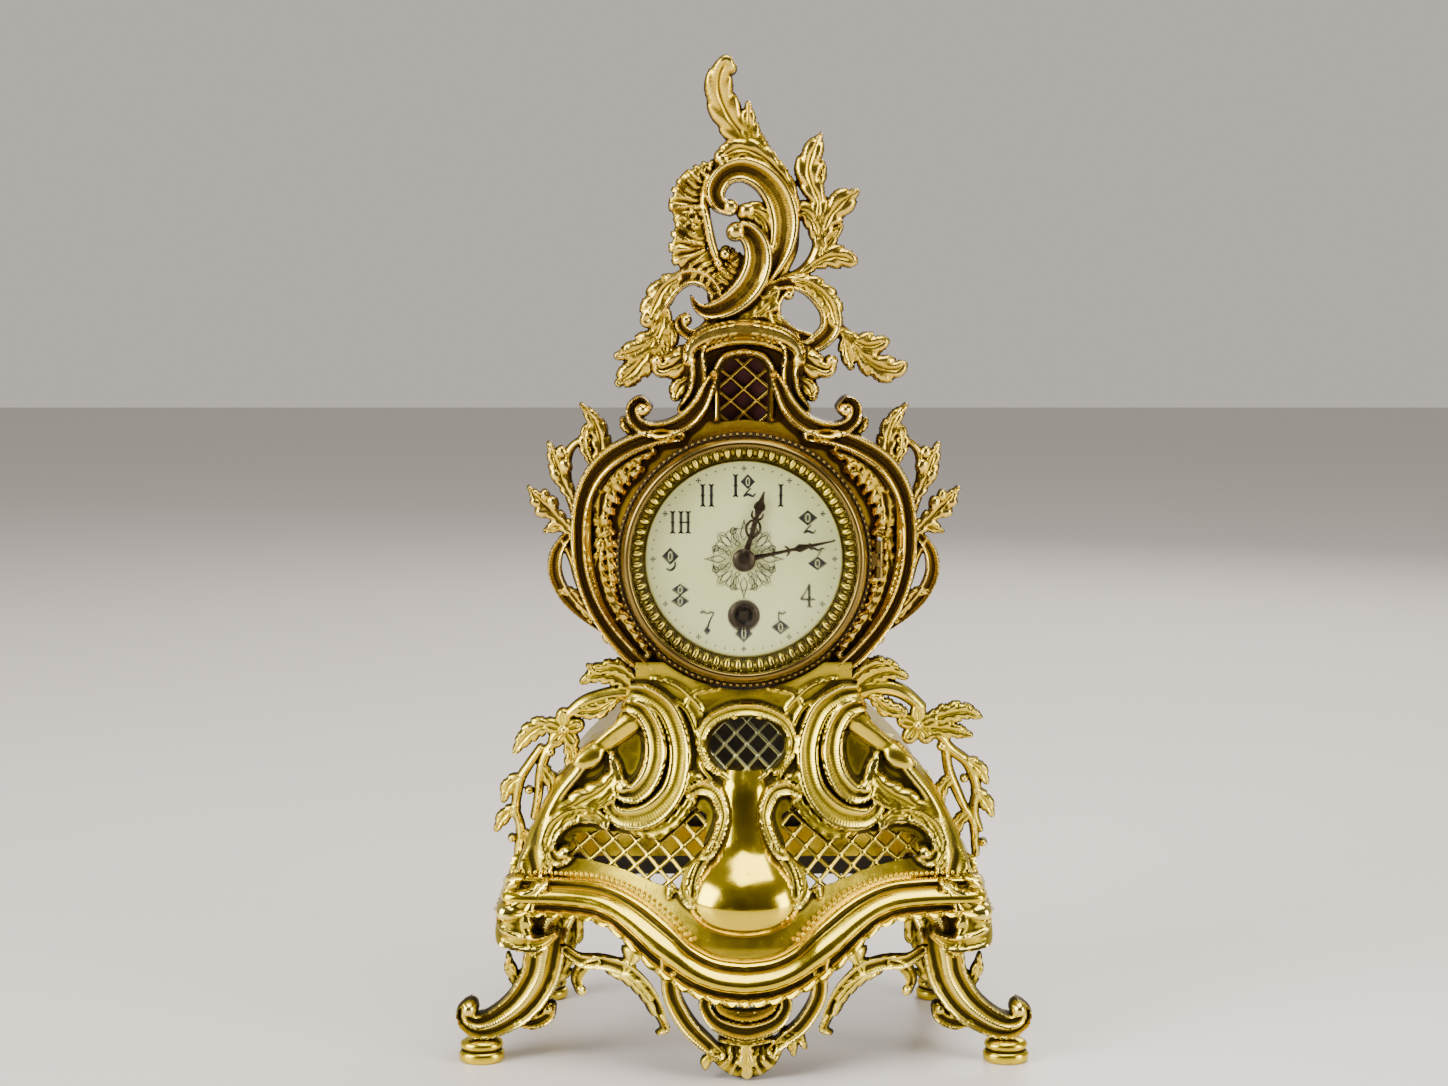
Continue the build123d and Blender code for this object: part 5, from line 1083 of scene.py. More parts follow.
for side, node in ((-1, "left_grille"), (1, "right_grille")):
    outline = PANEL if side < 0 else mirrored_outline(PANEL)
    border = polygon_field(outline)
    lattice(node + "_bars", node, lambda x, z: border(x, z) - 1.8, (side * 36.0, 74.5), (27, 16), 5.35, 1.45,
            (41 * -side, -46 * -side), behind_front(2.6), gilt_base)
oval_border = ellipse_field(*OVAL)
lattice("oval_grille_bars", "oval_grille", lambda x, z: oval_border(x, z) - 1.5, OVAL[:2], (15, 12), 5.3,
        1.25,
        (45, -45), behind_front(2.8), dark_lattice, cell=0.26)


# %% [markdown]
# ## The plinth band
#
# A polished cove runs round the foot of the base. Its upper edge carries a row of small beads, its lower
# edge a row of slanting gadroons, and both edges dip in the middle, where the base swells most. The band
# is a section carried along the front: the same few points of a moulding at every place, moved with the edges.

# %% Section of the band
BAND_SECTION = [  # share of the height from the top, distance out of the base
    (-0.04, -2.0), (0.0, 1.2), (0.03, 2.6), (0.08, 3.3), (0.13, 2.8), (0.17, 1.7), (0.22, 1.7), (0.26, 2.4),
    (0.34, 4.4), (0.45, 5.9), (0.56, 6.3), (0.66, 5.7), (0.74, 4.3), (0.78, 3.4), (0.81, 3.5), (0.84, 5.2),
    (0.88, 6.6), (0.93, 7.0), (0.98, 6.2), (1.02, 4.2), (1.04, 1.5), (1.02, -2.0),
]
GADROON = 5.4


def band_points(places, section, gadroons=True):
    """Points of the moulding at places across the unrolled front."""
    share, out = np.array(section).T
    top, low = edge_line(BAND_TOP, places), edge_line(BAND_LOW, places)
    x = np.repeat(places[:, None], len(share), 1)
    z = top[:, None] + (low - top)[:, None] * share[None, :]
    depth = np.repeat(out[None, :], len(places), 0)
    if gadroons:
        lean = np.clip((share - 0.82) / 0.2, 0, 1)
        swell = np.clip(1 - np.abs(share - 0.93) / 0.12, 0, 1) ** 0.5
        run = np.abs(places)[:, None] - 2.6 * lean[None, :]
        lobe = np.abs(np.sin(math.pi * run / GADROON)) ** 0.7
        depth = depth + swell[None, :] * (1.9 * lobe - 1.0)
        z = z - swell[None, :] * 0.9 * (lobe - 0.4)
    flat = on_base(x.ravel(), np.maximum(z.ravel(), 24), depth.ravel(), grow=1.2)
    flat[:, 2] = z.ravel()
    return flat.reshape(len(places), len(share), 3)


def ribbon(points, cavity=None):
    """Closed strip from rows of points: sections run across, places run along."""
    n, m = points.shape[:2]
    i, j = np.arange(n - 1)[:, None], np.arange(m)[None, :]
    nxt = (j + 1) % m
    faces = np.stack([i * m + j, i * m + nxt, (i + 1) * m + nxt, (i + 1) * m + j], -1).reshape(-1, 4)
    ends = [np.arange(m)[None, ::-1], ((n - 1) * m + np.arange(m))[None, :]]
    shape = Shape(points.reshape(-1, 3), [faces] + ends)
    if cavity is not None:
        shape.marks["cavity"] = np.tile(cavity, n)
    return shape


side_reach = float(soft_table(np.array(57.0), HALF) + soft_table(np.array(57.0), CORNER) + REAR)
band_places = np.concatenate([np.arange(-side_reach, -80, 1.2), np.arange(-80, 80.1, 0.45),
                              np.arange(81.2, side_reach, 1.2)])
band_cavity = np.array([0.9 if 0.14 < s < 0.24 or 0.76 < s < 0.83 else 0.0 for s, out in BAND_SECTION])
band = ribbon(band_points(band_places, BAND_SECTION), band_cavity)


# %% Bead row on the band
def base_beads(places, share, out, radius, stretch=(1, 1, 1)):
    """Small balls at even steps along the band."""
    rows = band_points(np.asarray(places, float), [(share, out)], gadroons=False)[:, 0]
    return [bead(place, radius, stretch) for place in rows]


bead_places = np.concatenate([-np.arange(17.5, 76, 1.75)[::-1], np.arange(17.5, 76, 1.75)])
band_beads = base_beads(bead_places, -0.10, 1.2, 0.78)

# %% Corner leaves and rear band
corner_strokes = [
    Stroke("leaf", [(-66, 62, 3), (-71, 57, 7), (-74, 50, 8), (-73, 43, 7), (-70, 38, 3)], 3.2, lift=3.4,
           pitch=3.2, notch=0.28),
    Stroke("leaf", [(-74, 63, 3), (-79, 58, 8), (-83, 51, 9), (-83, 44, 7), (-80, 40, 3)], 3.4, lift=3.0,
           pitch=3.2, notch=0.28),
    Stroke("scroll", [(-63, 45, 3), (-68, 42, 5.5), (-75, 42.5, 6), (-80, 47, 5)], 2.6, lift=4.2),
    Stroke("leaf", [(-86, 66, 3), (-90, 60, 7), (-92, 53, 7), (-90, 47, 3)], 2.6, lift=2.6, pitch=3,
           notch=0.28),
    Stroke("ball", [(-76.5, 52, 6), (-76.6, 52, 6)], 3.0, lift=5.0),
]
corner = casting(Drawing(corner_strokes), lambda x, z,
                 out: on_base(x, np.maximum(z, 24), out, grow=1.2) * (1, 1, 0)
                 + np.stack([0 * x, 0 * x, z], -1), lines_over(-96, -58, 0.5), lines_over(34, 70, 0.5),
                 back=1.5)
rear_points = np.array([(x, y, z) for x in np.linspace(-76, 76, 9) for y, z in
                        ((REAR - 2.6, 51.5), (REAR - 2.6, 62.5), (REAR - 0.5, 63), (REAR - 0.1, 60),
                         (REAR - 0.1, 54), (REAR - 0.5, 51))])
rear_band = ribbon((rear_points + (0, DEPTH, 0)).reshape(9, 6, 3))
plinth_shape = join([band, corner, corner.mirrored(), rear_band] + band_beads)
build("plinth_band_gilt", plinth_shape, gilt_polished, ["plinth_band"])


# %% [markdown]
# ## Feet
#
# Each front foot is a splayed scroll: a broad channelled leg that leaves the corner, curls out at the toe
# and stands on an oval pad. It is cast in the round, so the drawing is given a second face at the back.

# %% A casting with two faces
def two_faced(drawing, front_y, thickness, xs, zs, bend=None):
    """The relief on the front and its mirror image on the back, welded at the outline."""
    middle = front_y + thickness / 2
    front = casting(drawing, on_plane(middle, bend), xs, zs, back=0.4)
    rear = front.moved(lambda p: p.copy())
    ground = 0.0 if bend is None else bend(rear.points[:, 0], rear.points[:, 2])
    rear.points[:, 1] = 2 * middle + 2 * ground - rear.points[:, 1]
    rear.faces = [group[:, ::-1] for group in rear.faces]
    return join([front, rear])


def pad(x, y, radius_x, radius_y):
    """Oval pad with a quirk: a stack of ellipses from the table upward."""
    levels = [(0.0, 0.93), (0.7, 1.0), (2.6, 1.02), (3.4, 0.94), (3.7, 0.84), (4.3, 0.84), (4.7, 0.93),
              (5.6, 0.97),
              (6.6, 0.90), (7.4, 0.70)]
    around = np.linspace(0, 2 * math.pi, 48, endpoint=False)
    rows = np.array([[(x + radius_x * s * math.cos(a), y + radius_y * s * math.sin(a), z) for a in around]
                     for z, s in levels])
    shape = ribbon(rows)
    shape.marks["cavity"] = np.repeat([1.0 if s < 0.9 and z < 6 else 0.0 for z, s in levels], 48)
    return shape


# %% Feet
foot_drawing = Drawing([
    Stroke("double", [(-63.5, 51, 15), (-66, 46, 16), (-67, 37, 14.5), (-69, 28, 13.5), (-74.5, 19.6, 12.5),
                      (-82, 14, 10.5), (-88.5, 12, 8.6), (-93, 13.8, 6.4), (-94.2, 17.4, 5),
                      (-91.8, 19.8, 4)], 4.0, lift=0.7),
    Stroke("ball", [(-92.3, 18.4, 6), (-92.2, 18.4, 6)], 4.6, lift=1.2),
    Stroke("leaf", [(-72, 22, 4), (-75.5, 26.5, 5.5), (-78.5, 31, 4.5), (-79.3, 36.5, 1.5)], 2.6, pitch=3,
           notch=0.22),
    Stroke("leaf", [(-66, 24, 4), (-62.5, 29, 7), (-60.3, 35, 7.5), (-60, 42, 6), (-61.5, 49, 4)], 3.0,
           lift=0.4, pitch=3.2, notch=0.3),
    Stroke("scroll", [(-76, 13, 3), (-71, 12.5, 5), (-66.5, 14.5, 5), (-65, 18, 3.6)], 2.6, lift=0.4),
    Stroke("ball", [(-66.3, 17, 4), (-66.2, 17, 4)], 2.8, lift=0.6),
    Stroke("leaf", [(-60, 51, 4), (-57, 47, 7), (-56.5, 42, 5), (-58.5, 38.5, 2)], 2.6, pitch=2.6,
           notch=0.25),
])
front_low = corners("front_left_foot")[0]
foot_front = front_low[1] + 2.0
foot_shape = two_faced(foot_drawing, foot_front + 0.8, 8.2, lines_over(-99, -54, 0.5), lines_over(7, 51, 0.5),
                       bend=lambda x, z: -0.10 * np.clip(-x - 66, 0, 40))
pad_shape = pad(-88.5, foot_front + 2.4, 7.6, 6.2)
front_foot = join([foot_shape, pad_shape])
build("front_left_foot_gilt", front_foot, gilt_base, ["front_left_foot"])
build("front_right_foot_gilt", front_foot.mirrored(), gilt_base, ["front_right_foot"])

rear_high = corners("rear_left_foot")[1]
rear_drawing = Drawing([
    Stroke("double", [(-64, 50, 12), (-65, 42, 11), (-66, 30, 9.5), (-69, 17, 8.5), (-73, 9, 7.5)], 3.4,
           lift=0.6),
    Stroke("leaf", [(-68, 29, 4), (-73, 32, 5.5), (-77.5, 37.5, 1.6)], 2.4, pitch=2.8, notch=0.22),
])
rear_shape = two_faced(rear_drawing, rear_high[1] - 9.4, 8.2, lines_over(-84, -54, 0.6),
                       lines_over(5, 51, 0.6))
rear_foot = join([rear_shape, pad(-72.0, rear_high[1] - 6.3, 7.6, 6.2)])
build("rear_left_foot_gilt", rear_foot, gilt_base, ["rear_left_foot"])
build("rear_right_foot_gilt", rear_foot.mirrored(), gilt_base, ["rear_right_foot"])

# %% [markdown]
# ## Apron and brackets
#
# Under the dip of the plinth hangs an openwork apron: two side scrolls, a double crescent between them
# and a shell at the lowest point. Two scrolled brackets with acanthus leaves tie it back to the feet.

# %% Apron
apron_front = corners("front_apron")[0][1]
apron_drawing = Drawing([
    Stroke("scroll", [(-25.5, 41, 5), (-24.6, 35, 6), (-23.4, 27, 6.4), (-18.5, 18, 6.4), (-12, 11.5, 5.6),
                      (-8, 8.5, 4)], 3.0, lift=0.4),
    Stroke("scroll", [(25.5, 41, 5), (24.8, 35, 5.4), (24, 27, 5.6), (19, 18.5, 5.6), (13, 13.5, 5),
                      (9, 10, 4)], 3.0, lift=0.4),
    Stroke("scroll", [(-10.5, 31, 3.4), (-12.5, 28, 4), (-12.6, 24, 4.6), (-8.5, 18.8, 5.6),
                      (0.5, 16.2, 6.4), (9.5, 18.8, 5.6),
                      (13.4, 24, 4.6), (13, 28.5, 4), (10.5, 30, 3)], 3.4, lift=0.9),
    Stroke("scroll", [(-9.8, 27.8, 1.6), (-7, 23.6, 3), (0.6, 21.6, 3.8), (8, 23.6, 3), (11, 28, 1.6)], 2.4,
           lift=1.6),
    Stroke("stem", [(-8, 13.6, 1.6), (0.5, 12.2, 2.2), (9, 13.6, 1.6)], 1.6, lift=2.4),
    Stroke("shell", [(-9.5, 9.5, 4), (-5, 7.4, 10), (0.5, 6.2, 12.4), (6, 7.4, 10), (11, 10.5, 4)], 3.2,
           lift=0.6, pitch=2.7),
    Stroke("leaf", [(0.5, 12, 3), (0.6, 7.5, 6), (0.8, 2.4, 4)], 2.2, lift=2.4, pitch=2.4, notch=0.25),
    Stroke("leaf", [(-9, 9, 3), (-12.4, 6.2, 4), (-12.8, 3.6, 1.8)], 2.2, lift=0.8, pitch=2.2, notch=0.2),
    Stroke("leaf", [(11, 12, 3), (15, 12.2, 4.5), (16.2, 8.4, 2)], 2.2, lift=0.8, pitch=2.2, notch=0.2),
    Stroke("leaf", [(13, 16, 3), (17.4, 14.4, 4.5), (20, 10.4, 1.6)], 2.2, lift=0.4, pitch=2.2, notch=0.2),
])
apron = casting(apron_drawing, on_plane(apron_front + 4.0), lines_over(-32, 32, 0.42),
                lines_over(-0.5, 41, 0.42), back=2.0)
build("front_apron_gilt", apron, gilt_base, ["front_apron"])


# %% Brackets
bracket_low, bracket_high = corners("left_apron_bracket")
foot_end = np.array([-59.0, bracket_high[1] - 3.5])
apron_end = np.array([-24.5, bracket_low[1] + 1.5])


def on_bracket(x, z, out):
    """The bracket stands in a plane that runs back from the apron to the foot."""
    share = (x - foot_end[0]) / (apron_end[0] - foot_end[0])
    y = foot_end[1] + share * (apron_end[1] - foot_end[1])
    return np.stack([x + 0.35 * out, y - 0.93 * out, z], -1)


bracket_drawing = Drawing([
    Stroke("scroll", [(-60.5, 38.5, 4), (-55, 35.6, 5), (-47, 36, 5.4), (-40, 34.5, 6), (-33.5, 29.5, 5.8),
                      (-29, 23, 4.4), (-26.5, 16.5, 2)], 2.6, lift=0.3),
    Stroke("scroll", [(-49.5, 36, 2.6), (-54, 33.5, 3.8), (-56.4, 29, 3.6), (-55.2, 25, 3)], 2.2, lift=0.5),
    Stroke("ball", [(-54.9, 25.4, 3.6), (-54.8, 25.4, 3.6)], 2.4, lift=0.6),
    Stroke("leaf", [(-45, 33, 2.5), (-38.5, 31.6, 5), (-33, 27, 4.8), (-30.4, 21, 2)], 2.4, lift=0.9,
           pitch=2.8, notch=0.25),
    Stroke("leaf", [(-40, 34, 3), (-37.5, 39.5, 6.5), (-37, 46, 6.5), (-38.5, 51, 3)], 2.6, lift=0.3,
           pitch=3, notch=0.3),
    Stroke("stem", [(-28, 20.5, 2), (-26, 16.6, 3), (-28.4, 14.6, 2)], 2.0, lift=0.2),
])
bracket = casting(bracket_drawing, on_bracket, lines_over(-62, -23, 0.42), lines_over(12, 52, 0.42), back=1.8)
build("left_bracket_gilt", bracket, gilt_base, ["left_apron_bracket"])
build("right_bracket_gilt", bracket.mirrored(), gilt_base, ["right_apron_bracket"])

# %% [markdown]
# ## The drum surround
#
# The drum is framed by a casting of its own: two broad C bands at the sides, dark hollows with acanthus
# ruffles between band and bezel, scrolls that rise at the neck, and an arched hood on top. Its openings are
# the drum itself and the window of the neck.

# %% Surround drawing
def around_dial(lines):
    return moved(lines, DIAL_X, DIAL_Z)


half_bands = [
    ("scroll", [(-22, 41.5, 4), (-30, 41, 5.5), (-39.5, 37.5, 6.4), (-48, 31.5, 6.6), (-53.5, 22.5, 6),
                (-55.6, 11.5, 5.4),
                (-55.2, -2, 5.2), (-52, -13.5, 5.2), (-46.5, -23.5, 5.4), (-39, -32.5, 5.6),
                (-33, -37.5, 4)], 3.0, 3.4, 3.2, 0),
    ("stem", [(-51, 24, 2), (-52.4, 14, 2.4), (-52.2, 0, 2.4), (-49, -13, 2.4), (-43.5, -23.5, 2.4),
              (-37, -31.5, 2)], 1.5, 3.6, 3, 0),
    ("leaf", [(-36, 30.5, 4), (-42.5, 29, 8.5), (-47, 22.5, 9), (-48.4, 14, 6), (-47.4, 8, 2)], 3.2, 1.2,
     3.0, 0.3),
    ("leaf", [(-31, 36.5, 3), (-38, 34.6, 6), (-44, 29.8, 6.4), (-48, 23.5, 4)], 2.6, 2.2, 2.6, 0.3),
    ("leaf", [(-47.5, 14, 3), (-47.6, 6, 7), (-46.8, -2, 7.5), (-45.6, -9, 5), (-44, -14, 2)], 3.0, 1.0,
     2.6, 0.35),
    ("leaf", [(-48, 6, 2), (-49.2, -3, 5), (-47.4, -12, 5.4), (-43.4, -20, 3)], 2.4, 2.0, 2.6, 0.35),
    ("leaf", [(-45.5, -12, 3), (-43.4, -19, 6.5), (-39.2, -26, 6.5), (-33.8, -32.6, 4)], 2.8, 1.4, 2.6, 0.35),
    ("scroll", [(-10, 62, 2.6), (-12.4, 57, 4.6), (-15, 51.5, 5.8), (-19.5, 46.6, 6.2), (-26, 43.6, 6),
                (-32.5, 43.8, 5.2),
                (-36.6, 46.8, 4.6), (-37.4, 51, 4), (-34.6, 53.2, 3.6), (-32.2, 51.2, 3)], 2.8, 4.0, 3, 0),
    ("ball", [(-33.9, 50.2, 4.6), (-33.8, 50.2, 4.6)], 2.8, 4.4, 3, 0),
    ("leaf", [(-24, 41, 3), (-31, 41.4, 5), (-37, 43, 5), (-40.5, 46.6, 2.4)], 2.2, 2.4, 2.4, 0.28),
    ("scroll", [(-12.6, 74, 3), (-15.8, 69, 5), (-15.2, 62, 5.4), (-16.4, 55.4, 5.2), (-20.4, 50.4, 4)],
     2.6, 2.6, 3, 0),
    ("leaf", [(-16.5, 66, 4), (-20.5, 66.6, 7.5), (-24.6, 64.4, 6), (-28.2, 63.6, 3.8), (-30, 66.4, 2.4)],
     3.0, 1.4, 3.2, 0.15),
    ("ball", [(-29.2, 66.6, 3.8), (-29.1, 66.6, 3.8)], 2.4, 2.0, 3, 0),
    ("leaf", [(-17.5, 60, 3), (-21, 58.4, 5.5), (-23, 54.6, 3)], 2.2, 1.0, 2.4, 0.2),
    ("stem", [(-9.4, 47, 1.5), (-9.4, 56, 1.9), (-9.6, 63, 2.1), (-6.4, 68, 2.2), (0, 69.6, 2.3)], 1.5, 2.2,
     3, 0),
]
surround_strokes = []
for kind, line, height, lift, pitch, notch in half_bands:
    for side_line in (line, mirror([line])[0]):
        broad = 1.4 if kind == "leaf" else 1.08
        side_line = [(x, z, broad * width) for x, z, width in side_line]
        surround_strokes.append(Stroke(kind, around_dial([side_line])[0], height + 1.2, lift=lift + 2.2,
                                       pitch=pitch, notch=notch))
hood_lines = around_dial([
    [(-19, 66.5, 3.4), (-17.4, 71.4, 5), (-11, 75.2, 6.6), (0, 77, 7), (11, 75.2, 6.6), (17.4, 71.4, 5),
     (19, 66.5, 3.4)],
    [(-15, 67.4, 2), (-12, 70.6, 2.8), (-6, 72.6, 3.2), (0, 73.2, 3.4), (6, 72.6, 3.2), (12, 70.6, 2.8),
     (15, 67.4, 2)],
])
surround_strokes.append(Stroke("rail", hood_lines[0], 3.6, lift=5.6))
surround_strokes.append(Stroke("stem", hood_lines[1], 2.4, lift=4.2))
surround_strokes.append(Stroke("ball", around_dial([[(-18.3, 66.6, 4.4), (-18.2, 66.6, 4.4)]])[0], 2.8,
                               lift=6.0))
surround_strokes.append(Stroke("ball", around_dial([[(18.3, 66.6, 4.4), (18.2, 66.6, 4.4)]])[0], 2.8,
                               lift=6.0))


def ring_field(x, z):
    """The flat ground round the drum."""
    return np.hypot(x - DIAL_X, z - DIAL_Z) - 50.0


neck_ground = polygon_field([(DIAL_X + x, DIAL_Z + z) for x, z in (
    (-22, 38), (-17, 47), (-14, 56), (-13.5, 66), (-15, 73), (15, 73), (13.5, 66), (14, 56), (17, 47),
    (22, 38))])
neck_window = polygon_field([(DIAL_X + x, DIAL_Z + z) for x, z in (
    (-7.7, 45.8), (-8.2, 54), (-7.7, 63), (-4.6, 66.6), (0, 67.8), (4.6, 66.6), (7.7, 63), (8.2, 54),
    (7.7, 45.8), (0, 46.6))])


def drum_hole(x, z):
    return np.hypot(x - DIAL_X, z - DIAL_Z) - (BEZEL_R - 1.0)


surround_ground = corners("drum_surround")[1][1] - 2.0
surround_drawing = Drawing(surround_strokes, plates=[(ring_field, 3.1), (neck_ground, 3.3)],
                           openings=[drum_hole, neck_window])
base_cut = Trimmed(surround_drawing, lambda x, z: np.minimum(36 - np.abs(x), 131.0 - z))
surround = casting(base_cut, on_plane(surround_ground, lambda x, z: 0.0 * x), lines_over(-62, 62, 0.46),
                   lines_over(130, 249, 0.46), back=2.2)
build("drum_surround_gilt", surround, gilt_drum, ["drum_surround"])

# %% [markdown]
# ## Neck lattice and silk
#
# A finer lattice closes the window of the neck, and a scrap of dark red silk is stretched behind it, so
# that the hollow of the neck can't be seen into.

# %% Neck
neck_back = corners("neck_lattice")[1][1]
lattice("neck_lattice_bars", "neck_lattice", lambda x, z: neck_window(x, z) - 1.2, (DIAL_X, DIAL_Z + 56.8),
        (10, 13),
        5.9, 1.3, (41.6, -41.6), on_plane(neck_back - 0.9), gilt_drum, cell=0.22)


def make_silk_sheet():
    low, high = corners("neck_silk")
    xs, zs = np.linspace(low[0] + 0.3, high[0] - 0.3, 24), np.linspace(low[2] + 0.3, high[2] - 0.3, 34)
    gx, gz = np.meshgrid(xs, zs, indexing="ij")
    inside = neck_window(gx, gz) < 1.3
    sag = 0.35 * np.cos(gx * 0.35) * np.cos((gz - DIAL_Z) * 0.24)
    y = high[1] + 0.2 + sag * 0.4
    number = np.arange(gx.size).reshape(gx.shape)
    keep = inside[:-1, :-1] & inside[1:, :-1] & inside[1:, 1:] & inside[:-1, 1:]
    a, b, c, d = number[:-1, :-1], number[1:, :-1], number[1:, 1:], number[:-1, 1:]
    faces = np.stack([a[keep], b[keep], c[keep], d[keep]], -1)
    used, renumbered = np.unique(faces, return_inverse=True)
    points = np.stack([gx.ravel(), y.ravel(), gz.ravel()], -1)[used]
    return Shape(points, renumbered.reshape(faces.shape)), (xs[-1] - xs[0], zs[-1] - zs[0])


silk_shape, silk_cut = make_silk_sheet()
silk = build("neck_silk_cloth", silk_shape, red_silk, ["neck_silk"])

# %% [markdown]
# ## Wings
#
# On each side of the drum stands a spray of thin leaves and loops, screwed on from behind. It is drawn as
# leaves that overlap stems, and bends back a little at its outer edge.

# %% Wings
wing_lines = [
    ("stem", [(-47, 36, 3), (-51.5, 27, 4), (-55, 17, 4), (-57, 8, 4), (-56.8, -3, 4), (-54, -12, 4),
              (-49.5, -20, 3)], 2.4, 0, 3, 0),
    ("leaf", [(-50, 26, 3), (-48.6, 33, 5), (-48.4, 39.5, 6), (-50.4, 46, 5), (-54.8, 51.6, 1.6)], 2.8, 0.6,
     3.4, 0.18),
    ("leaf", [(-51, 31, 2), (-53.6, 37, 3.6), (-53.4, 42.4, 3.4), (-51.4, 46, 1.4)], 2.0, 1.2, 2.4, 0.2),
    ("stem", [(-48.5, 39, 2), (-54, 40, 2.2), (-58.8, 36.5, 2.6), (-60.2, 30, 2.8), (-59.4, 22.5, 3),
              (-56.5, 14, 3.6)], 2.0, 0.3, 3, 0),
    ("leaf", [(-57, 17, 2.6), (-59.4, 22, 4), (-62, 27, 5), (-63.8, 32.5, 5), (-66, 38.5, 1.6)], 2.4, 0.6,
     2.8, 0.22),
    ("ball", [(-60.2, 30.5, 3.6), (-60.6, 31.5, 3.6)], 2.2, 0.9, 3, 0),
    ("ball", [(-63.6, 27.4, 3.4), (-64, 28.2, 3.4)], 2.2, 0.9, 3, 0),
    ("ball", [(-61.6, 35.2, 3.2), (-61.8, 36.2, 3.0)], 2.0, 0.9, 3, 0),
    ("leaf", [(-56, 6, 3), (-61, 11, 4.4), (-65, 14.8, 5), (-69, 18.6, 4.6), (-73, 23.4, 1.6)], 2.4, 0.6,
     2.6, 0.22),
    ("ball", [(-64.8, 17.8, 3.4), (-65, 19, 3.2)], 2.2, 0.9, 3, 0),
    ("ball", [(-68.4, 15, 3.4), (-69.4, 15.2, 3.2)], 2.2, 0.9, 3, 0),
    ("ball", [(-67.4, 20.6, 3.0), (-67.6, 21.6, 2.6)], 2.0, 0.9, 3, 0),
    ("ball", [(-70.4, 18.2, 3.0), (-71.4, 18.6, 2.6)], 2.0, 0.9, 3, 0),
    ("leaf", [(-59.6, 10, 2.6), (-63.6, 10.4, 4.2), (-67.6, 8.6, 1.6)], 2.0, 0.4, 2.2, 0.2),
    ("scroll", [(-57.5, 9, 2.6), (-61, 5.8, 3), (-64, 0.5, 4), (-64.2, -6.5, 4.2), (-60.5, -14, 4),
                (-54.5, -20, 3.4), (-46.5, -26, 2.4)], 2.2, 0.3, 3, 0),
    ("stem", [(-62, 6, 1.8), (-58.6, -1, 2.4), (-55.4, -10, 2.4), (-53.6, -15, 2)], 1.8, 0.2, 3, 0),
    ("leaf", [(-62.5, -12, 2), (-58.5, -12.6, 3.4), (-55.4, -17, 3.2), (-52, -22, 1.6)], 2.0, 0.7, 2.4, 0.2),
    ("ball", [(-46.6, -27.6, 3.2), (-46.4, -28.4, 3)], 2.0, 0.2, 3, 0),
]
wing_drawing = Drawing([Stroke(kind, [(DIAL_X + x, DIAL_Z + z, 1.2 * w) for x, z, w in line], height,
                               lift=lift, pitch=pitch, notch=notch)
                        for kind, line, height, lift, pitch, notch in wing_lines], soft=0.5)
wing_high = corners("left_wing")[1]
wing = casting(wing_drawing, on_plane(wing_high[1] - 3.4, lambda x, z: 0.10 * np.clip(np.abs(x) - 55, 0, 30)),
               lines_over(-76, -42, 0.36), lines_over(138, 222, 0.36), back=1.9, round_back=1.2)
build("left_wing_gilt", wing, gilt_drum, ["left_wing"])
build("right_wing_gilt", wing.mirrored(), gilt_drum, ["right_wing"])

# %% [markdown]
# ## The crest
#
# The crest is the freest piece of the clock: it isn't symmetrical. A large C scroll and an S scroll lean on
# each other, a ruffled shell stands at the left, a leafy branch at the right, and a long leaf curls up and
# forward at the top. Two leafy arms hang down beside the hood.

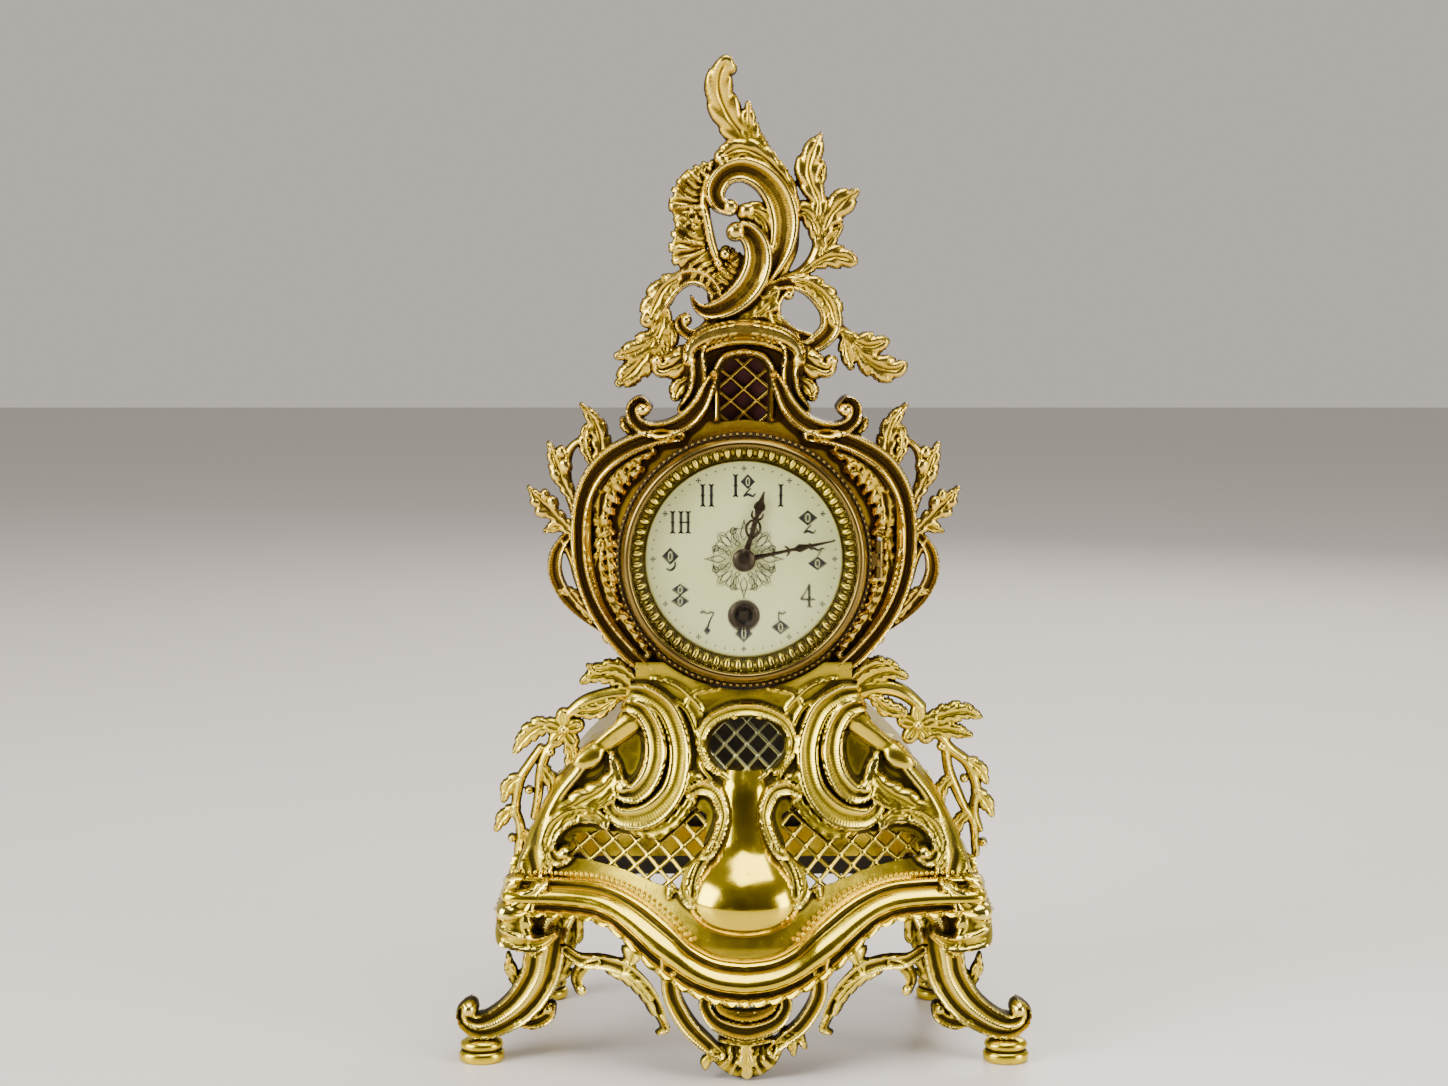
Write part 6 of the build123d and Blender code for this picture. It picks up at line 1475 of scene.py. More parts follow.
# %% Crest drawing
crest_lines = [
    # kind, line, height, lift, curl, pitch, notch
    ("leaf", [(10.5, 53, 4), (6.5, 59, 7), (1.5, 64, 8.5), (-4.5, 71, 9), (-8, 78.5, 8.6), (-8.2, 84.5, 7),
              (-6, 88.6, 4.6)], 3.0, 0.8, 2.6, 5.2, 0.13),
    ("ball", [(-5.4, 87.4, 4.6), (-4.6, 87.2, 4.6)], 2.6, 3.0, 0, 3, 0),
    ("leaf", [(4.5, 60, 4), (2.2, 66, 6), (1.4, 71, 4.6), (1.4, 75.8, 2)], 2.6, 1.4, 0.8, 3.2, 0.2),
    ("leaf", [(17.5, 39, 2.4), (15.6, 47, 4), (11, 54, 5.6), (5.5, 59, 6.6), (-1.5, 61.2, 7),
              (-7.4, 58.6, 5)], 3.0, 1.8, 0.4, 4.2, 0.12),
    ("ball", [(-7.2, 57.8, 4.6), (-7, 57.4, 4.4)], 2.6, 2.6, 0, 3, 0),
    ("scroll", [(-4.8, 41.2, 4), (-8.4, 43.2, 5.4), (-9.6, 47.6, 6.6), (-6.4, 52.6, 7), (-0.5, 54.4, 7.8),
                (6.2, 51.6, 8.6),
                (11.2, 45.5, 9.4), (13.4, 37.5, 9.6), (12.6, 29.5, 8.4), (9.8, 23, 6.6), (6.6, 17.5, 4)],
                3.6, 1.6, 0, 3, 0),
    ("ball", [(-4.4, 42.2, 5.4), (-4.3, 42.1, 5.4)], 3.0, 2.2, 0, 3, 0),
    ("stem", [(17, 34, 1.6), (17.2, 42, 2.2), (13.6, 50, 2.4), (7.6, 56, 2.2), (0, 58, 1.8)], 1.8, 2.2, 0,
     3, 0),
    ("stem", [(17.2, 36, 2.2), (16.6, 28, 2.4), (13, 20.5, 2.4), (8.6, 15, 2)], 2.0, 1.4, 0, 3, 0),
    ("scroll", [(-3.2, 33.4, 5), (0.6, 34, 6.6), (4.2, 29.4, 8.4), (4.6, 22.6, 9.2), (1.4, 15.4, 9),
                (-5, 9.6, 7.8), (-11.6, 7.4, 5.4),
                (-15.6, 9, 3), (-17.6, 12.4, 1.2)], 3.8, 2.4, 0, 3, 0),
    ("ball", [(-2.8, 34, 6.4), (-2.6, 34, 6.4)], 3.6, 3.2, 0, 3, 0),
    ("leaf", [(0.4, 40.2, 5), (4.6, 40, 6.4), (8, 35.6, 5.4), (9.4, 28, 3)], 2.6, 2.4, 0, 3, 0.12),
    ("ball", [(0.8, 40.8, 5.4), (0.9, 40.9, 5.4)], 2.6, 2.8, 0, 3, 0),
    ("shell", [(-6.6, 56.4, 3), (-12.6, 53.6, 7), (-17.4, 48.6, 10), (-19, 42.8, 11.4), (-17, 37.4, 9)],
     2.8, 0.6, 0, 2.5, 0.20),
    ("shell", [(-14.6, 40, 6), (-17.6, 33.4, 11.4), (-18.2, 27.4, 12.4), (-14.6, 22.4, 11.4),
               (-9.4, 18.4, 9)], 2.8, 0.9, 0, 2.5, 0.20),
    ("shell", [(-6, 27.4, 4), (-3.4, 23.6, 7), (-5.4, 17.4, 10), (-8, 12.6, 8)], 2.4, 1.2, 0, 2.4, 0.2),
    ("stem", [(-12, 52, 2), (-13.4, 44, 2.4), (-12, 36, 2.4), (-10.4, 29, 2.4), (-8, 22, 2)], 1.8, 1.8, 0,
     3, 0),
    ("ball", [(-6.4, 26.4, 3.6), (-6.3, 26.3, 3.6)], 2.2, 2.6, 0, 3, 0),
    ("ball", [(-8.6, 23.4, 3), (-8.5, 23.3, 3)], 2.2, 2.6, 0, 3, 0),
    ("stem", [(6.5, 15, 3.6), (12, 18.6, 3), (17.6, 19.6, 3), (22.6, 23.6, 3.6), (25.4, 29.4, 4.2),
              (25.6, 36, 4.8), (22.6, 41, 5),
              (16.6, 42.4, 3.6)], 2.6, 0.5, 0, 3, 0),
    ("leaf", [(17, 40, 2.6), (20.6, 40.4, 5.4), (23.6, 36.6, 5.6), (25.4, 31, 4.6), (26, 26, 2)], 2.6, 1.2,
     0, 3, 0.12),
    ("leaf", [(24.4, 38, 4), (25, 43.6, 5.4), (22.6, 49.4, 6.6), (21.4, 54.6, 7.6), (23, 60.6, 6),
              (25.6, 66, 1.4)], 3.0, 1.0, 1.4, 4.6, 0.2),
    ("leaf", [(22, 48, 3.6), (19.6, 52.4, 4.6), (18.6, 58, 1.8)], 2.4, 0.6, 0, 3, 0.18),
    ("leaf", [(23.4, 49, 3), (25.6, 53, 3.8), (26, 57.6, 1.4)], 2.4, 0.8, 0, 3, 0.18),
    ("leaf", [(26, 31.6, 3.6), (28.4, 38.4, 6.4), (32, 43, 8), (35, 45.4, 5), (38, 47.6, 1.4)], 3.0, 0.8,
     0.8, 3.8, 0.22),
    ("leaf", [(24.6, 27, 2.4), (28.6, 31, 4), (32.4, 36, 2)], 2.2, 0.8, 0, 2.6, 0.16),
    ("leaf", [(19, 20, 2.4), (24.4, 23.6, 4), (29.4, 25.6, 6.4), (33.6, 25.4, 6.2), (37.2, 23.8, 2)], 2.8,
     0.9, 0.6, 3.4, 0.22),
    ("scroll", [(-9, 9.4, 3.6), (-10, 14.4, 4.4), (-13.8, 18.2, 5), (-19, 18.8, 5.6), (-24, 16, 6.2),
                (-28, 11, 6.4), (-30.4, 6, 4)], 3.0, 1.2, 0, 3, 0),
    ("leaf", [(-22, 18.4, 3), (-26.6, 15.4, 7), (-29.8, 9.6, 8), (-32.6, 4.4, 4)], 2.8, 1.8, 0, 3.4, 0.2),
    ("leaf", [(-27, 10, 3.6), (-27.6, 3, 6), (-30.4, -2.4, 8.4), (-35.6, -5.6, 7.6), (-42.4, -7.4, 2.6)],
     3.0, 0.9, 0.8, 4.0, 0.24),
    ("leaf", [(-30.4, -2, 3), (-33.6, -8, 7.4), (-37.4, -12.6, 8), (-42, -16.4, 3)], 3.0, 1.2, 0.8, 3.8,
     0.24),
    ("leaf", [(-27, 5, 3), (-24.8, 0, 5.4), (-24.8, -6.4, 1.8)], 2.6, 1.0, 0, 3, 0.2),
    ("leaf", [(-29.4, -2, 3), (-28, -7, 5), (-27.6, -10.6, 3)], 2.6, 1.4, 0, 2.8, 0.2),
    ("scroll", [(6.6, 13.4, 3.4), (12, 16.6, 4), (18.6, 16.6, 4.8), (24.6, 13.2, 6), (28.8, 7.6, 6.8),
                (28.8, 1.4, 6.8), (24.6, -3, 6),
                (20, -4.6, 4)], 3.0, 1.2, 0, 3, 0),
    ("leaf", [(17, 18, 3), (23.4, 16, 6), (28.6, 10.4, 7), (30.8, 3.6, 4)], 2.6, 2.0, 0, 3.0, 0.2),
    ("scroll", [(15.6, 14.4, 2.6), (12.2, 13.4, 3.6), (10.2, 8.6, 4.2), (11.4, 3.6, 4.6), (15.6, 0, 5),
                (21.4, -1.6, 4.4)], 2.6, 1.4, 0, 3, 0),
    ("ball", [(15, 13, 3.6), (14.9, 12.9, 3.6)], 2.4, 2.0, 0, 3, 0),
    ("stem", [(29.4, 5, 3), (33, 0.6, 3.8), (37, -2.4, 4.4)], 2.4, 0.6, 0, 3, 0),
    ("leaf", [(33.6, 0, 3), (38, -3, 5.6), (42.6, -4, 7.6), (47.4, -2.6, 3)], 2.8, 0.8, 0.8, 3.6, 0.24),
    ("leaf", [(36.6, -3.6, 3), (40.6, -8, 6.4), (46, -11.2, 8.4), (51, -12, 6), (54, -10.2, 2.4)], 3.0, 1.0,
     0.8, 3.6, 0.24),
    ("leaf", [(34, -1.6, 3), (34.8, -6, 5), (36, -11, 2.6)], 2.6, 0.8, 0, 2.8, 0.2),
    ("scroll", [(-12.4, 1.4, 4), (-16.4, -0.6, 4.2), (-20, 0.8, 3.8), (-21.6, 4, 3.2), (-19.4, 6, 2.6)],
     2.6, 1.4, 0, 3, 0),
    ("ball", [(-19.4, 4.6, 3.8), (-19.3, 4.5, 3.8)], 2.4, 2.0, 0, 3, 0),
    ("leaf", [(-17, -2.4, 3), (-12, 1.4, 5.4), (-5, 4.6, 6.4), (2, 5.6, 5)], 2.6, 1.6, 0, 3.2, 0.16),
    ("leaf", [(18.4, -3, 3), (13.4, 1.4, 5.4), (7.4, 4.4, 6.4), (0.6, 5.4, 5)], 2.6, 1.4, 0, 3.2, 0.16),
    ("stem", [(1.6, 5, 7), (6, 10.4, 7), (8.6, 16, 5)], 3.0, 0.8, 0, 3, 0),
    ("leaf", [(4, 6, 3), (8.4, 9.6, 5.4), (10.4, 14.4, 3)], 2.2, 2.4, 0, 2.6, 0.2),
]
BROADER = {"leaf": 1.22, "shell": 1.1, "stem": 1.25, "scroll": 1.08, "ball": 1.0}
crest_strokes = [Stroke(kind, [(DIAL_X + x, NECK_TOP + z, w * BROADER[kind]) for x, z, w in line], height,
                        lift=lift, curl=curl,
                        pitch=pitch, notch=notch)
                 for kind, line, height, lift, curl, pitch, notch in crest_lines]
crest_low = corners("crest")[0]


def crest_bend(x, z):
    """The tall leaf nods forward at its tip, and the arms lean back."""
    up = np.clip((z - NECK_TOP - 62) / 27, 0, 1)
    out = np.clip((np.abs(x) - 20) / 34, 0, 1)
    return -4.5 * up ** 2 + 2.5 * out ** 2


crest = casting(Drawing(crest_strokes, soft=0.6), on_plane(crest_low[1] + 4.6, crest_bend),
                lines_over(-46, 57, 0.42),
                lines_over(NECK_TOP - 20, NECK_TOP + 93, 0.42), back=2.4, round_back=1.6)
build("crest_gilt", crest, gilt_crest, ["crest"])

# %% [markdown]
# ## Garlands
#
# From the shoulders of the base hangs a garland on each side, a flower with trailing twigs and leaves.
# The two aren't mirror images: the right one carries two side leaves and a longer tail.

# %% Garland
def flower(cx, cz, radius):
    """Five petals round a small button."""
    petals = []
    for n in range(5):
        a = math.radians(90 + 72 * n)
        line = [(cx + s * radius * math.cos(a), cz + s * radius * math.sin(a), w * radius)
                for s, w in ((0.15, 0.35), (0.5, 0.85), (0.8, 0.9), (1.0, 0.4))]
        petals.append(Stroke("leaf", line, 2.0, lift=1.0, pitch=9))
    return petals + [Stroke("ball", [(cx, cz, 0.55 * radius), (cx + 0.1, cz, 0.55 * radius)], 2.2, lift=1.6)]


def twig(points, height=2.4, lift=0.3):
    return Stroke("stem", [(x, z, 1.15 * width) for x, z, width in points], height, lift=lift)


def frond(points, lift=0.6, notch=0.22):
    return Stroke("leaf", [(x, z, 1.3 * width) for x, z, width in points], 2.4, lift=lift, pitch=2.5,
                  notch=notch)


left_strokes = flower(-61.5, 109.5, 6.0) + [
    frond([(-36, 122, 3), (-43, 127.5, 5.5), (-50, 128.5, 4.8), (-55, 126, 1.8)]),
    frond([(-37.5, 127.5, 3), (-43, 131, 5), (-49.5, 130.4, 3.4), (-53, 131.5, 1.4)], 1.0),
    twig([(-38.5, 122, 5), (-46, 121.4, 4.6), (-54, 119, 4.2), (-59.5, 115, 3.4)], 2.8),
    frond([(-44, 120, 3), (-50, 116.5, 5.4), (-56.5, 115.8, 3)], 1.3),
    frond([(-64, 110, 3), (-69, 110.6, 5.4), (-74, 107.4, 5.2), (-78.4, 101.4, 1.6)]),
    frond([(-60, 104.5, 3), (-58.6, 100, 4.6), (-60.4, 94.6, 1.6)]),
    twig([(-64, 106, 3), (-67.6, 101, 3.4), (-69.6, 94, 3.2), (-70.5, 86, 2.8), (-72, 79, 2.4)]),
    frond([(-69.4, 97, 2.4), (-66, 92, 4.2), (-65.6, 86.6, 1.6)]),
    twig([(-69.5, 103, 2.6), (-73.6, 97, 3), (-76.5, 92, 3.2), (-78, 85, 3), (-78.4, 80, 2.6)]),
    frond([(-76.5, 93, 2.4), (-80.4, 90, 4.4), (-82.4, 84.6, 1.6)]),
    frond([(-78, 82, 2.4), (-82, 79.4, 4.2), (-85, 74.4, 1.6)]),
    twig([(-78.6, 82, 2.6), (-76.6, 75, 3), (-77.2, 68.5, 3), (-78, 62, 2.6)]),
    frond([(-76.8, 74, 2.4), (-73.6, 70.6, 4), (-73.4, 66.4, 1.6)]),
    Stroke("ball", [(-66, 101.6, 3.2), (-66, 101.5, 3.2)], 2.2, lift=1.0),
    Stroke("ball", [(-73.6, 88.4, 3.0), (-73.6, 88.3, 3.0)], 2.2, lift=1.0),
    Stroke("ball", [(-79.6, 71.6, 3.0), (-79.6, 71.5, 3.0)], 2.2, lift=1.0),
]
right_strokes = flower(59.5, 111.0, 6.0) + [
    frond([(36, 122, 3), (43, 127.5, 5.5), (50, 129.5, 4.8), (55.5, 127.6, 1.8)]),
    frond([(37.5, 127.5, 3), (43, 131.4, 5), (48.5, 132.2, 3.4), (52, 131.6, 1.4)], 1.0),
    twig([(38.5, 122, 5), (47, 124, 5), (54, 122.4, 4.6), (60.4, 117.4, 3.6)], 2.8),
    frond([(44, 121, 3), (49, 117, 5.2), (54.4, 115.8, 3)], 1.3),
    frond([(63, 112.6, 3.4), (70, 115, 6), (76, 115.6, 4.6), (81, 113.6, 1.6)]),
    frond([(64, 110, 3.4), (70.5, 109.4, 5.2), (77.6, 107.4, 1.6)]),
    twig([(62, 106.4, 3), (66.5, 107.6, 3), (70.8, 102.6, 3.4), (76.5, 98, 3.4), (79.4, 91.4, 3.4),
          (80.4, 86, 2.8)]),
    frond([(76.4, 98.6, 2.6), (80.4, 96, 4.6), (83.4, 91, 1.6)]),
    frond([(79.6, 88, 2.6), (83, 84.4, 4.4), (85.4, 79.6, 1.6)]),
    twig([(79.8, 87, 2.8), (79.2, 80.5, 3.2), (81.6, 74.4, 1.8)]),
    twig([(69, 103, 2.8), (70.4, 95, 3.2), (73, 88.5, 3.2), (76, 82, 2.8), (79, 76.5, 2.8), (80, 66, 2.6)]),
    frond([(71, 93, 2.4), (67.6, 88.4, 4.2), (68, 83, 1.6)]),
    frond([(77, 80.4, 2.4), (73.4, 76.4, 4), (73.4, 71.6, 1.6)]),
    Stroke("ball", [(67.6, 103.6, 3.2), (67.6, 103.5, 3.2)], 2.2, lift=1.0),
    Stroke("ball", [(75.6, 92.4, 3.0), (75.6, 92.3, 3.0)], 2.2, lift=1.0),
    Stroke("ball", [(82.4, 70, 3.0), (82.4, 69.9, 3.0)], 2.2, lift=1.0),
]
garland_y = corners("left_garland")[1][1] - 2.2
for name, node, strokes, low, high in (
        ("left_garland_gilt", "left_garland", left_strokes, -88, -34),
        ("right_garland_gilt", "right_garland", right_strokes, 34, 88)):
    shape = casting(Drawing(strokes, soft=0.5), on_plane(garland_y, lambda x,
        z: 0.05 * np.clip(np.abs(x) - 60, 0, 30)),
                    lines_over(low, high, 0.4), lines_over(60, 135, 0.4), back=1.9, round_back=1.2)
    build(name, shape, gilt_base, [node])

# %% [markdown]
# ## Bezel and glass
#
# The bezel is a hinged ring: a row of beads round the outside, a smooth toned flank that falls to the
# glass, and a knuckle at three o'clock. The glass is thin and domed, held by a plain ring from behind.

# %% Bezel
bezel_low = corners("bezel_ring")[0]
front_edge, back_edge = bezel_low[1], corners("movement_can")[0][1] - 0.4
R = BEZEL_R
profile = [
    (R - 1.0, back_edge), (R - 0.25, back_edge - 0.3), (R, back_edge - 1.0), (R, back_edge - 2.2),
    (R - 0.3, back_edge - 2.6),
    (R - 0.8, back_edge - 2.7), (R - 1.25, back_edge - 3.0), (R - 1.5, back_edge - 3.5),
    (R - 1.7, back_edge - 4.2),
    (R - 2.1, back_edge - 4.9), (R - 2.7, front_edge + 0.75), (R - 3.3, front_edge + 0.2),
    (R - 4.0, front_edge),
    (R - 4.6, front_edge + 0.25), (R - 4.95, front_edge + 0.8), (R - 5.05, front_edge + 2.2),
    (R - 5.05, front_edge + 3.5),
    (R - 3.9, front_edge + 3.55), (R - 3.9, back_edge - 1.4), (R - 2.6, back_edge - 1.3),
    (R - 2.6, back_edge - 0.1),
]
ring_shape = turned(profile, segments=200)
rows = len(profile)
ring_shape.marks["cavity"] = np.tile([1.0 if 4 <= n <= 7 else 0.0 for n in range(rows)], 200)
bezel_beads = []
for n in range(120):
    a = 2 * math.pi * n / 120
    bezel_beads.append(bead((DIAL_X + (R - 0.75) * math.cos(a), back_edge - 3.0,
                             DIAL_Z + (R - 0.75) * math.sin(a)), 0.68))
hinge_x, hinge_y = corners("bezel_hinge_pin")[0][0] + 1.0, corners("bezel_hinge_pin")[0][1] + 1.0
levels = [(-2.4, 1.05), (-2.4, 1.45), (-2.2, 1.6), (2.2, 1.6), (2.4, 1.45), (2.4, 1.05)]
around = np.linspace(0, 2 * math.pi, 28, endpoint=False)
sleeve = np.array([[(hinge_x + r * math.cos(a), hinge_y + r * math.sin(a), DIAL_Z + z) for z,
                    r in levels] for a in around])
i, j = np.arange(28)[:, None], np.arange(6)[None, :]
sleeve_faces = np.stack([i * 6 + j, (i + 1) % 28 * 6 + j, (i + 1) % 28 * 6 + (j + 1) % 6,
                         i * 6 + (j + 1) % 6], -1)
knuckle = Shape(sleeve.reshape(-1, 3), sleeve_faces.reshape(-1, 4))
tab_points = np.array([[(x, hinge_y + y, DIAL_Z + z) for y,
                        z in ((-1.5, -2.2), (-1.5, 2.2), (-0.4, 2.2), (-0.4, -2.2))]
                       for x in (R - 1.2, R - 0.2, hinge_x - 0.9)])
tab = ribbon(tab_points)
build("bezel_ring_toned", join([ring_shape, knuckle, tab] + bezel_beads), toned_brass, ["bezel_ring"])

# %% Glass
glass_low, glass_high = corners("bezel_glass")
edge = R - 4.05
dome = glass_high[1] - 0.6 - glass_low[1]
steps = np.linspace(0, 1, 16)
outer = [(max(edge * s, 0.02), glass_low[1] + dome * s ** 2) for s in steps]
inner = [(max((edge - 0.4) * s, 0.02), glass_low[1] + 1.3 + (dome - 0.75) * s ** 2) for s in steps[::-1]]
build("bezel_glass_clear", turned(outer + inner, segments=128), clear_glass, ["bezel_glass"])


# %% [markdown]
# ## The sight ring: egg and dart
#
# Inside the glass lies a stamped ring of thin gilt brass. Sixty eggs stand in their cups with a dart
# between each two, and a bright thin lip borders the enamel.

# %% Sight ring
sight_low, sight_high = corners("sight_ring")
EGGS = 60
ring_r = np.linspace(32.9, 40.0, 34)


def stamped(angle, radius):
    """Height of the stamped pattern as a function of angle and radius."""
    turn = angle * EGGS / (2 * math.pi)
    u = (turn - np.floor(turn)) - 0.5
    v = (radius - 36.05) / 2.25
    egg = np.sqrt(np.clip(1 - (u / 0.27) ** 2 - (v / 0.86) ** 2, 0, 1))
    cup = np.clip(1 - np.abs(np.hypot(u / 0.40, v / 1.02) - 1) / 0.16, 0, 1) * (v > -0.75)
    dart = np.clip(1 - (0.5 - np.abs(u)) / (0.030 + 0.045 * np.clip(v + 1, 0, 2)), 0, 1) * (np.abs(v) < 0.95)
    zone = (np.abs(v) < 1.12).astype(float)
    lip = np.clip(1 - np.abs(radius - 33.15) / 0.42, 0, 1) ** 0.6
    rim = smooth(38.3, 38.9, radius)
    raised = zone * np.maximum(np.maximum(0.85 * egg, 0.8 * cup), 0.75 * dart)
    return raised, lip, rim


def sight_shape():
    segments = EGGS * 14
    angle = np.linspace(0, 2 * math.pi, segments, endpoint=False)
    a, r = np.meshgrid(angle, ring_r, indexing="ij")
    raised, lip, rim = stamped(a, r)
    slope = (r - 33.0) / 5.4
    floor_y = sight_high[1] - 1.75 - 1.1 * np.clip(slope, 0, 1)
    y = np.maximum(floor_y - 0.9 * raised - 0.7 * lip - 0.5 * rim, sight_low[1] - 0.6)
    back = np.array([(40.0, sight_high[1] - 0.05), (38.1, sight_high[1] - 0.05),
                     (38.1, sight_high[1] - 1.36), (32.9, sight_high[1] - 1.36)])
    x = DIAL_X + r * np.cos(a)
    z = DIAL_Z + r * np.sin(a)
    front = np.stack([x, y, z], -1)
    behind = np.stack([DIAL_X + back[:, 0] * np.cos(angle)[:, None], np.repeat(back[None, :, 1], segments, 0),
                       DIAL_Z + back[:, 0] * np.sin(angle)[:, None]], -1)
    points = np.concatenate([front, behind], axis=1)
    m = points.shape[1]
    i, j = np.arange(segments)[:, None], np.arange(m)[None, :]
    nxt, up = (i + 1) % segments, (j + 1) % m
    faces = np.stack([i * m + j, i * m + up, nxt * m + up, nxt * m + j], -1).reshape(-1, 4)
    shape = Shape(points.reshape(-1, 3), faces)
    low = np.clip(1.15 - raised * 2.2 - lip - rim, 0, 1)
    shape.marks["cavity"] = np.concatenate([low, np.zeros((segments, 4))], axis=1).ravel()
    shape.marks["ridge"] = np.concatenate([np.clip(raised - 0.5, 0, 1), np.zeros((segments, 4))],
        axis=1).ravel()
    return shape


build("sight_ring_stamped", sight_shape(), stamped_gilt, ["sight_ring"])

# %% [markdown]
# ## The dial
#
# The dial is slightly domed enamel with fired black numerals, a dot for each minute, a group of five dots
# at each hour and a fine filigree rosette round the centre. Some of the numerals carry dark diamonds.
# Everything printed lies a few hundredths of a millimetre proud of the enamel, as fired print does.

# %% Enamel disc
dial_low, dial_high = corners("dial")
FACE = dial_low[1]
disc = turned([(3.15, dial_high[1]), (3.15, FACE + 0.25), (3.4, FACE + 0.05), (20, FACE + 0.02),
               (36, FACE + 0.03),
               (37.7, FACE + 0.15), (37.95, FACE + 0.5), (37.95, dial_high[1])], segments=160)
hole_x, hole_z = [(a + b) / 2 for a, b in zip(*[np.array(c)[[0, 2]] for c in corners("winding_collar")])]
print("winding hole below the centre:", round(DIAL_Z - hole_z, 2))


def flat_ribbon(points, level):
    """Printed line: a ribbon through (x, z, width) points, seen from the front."""
    line = curve_through(points, 5)
    step = np.gradient(line[:, :2], axis=0)
    step /= np.linalg.norm(step, axis=1)[:, None] + 1e-9
    aside = np.stack([-step[:, 1], step[:, 0]], -1) * line[:, 2:3] / 2
    left, right = line[:, :2] + aside, line[:, :2] - aside
    n = len(line)
    points = np.vstack([left, right])
    flat = np.stack([DIAL_X + points[:, 0], np.full(2 * n, FACE - level), DIAL_Z + points[:, 1]], -1)
    i = np.arange(n - 1)
    return Shape(flat, np.stack([i, i + 1, n + i + 1, n + i], -1))


def flat_polygon(points, level):
    """Printed patch with straight sides."""
    p = np.array(points, float)
    flat = np.stack([DIAL_X + p[:, 0], np.full(len(p), FACE - level), DIAL_Z + p[:, 1]], -1)
    return Shape(flat, [np.arange(len(p))[None, ::-1]])


def flat_dot(x, z, radius, level=0.02, sides=10):
    return flat_polygon([(x + radius * math.cos(a), z + radius * math.sin(a))
                         for a in np.linspace(0, 2 * math.pi, sides, endpoint=False)], level)


# %% Numerals: pillars, diamonds and curls
def pillar(x):
    """An upright with a barb at each end and a tick in the middle."""
    return [[(x, -3.7, 1.0), (x, 0, 1.0), (x, 3.7, 1.0)],
            [(x - 0.9, 3.8, 0.4), (x, 3.3, 0.8), (x + 0.9, 3.8, 0.4)],
            [(x - 0.9, -3.8, 0.4), (x, -3.3, 0.8), (x + 0.9, -3.8, 0.4)],
            [(x - 0.75, 0, 0.45), (x + 0.75, 0, 0.45)]]


def two_tail(x):
    """The foot of a 2."""
    return [[(x + 1.2, -0.8, 0.45), (x - 0.2, -2.2, 0.6), (x - 1.4, -3.7, 0.5)],
            [(x - 1.4, -3.7, 0.5), (x + 0.2, -3.0, 0.9), (x + 1.8, -3.6, 0.7), (x + 2.7, -2.5, 0.35)]]


NUMERALS = {  # diamonds as (x, z, half width, half height), then printed lines
    1: ([], pillar(0)),
    2: ([(0, 1.5, 3.3, 2.7)], two_tail(0)),
    3: ([(0, -1.5, 3.3, 2.4)], [[(-2.4, 3.0, 0.35), (-1.2, 3.6, 0.8), (0.2, 3.0, 0.7), (1.6, 3.7, 0.5),
                                 (2.4, 3.2, 0.35)],
                                [(1.6, 3.5, 0.4), (0.6, 2.0, 0.5), (0, 0.6, 0.4)]]),
    4: ([], [[(0.6, -3.8, 0.9), (0.6, 0, 0.9), (0.6, 3.9, 0.8)],
             [(0.6, 3.9, 0.4), (-0.8, 1, 0.55), (-2.3, -1.2, 0.7)],
             [(-2.4, -1.3, 0.7), (0, -1.3, 0.8), (2.6, -1.3, 0.6)], [(-0.3, -3.8, 0.5), (1.5, -3.8, 0.5)]]),
    5: ([(0, -1.7, 3.2, 2.5)], [[(-0.6, 3.6, 0.5), (-0.6, 2, 0.5), (-0.6, 0.5, 0.5)],
                                [(-0.6, 3.4, 0.6), (0.6, 2.9, 0.8), (1.8, 3.6, 0.5)]]),
    6: ([(0, -0.6, 3.1, 3.0)], [[(0.2, 2.4, 0.4), (1.0, 3.3, 0.6), (2.0, 3.0, 0.4)]]),
    7: ([(0, -2.9, 1.3, 1.5)], [[(-2.4, 3.0, 0.5), (-1.4, 3.6, 0.9), (0, 3.0, 0.6), (1.2, 3.4, 0.7),
                                 (2.4, 3.3, 0.35)],
                                [(2.3, 3.2, 0.4), (0.9, 0.4, 0.6), (0.2, -1.8, 0.6)]]),
    8: ([(0, 1.95, 3.0, 2.1), (0, -1.9, 3.2, 2.2)], []),
    9: ([(0, 0.9, 2.9, 3.0)], [[(1.6, -0.8, 0.5), (1.5, -2.6, 0.8), (0.2, -3.8, 0.9), (-1.4, -3.2, 0.5)]]),
    10: ([], pillar(-2.5) + pillar(0.3) + pillar(2.7) + [[(0.3, 0, 0.5), (2.7, 0, 0.5)]]),
    11: ([], pillar(-1.45) + pillar(1.45)),
    12: ([(1.3, 1.3, 2.5, 2.6)], pillar(-2.8) + two_tail(1.2)),
}


def numeral(hour, cx, cz):
    """Printed shapes of an hour numeral, and the pale loops drawn over its diamonds."""
    diamonds, lines = NUMERALS[hour]
    dark, light = [], []
    for x, z, wide, tall in diamonds:
        corners_of = [(cx + x - wide, cz + z), (cx + x, cz + z + tall), (cx + x + wide, cz + z),
                      (cx + x, cz + z - tall)]
        dark.append(flat_polygon(corners_of, 0.015))
        if wide > 2:
            loop = [(cx + x + 0.21 * wide * math.cos(t), cz + z + 0.5 * tall * math.sin(t), 0.30)
                    for t in np.linspace(0, 2 * math.pi, 13)]
            light.append(flat_ribbon(loop, 0.03))
    for line in lines:
        dark.append(flat_ribbon([(cx + x, cz + z, w) for x, z, w in line], 0.02))
    return dark, light


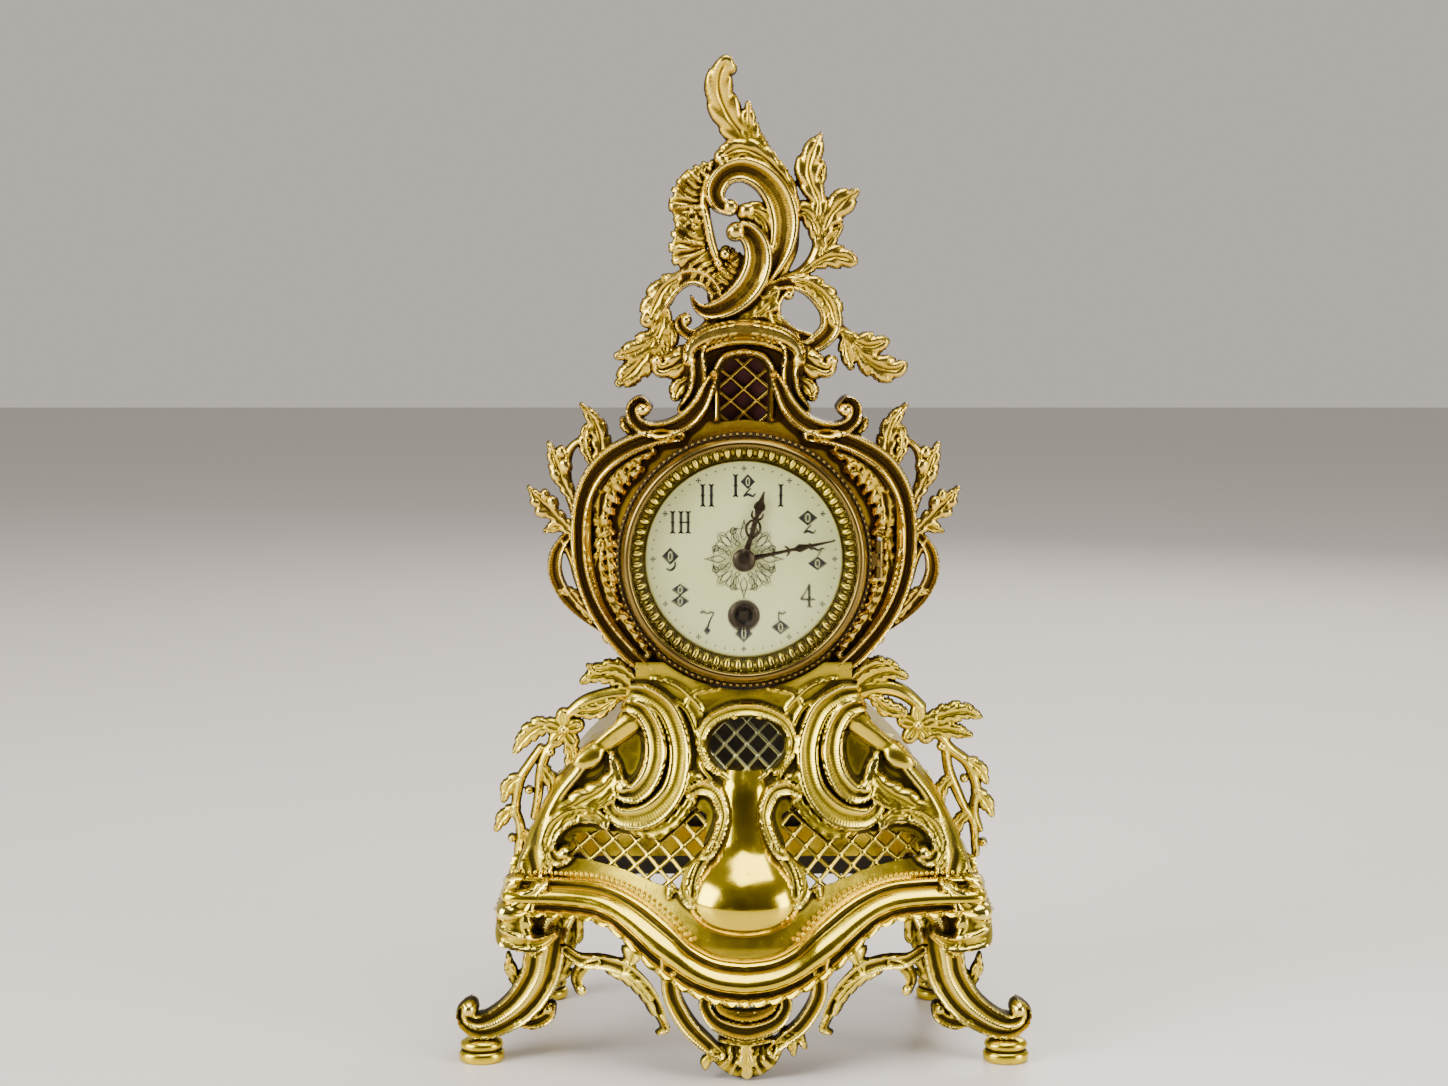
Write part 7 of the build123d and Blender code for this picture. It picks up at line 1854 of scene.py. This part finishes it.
printed, pale = [], []
for hour in range(1, 13):
    a = math.radians(90 - 30 * hour)
    dark, light = numeral(hour, 24.8 * math.cos(a), 24.8 * math.sin(a))
    printed += dark
    pale += light
for minute in range(60):
    a = math.radians(6 * minute)
    if minute % 5:
        printed.append(flat_dot(31 * math.cos(a), 31 * math.sin(a), 0.3))
    else:
        for dx, dz in ((0, 0), (0.62, 0), (-0.62, 0), (0, 0.62), (0, -0.62)):
            printed.append(flat_dot(30.6 * math.cos(a) + dx, 30.6 * math.sin(a) + dz, 0.3))

# %% Rosette
rosette = []


def turned_line(points, angle):
    """Points given along an axis at an angle: (distance along, distance aside, width)."""
    c, s = math.cos(angle), math.sin(angle)
    return [(r * c - t * s, r * s + t * c, w) for r, t, w in points]


PETALS = [  # (distance along, distance aside, width), each drawn on both sides of an axis
    [(6.2, 0, .22), (8.2, 1.1, .36), (10.0, 0.8, .36), (12.8, 0, .30)],
    [(8.4, 3.0, .26), (9.9, 2.6, .36), (10.6, 3.9, .36), (9.5, 4.6, .30), (8.7, 3.9, .26)],
    [(5.0, 1.0, .20), (7.0, 3.2, .34), (9.6, 3.6, .34), (10.3, 2.0, .22)],
    [(4.6, 2.6, .20), (6.6, 5.0, .32), (8.6, 6.4, .32), (9.0, 8.2, .20)],
]
DIAGONAL_PETAL = [(5.4, 0, .22), (8.0, 1.0, .36), (10.2, 0.7, .36), (12.0, 0.1, .26)]
PRINT_LEVEL = 0.012
for n in range(4):
    axis = math.pi / 2 * n
    diagonal = axis + math.pi / 4
    for petals, angle in ((PETALS, axis), ([DIAGONAL_PETAL], diagonal)):
        for side in (-1, 1):
            for petal in petals:
                line = [(r, side * t, w) for r, t, w in petal]
                rosette.append(flat_ribbon(turned_line(line, angle), PRINT_LEVEL))
    for angle, away, radius in ((axis, 13.1, 0.28), (diagonal, 12.7, 0.22)):
        rosette.append(flat_dot(*turned_line([(away, 0, 0)], angle)[0][:2], radius, PRINT_LEVEL))
for n in range(8):
    a = math.pi / 4 * n + math.pi / 8
    for small, away in ((1.3, 7.9), (0.6, 7.9), (0.8, 9.9), (0.7, 5.6)):
        ring_line = [(away * math.cos(a) + small * math.cos(t), away * math.sin(a) + small * math.sin(t),
                      0.26)
                     for t in np.linspace(0, 2 * math.pi, 13)]
        rosette.append(flat_ribbon(ring_line, PRINT_LEVEL))
for radius in (4.4, 10.3):
    circle = [(radius * math.cos(a), radius * math.sin(a), 0.16) for a in np.linspace(0, 2 * math.pi, 33)]
    rosette.append(flat_ribbon(circle, PRINT_LEVEL))
for n in range(24):
    a = 2 * math.pi * n / 24
    rosette.append(flat_ribbon(turned_line([(10.3, -0.9, .20), (10.9, 0, .24), (10.3, 0.9, .20)], a),
                               PRINT_LEVEL))

# %% The dial object: enamel and two prints in one piece
dial_object = build("dial_enamel", join([disc]), enamel, ["dial"])


def pierce(target, x, z, radius):
    """Cut a round hole from front to back through an object."""
    drill_mesh = bpy.data.meshes.new("drill")
    bm = bmesh.new()
    bmesh.ops.create_cone(bm, cap_ends=True, segments=48, radius1=radius * MM, radius2=radius * MM,
                          depth=20 * MM)
    bmesh.ops.rotate(bm, verts=bm.verts, matrix=Matrix.Rotation(math.pi / 2, 3, "X"))
    bmesh.ops.translate(bm, verts=bm.verts, vec=(x * MM, FACE * MM, z * MM))
    bm.to_mesh(drill_mesh)
    bm.free()
    drill = bpy.data.objects.new("drill", drill_mesh)
    bpy.context.scene.collection.objects.link(drill)
    cut = target.modifiers.new("hole", "BOOLEAN")
    cut.operation = "DIFFERENCE"
    cut.object = drill
    bpy.context.view_layer.update()
    seen = target.evaluated_get(bpy.context.evaluated_depsgraph_get())
    pierced = bpy.data.meshes.new_from_object(seen)
    target.modifiers.clear()
    target.data = pierced
    bpy.data.objects.remove(drill)


pierce(dial_object, hole_x, hole_z, 3.75)
halo = turned([(4.0, -0.01), (5.5, -0.01)], (hole_x, hole_z), 48, closed=False)
halo = halo.moved(lambda p: p + (0, FACE, 0))
printed_shape, rosette_shape, pale_shape = join(printed), join(rosette + [halo]), join(pale)


def add_print(target, shape, material):
    """Add faces with their own finish to an object."""
    bm = bmesh.new()
    bm.from_mesh(target.data)
    target.data.materials.append(material)
    slot = len(target.data.materials) - 1
    verts = [bm.verts.new(tuple(p * MM)) for p in shape.points]
    for group in shape.faces:
        for face in group:
            new = bm.faces.new([verts[k] for k in face])
            new.material_index = slot
    bm.normal_update()
    for face in bm.faces:
        if face.material_index == slot and face.normal.y > 0:
            face.normal_flip()
    bm.to_mesh(target.data)
    bm.free()


add_print(dial_object, printed_shape, print_black)
add_print(dial_object, rosette_shape, print_brown)
add_print(dial_object, pale_shape, enamel)
print("dial faces", len(dial_object.data.polygons))

# %% Winding collar
collar_low, collar_high = corners("winding_collar")
collar_radius = (collar_high[0] - collar_low[0]) / 2
collar = turned([(2.45, collar_high[1] - 0.05), (2.45, collar_high[1] - 0.35), (3.05, collar_high[1] - 0.7),
                 (3.05, collar_low[1] + 0.5), (3.3, collar_low[1] + 0.15), (3.7, collar_low[1]),
                 (4.2, collar_low[1] + 0.1), (4.6, collar_low[1] + 0.4), (collar_radius, FACE - 0.02),
                 (3.8, FACE - 0.02),
                 (3.8, collar_high[1] - 0.05)], (hole_x, hole_z), 64)
build("winding_collar_ring", collar, dark_hands, ["winding_collar"])


# %% [markdown]
# ## Hands
#
# Both hands are pierced and filed by hand from thin sheet: a stem with side loops and a spade for the hour,
# a longer stem with a crossbar and a diamond for the minute. They are drawn lying along one axis, given a
# rounded face by the same stroke method, then turned to the time on the dial.

# %% Hands
def hand(name, node, strokes, hub, hole, angle, material):
    """Pierced hand: strokes along +z from the arbor, turned clockwise by an angle."""
    ground = corners(node)[1][1] - 0.28
    drawing = Drawing(strokes + [Stroke("plain", [(0, 0, hub), (0, 0.05, hub)], 0.3)],
                      openings=[lambda x, z: np.hypot(x, z) - hole], soft=0.25)
    reach = max(stroke.high[1] for stroke in strokes)
    shape = casting(drawing, lambda x, z, out: np.stack([x, ground - out, z], -1),
                    lines_over(-4.4, 4.4, 0.13),
                    lines_over(-3.4, reach, 0.13), back=0.28, round_back=0.2)
    c, s = math.cos(angle), math.sin(angle)
    turned_shape = shape.moved(lambda p: np.stack([DIAL_X + p[:, 0] * c + p[:, 2] * s, p[:, 1],
        DIAL_Z - p[:, 0] * s + p[:, 2] * c], -1))
    return build(name, turned_shape, material, [node])


def hand_strokes(spine, curls):
    """The spine of a hand, with each curl drawn on both sides of it."""
    pairs = [[(side * x, z, w) for x, z, w in curl] for curl in curls for side in (-1, 1)]
    return [Stroke("stem", spine, 0.3)] + [Stroke("stem", line, 0.28) for line in pairs]


hour_strokes = hand_strokes(
    [(0, 2, 2.6), (0, 5, 2.0), (0, 9, 1.5), (0, 12, 1.8), (0, 15, 1.4), (0, 18, 2.9), (0, 20.5, 1.9),
     (0, 23.7, 0.6)],
    [[(0, 7.4, 0.8), (1.7, 9.0, 0.8), (2.4, 11.0, 0.9), (1.6, 13.0, 0.8), (0, 13.8, 0.8)],
     [(0, 13.8, 0.8), (1.6, 14.8, 0.8), (1.9, 16.4, 0.6)],
     [(0, 17, 0.8), (1.5, 18.0, 0.9), (1.2, 19.6, 0.8), (0, 20.4, 0.6)]])
minute_strokes = hand_strokes(
    [(0, 2, 2.4), (0, 6, 1.6), (0, 12, 1.2), (0, 17, 1.2), (0, 20, 2.2), (0, 23, 1.3), (0, 31.1, 0.5)],
    [[(0, 17.4, 0.6), (1.1, 19.2, 0.7), (0, 21.2, 0.6)]])
minute_collar = [(-1.6, 14.4, 0.5), (-0.8, 15.2, 0.8), (0, 15.4, 1.0), (0.8, 15.2, 0.8), (1.6, 14.4, 0.5)]
minute_strokes.insert(1, Stroke("stem", minute_collar, 0.28))
minute_strokes.append(Stroke("stem", [(-0.9, 22.6, 0.5), (0, 23.0, 0.9), (0.9, 22.6, 0.5)], 0.28))
hand("hour_hand_pierced", "hour_hand", hour_strokes, 7.0, 2.5, math.radians(16.5), dark_hands)
hand("minute_hand_pierced", "minute_hand", minute_strokes, 6.0, 1.6, math.radians(78), dark_hands)
cap_high = corners("hand_collet")[1]
cap_y = cap_high[1]
cap = turned([(1.05, cap_y), (3.85, cap_y), (3.9, cap_y - 0.25), (3.6, cap_y - 0.6), (2.9, cap_y - 1.05),
              (2.1, cap_y - 1.35),
              (1.5, cap_y - 1.5), (1.05, cap_y - 1.5)], segments=64)
build("hand_collet_domed", cap, dark_hands, ["hand_collet"])

# %% [markdown]
# ## Finishes for the pieces kept from the engineering model
#
# The drum, the movement and the fasteners already have their true shape, turned or cut, so they keep it and
# only get their finish: lacquered brass for the drum and plates, toned brass for the hinge, blued and
# polished steel for screws, springs and arbors, and black paint for the sheet behind the base. That black
# also stands in for the shade inside the base (painted shade).

# %% Finishes
FINISHES = {
    "drum_brass": (drum_brass, ["movement_can", "can_cover"]),
    "toned": (toned_brass, ["bezel_hinge_leaf", "glass_retaining_ring"]),
    # black paint on the back plate, which also stands in for the shade inside the base: painted shade
    "black": (shade_black_sheet, ["base_back_plate"]),
    "dark": (dark_hands, ["winding_arbor", "centre_arbor"]),
    "plates": (plate_brass, ["dial_plate", "going_barrel", "front_plate", "rear_plate", "pillars",
                             "centre_wheel", "third_wheel",
                             "fourth_wheel", "escape_wheel", "balance_wheel", "balance_cock",
                             "minute_wheel", "hour_wheel",
                             "cannon_pinion", "regulator", "set_knob"]),
    "steel": (steel, ["foot_bolts", "bezel_hinge_pin", "large_screws", "small_screws", "mainspring", "click",
                      "click_spring", "pallet_lever", "hairspring"]),
}
finished = 0
for material, nodes in FINISHES.values():
    for node in nodes:
        for n in range(len(frame["nodes"][node].data.materials)):
            frame["nodes"][node].data.materials[n] = material
        finished += 1
print(finished, "nodes given a finish")

# %% [markdown]
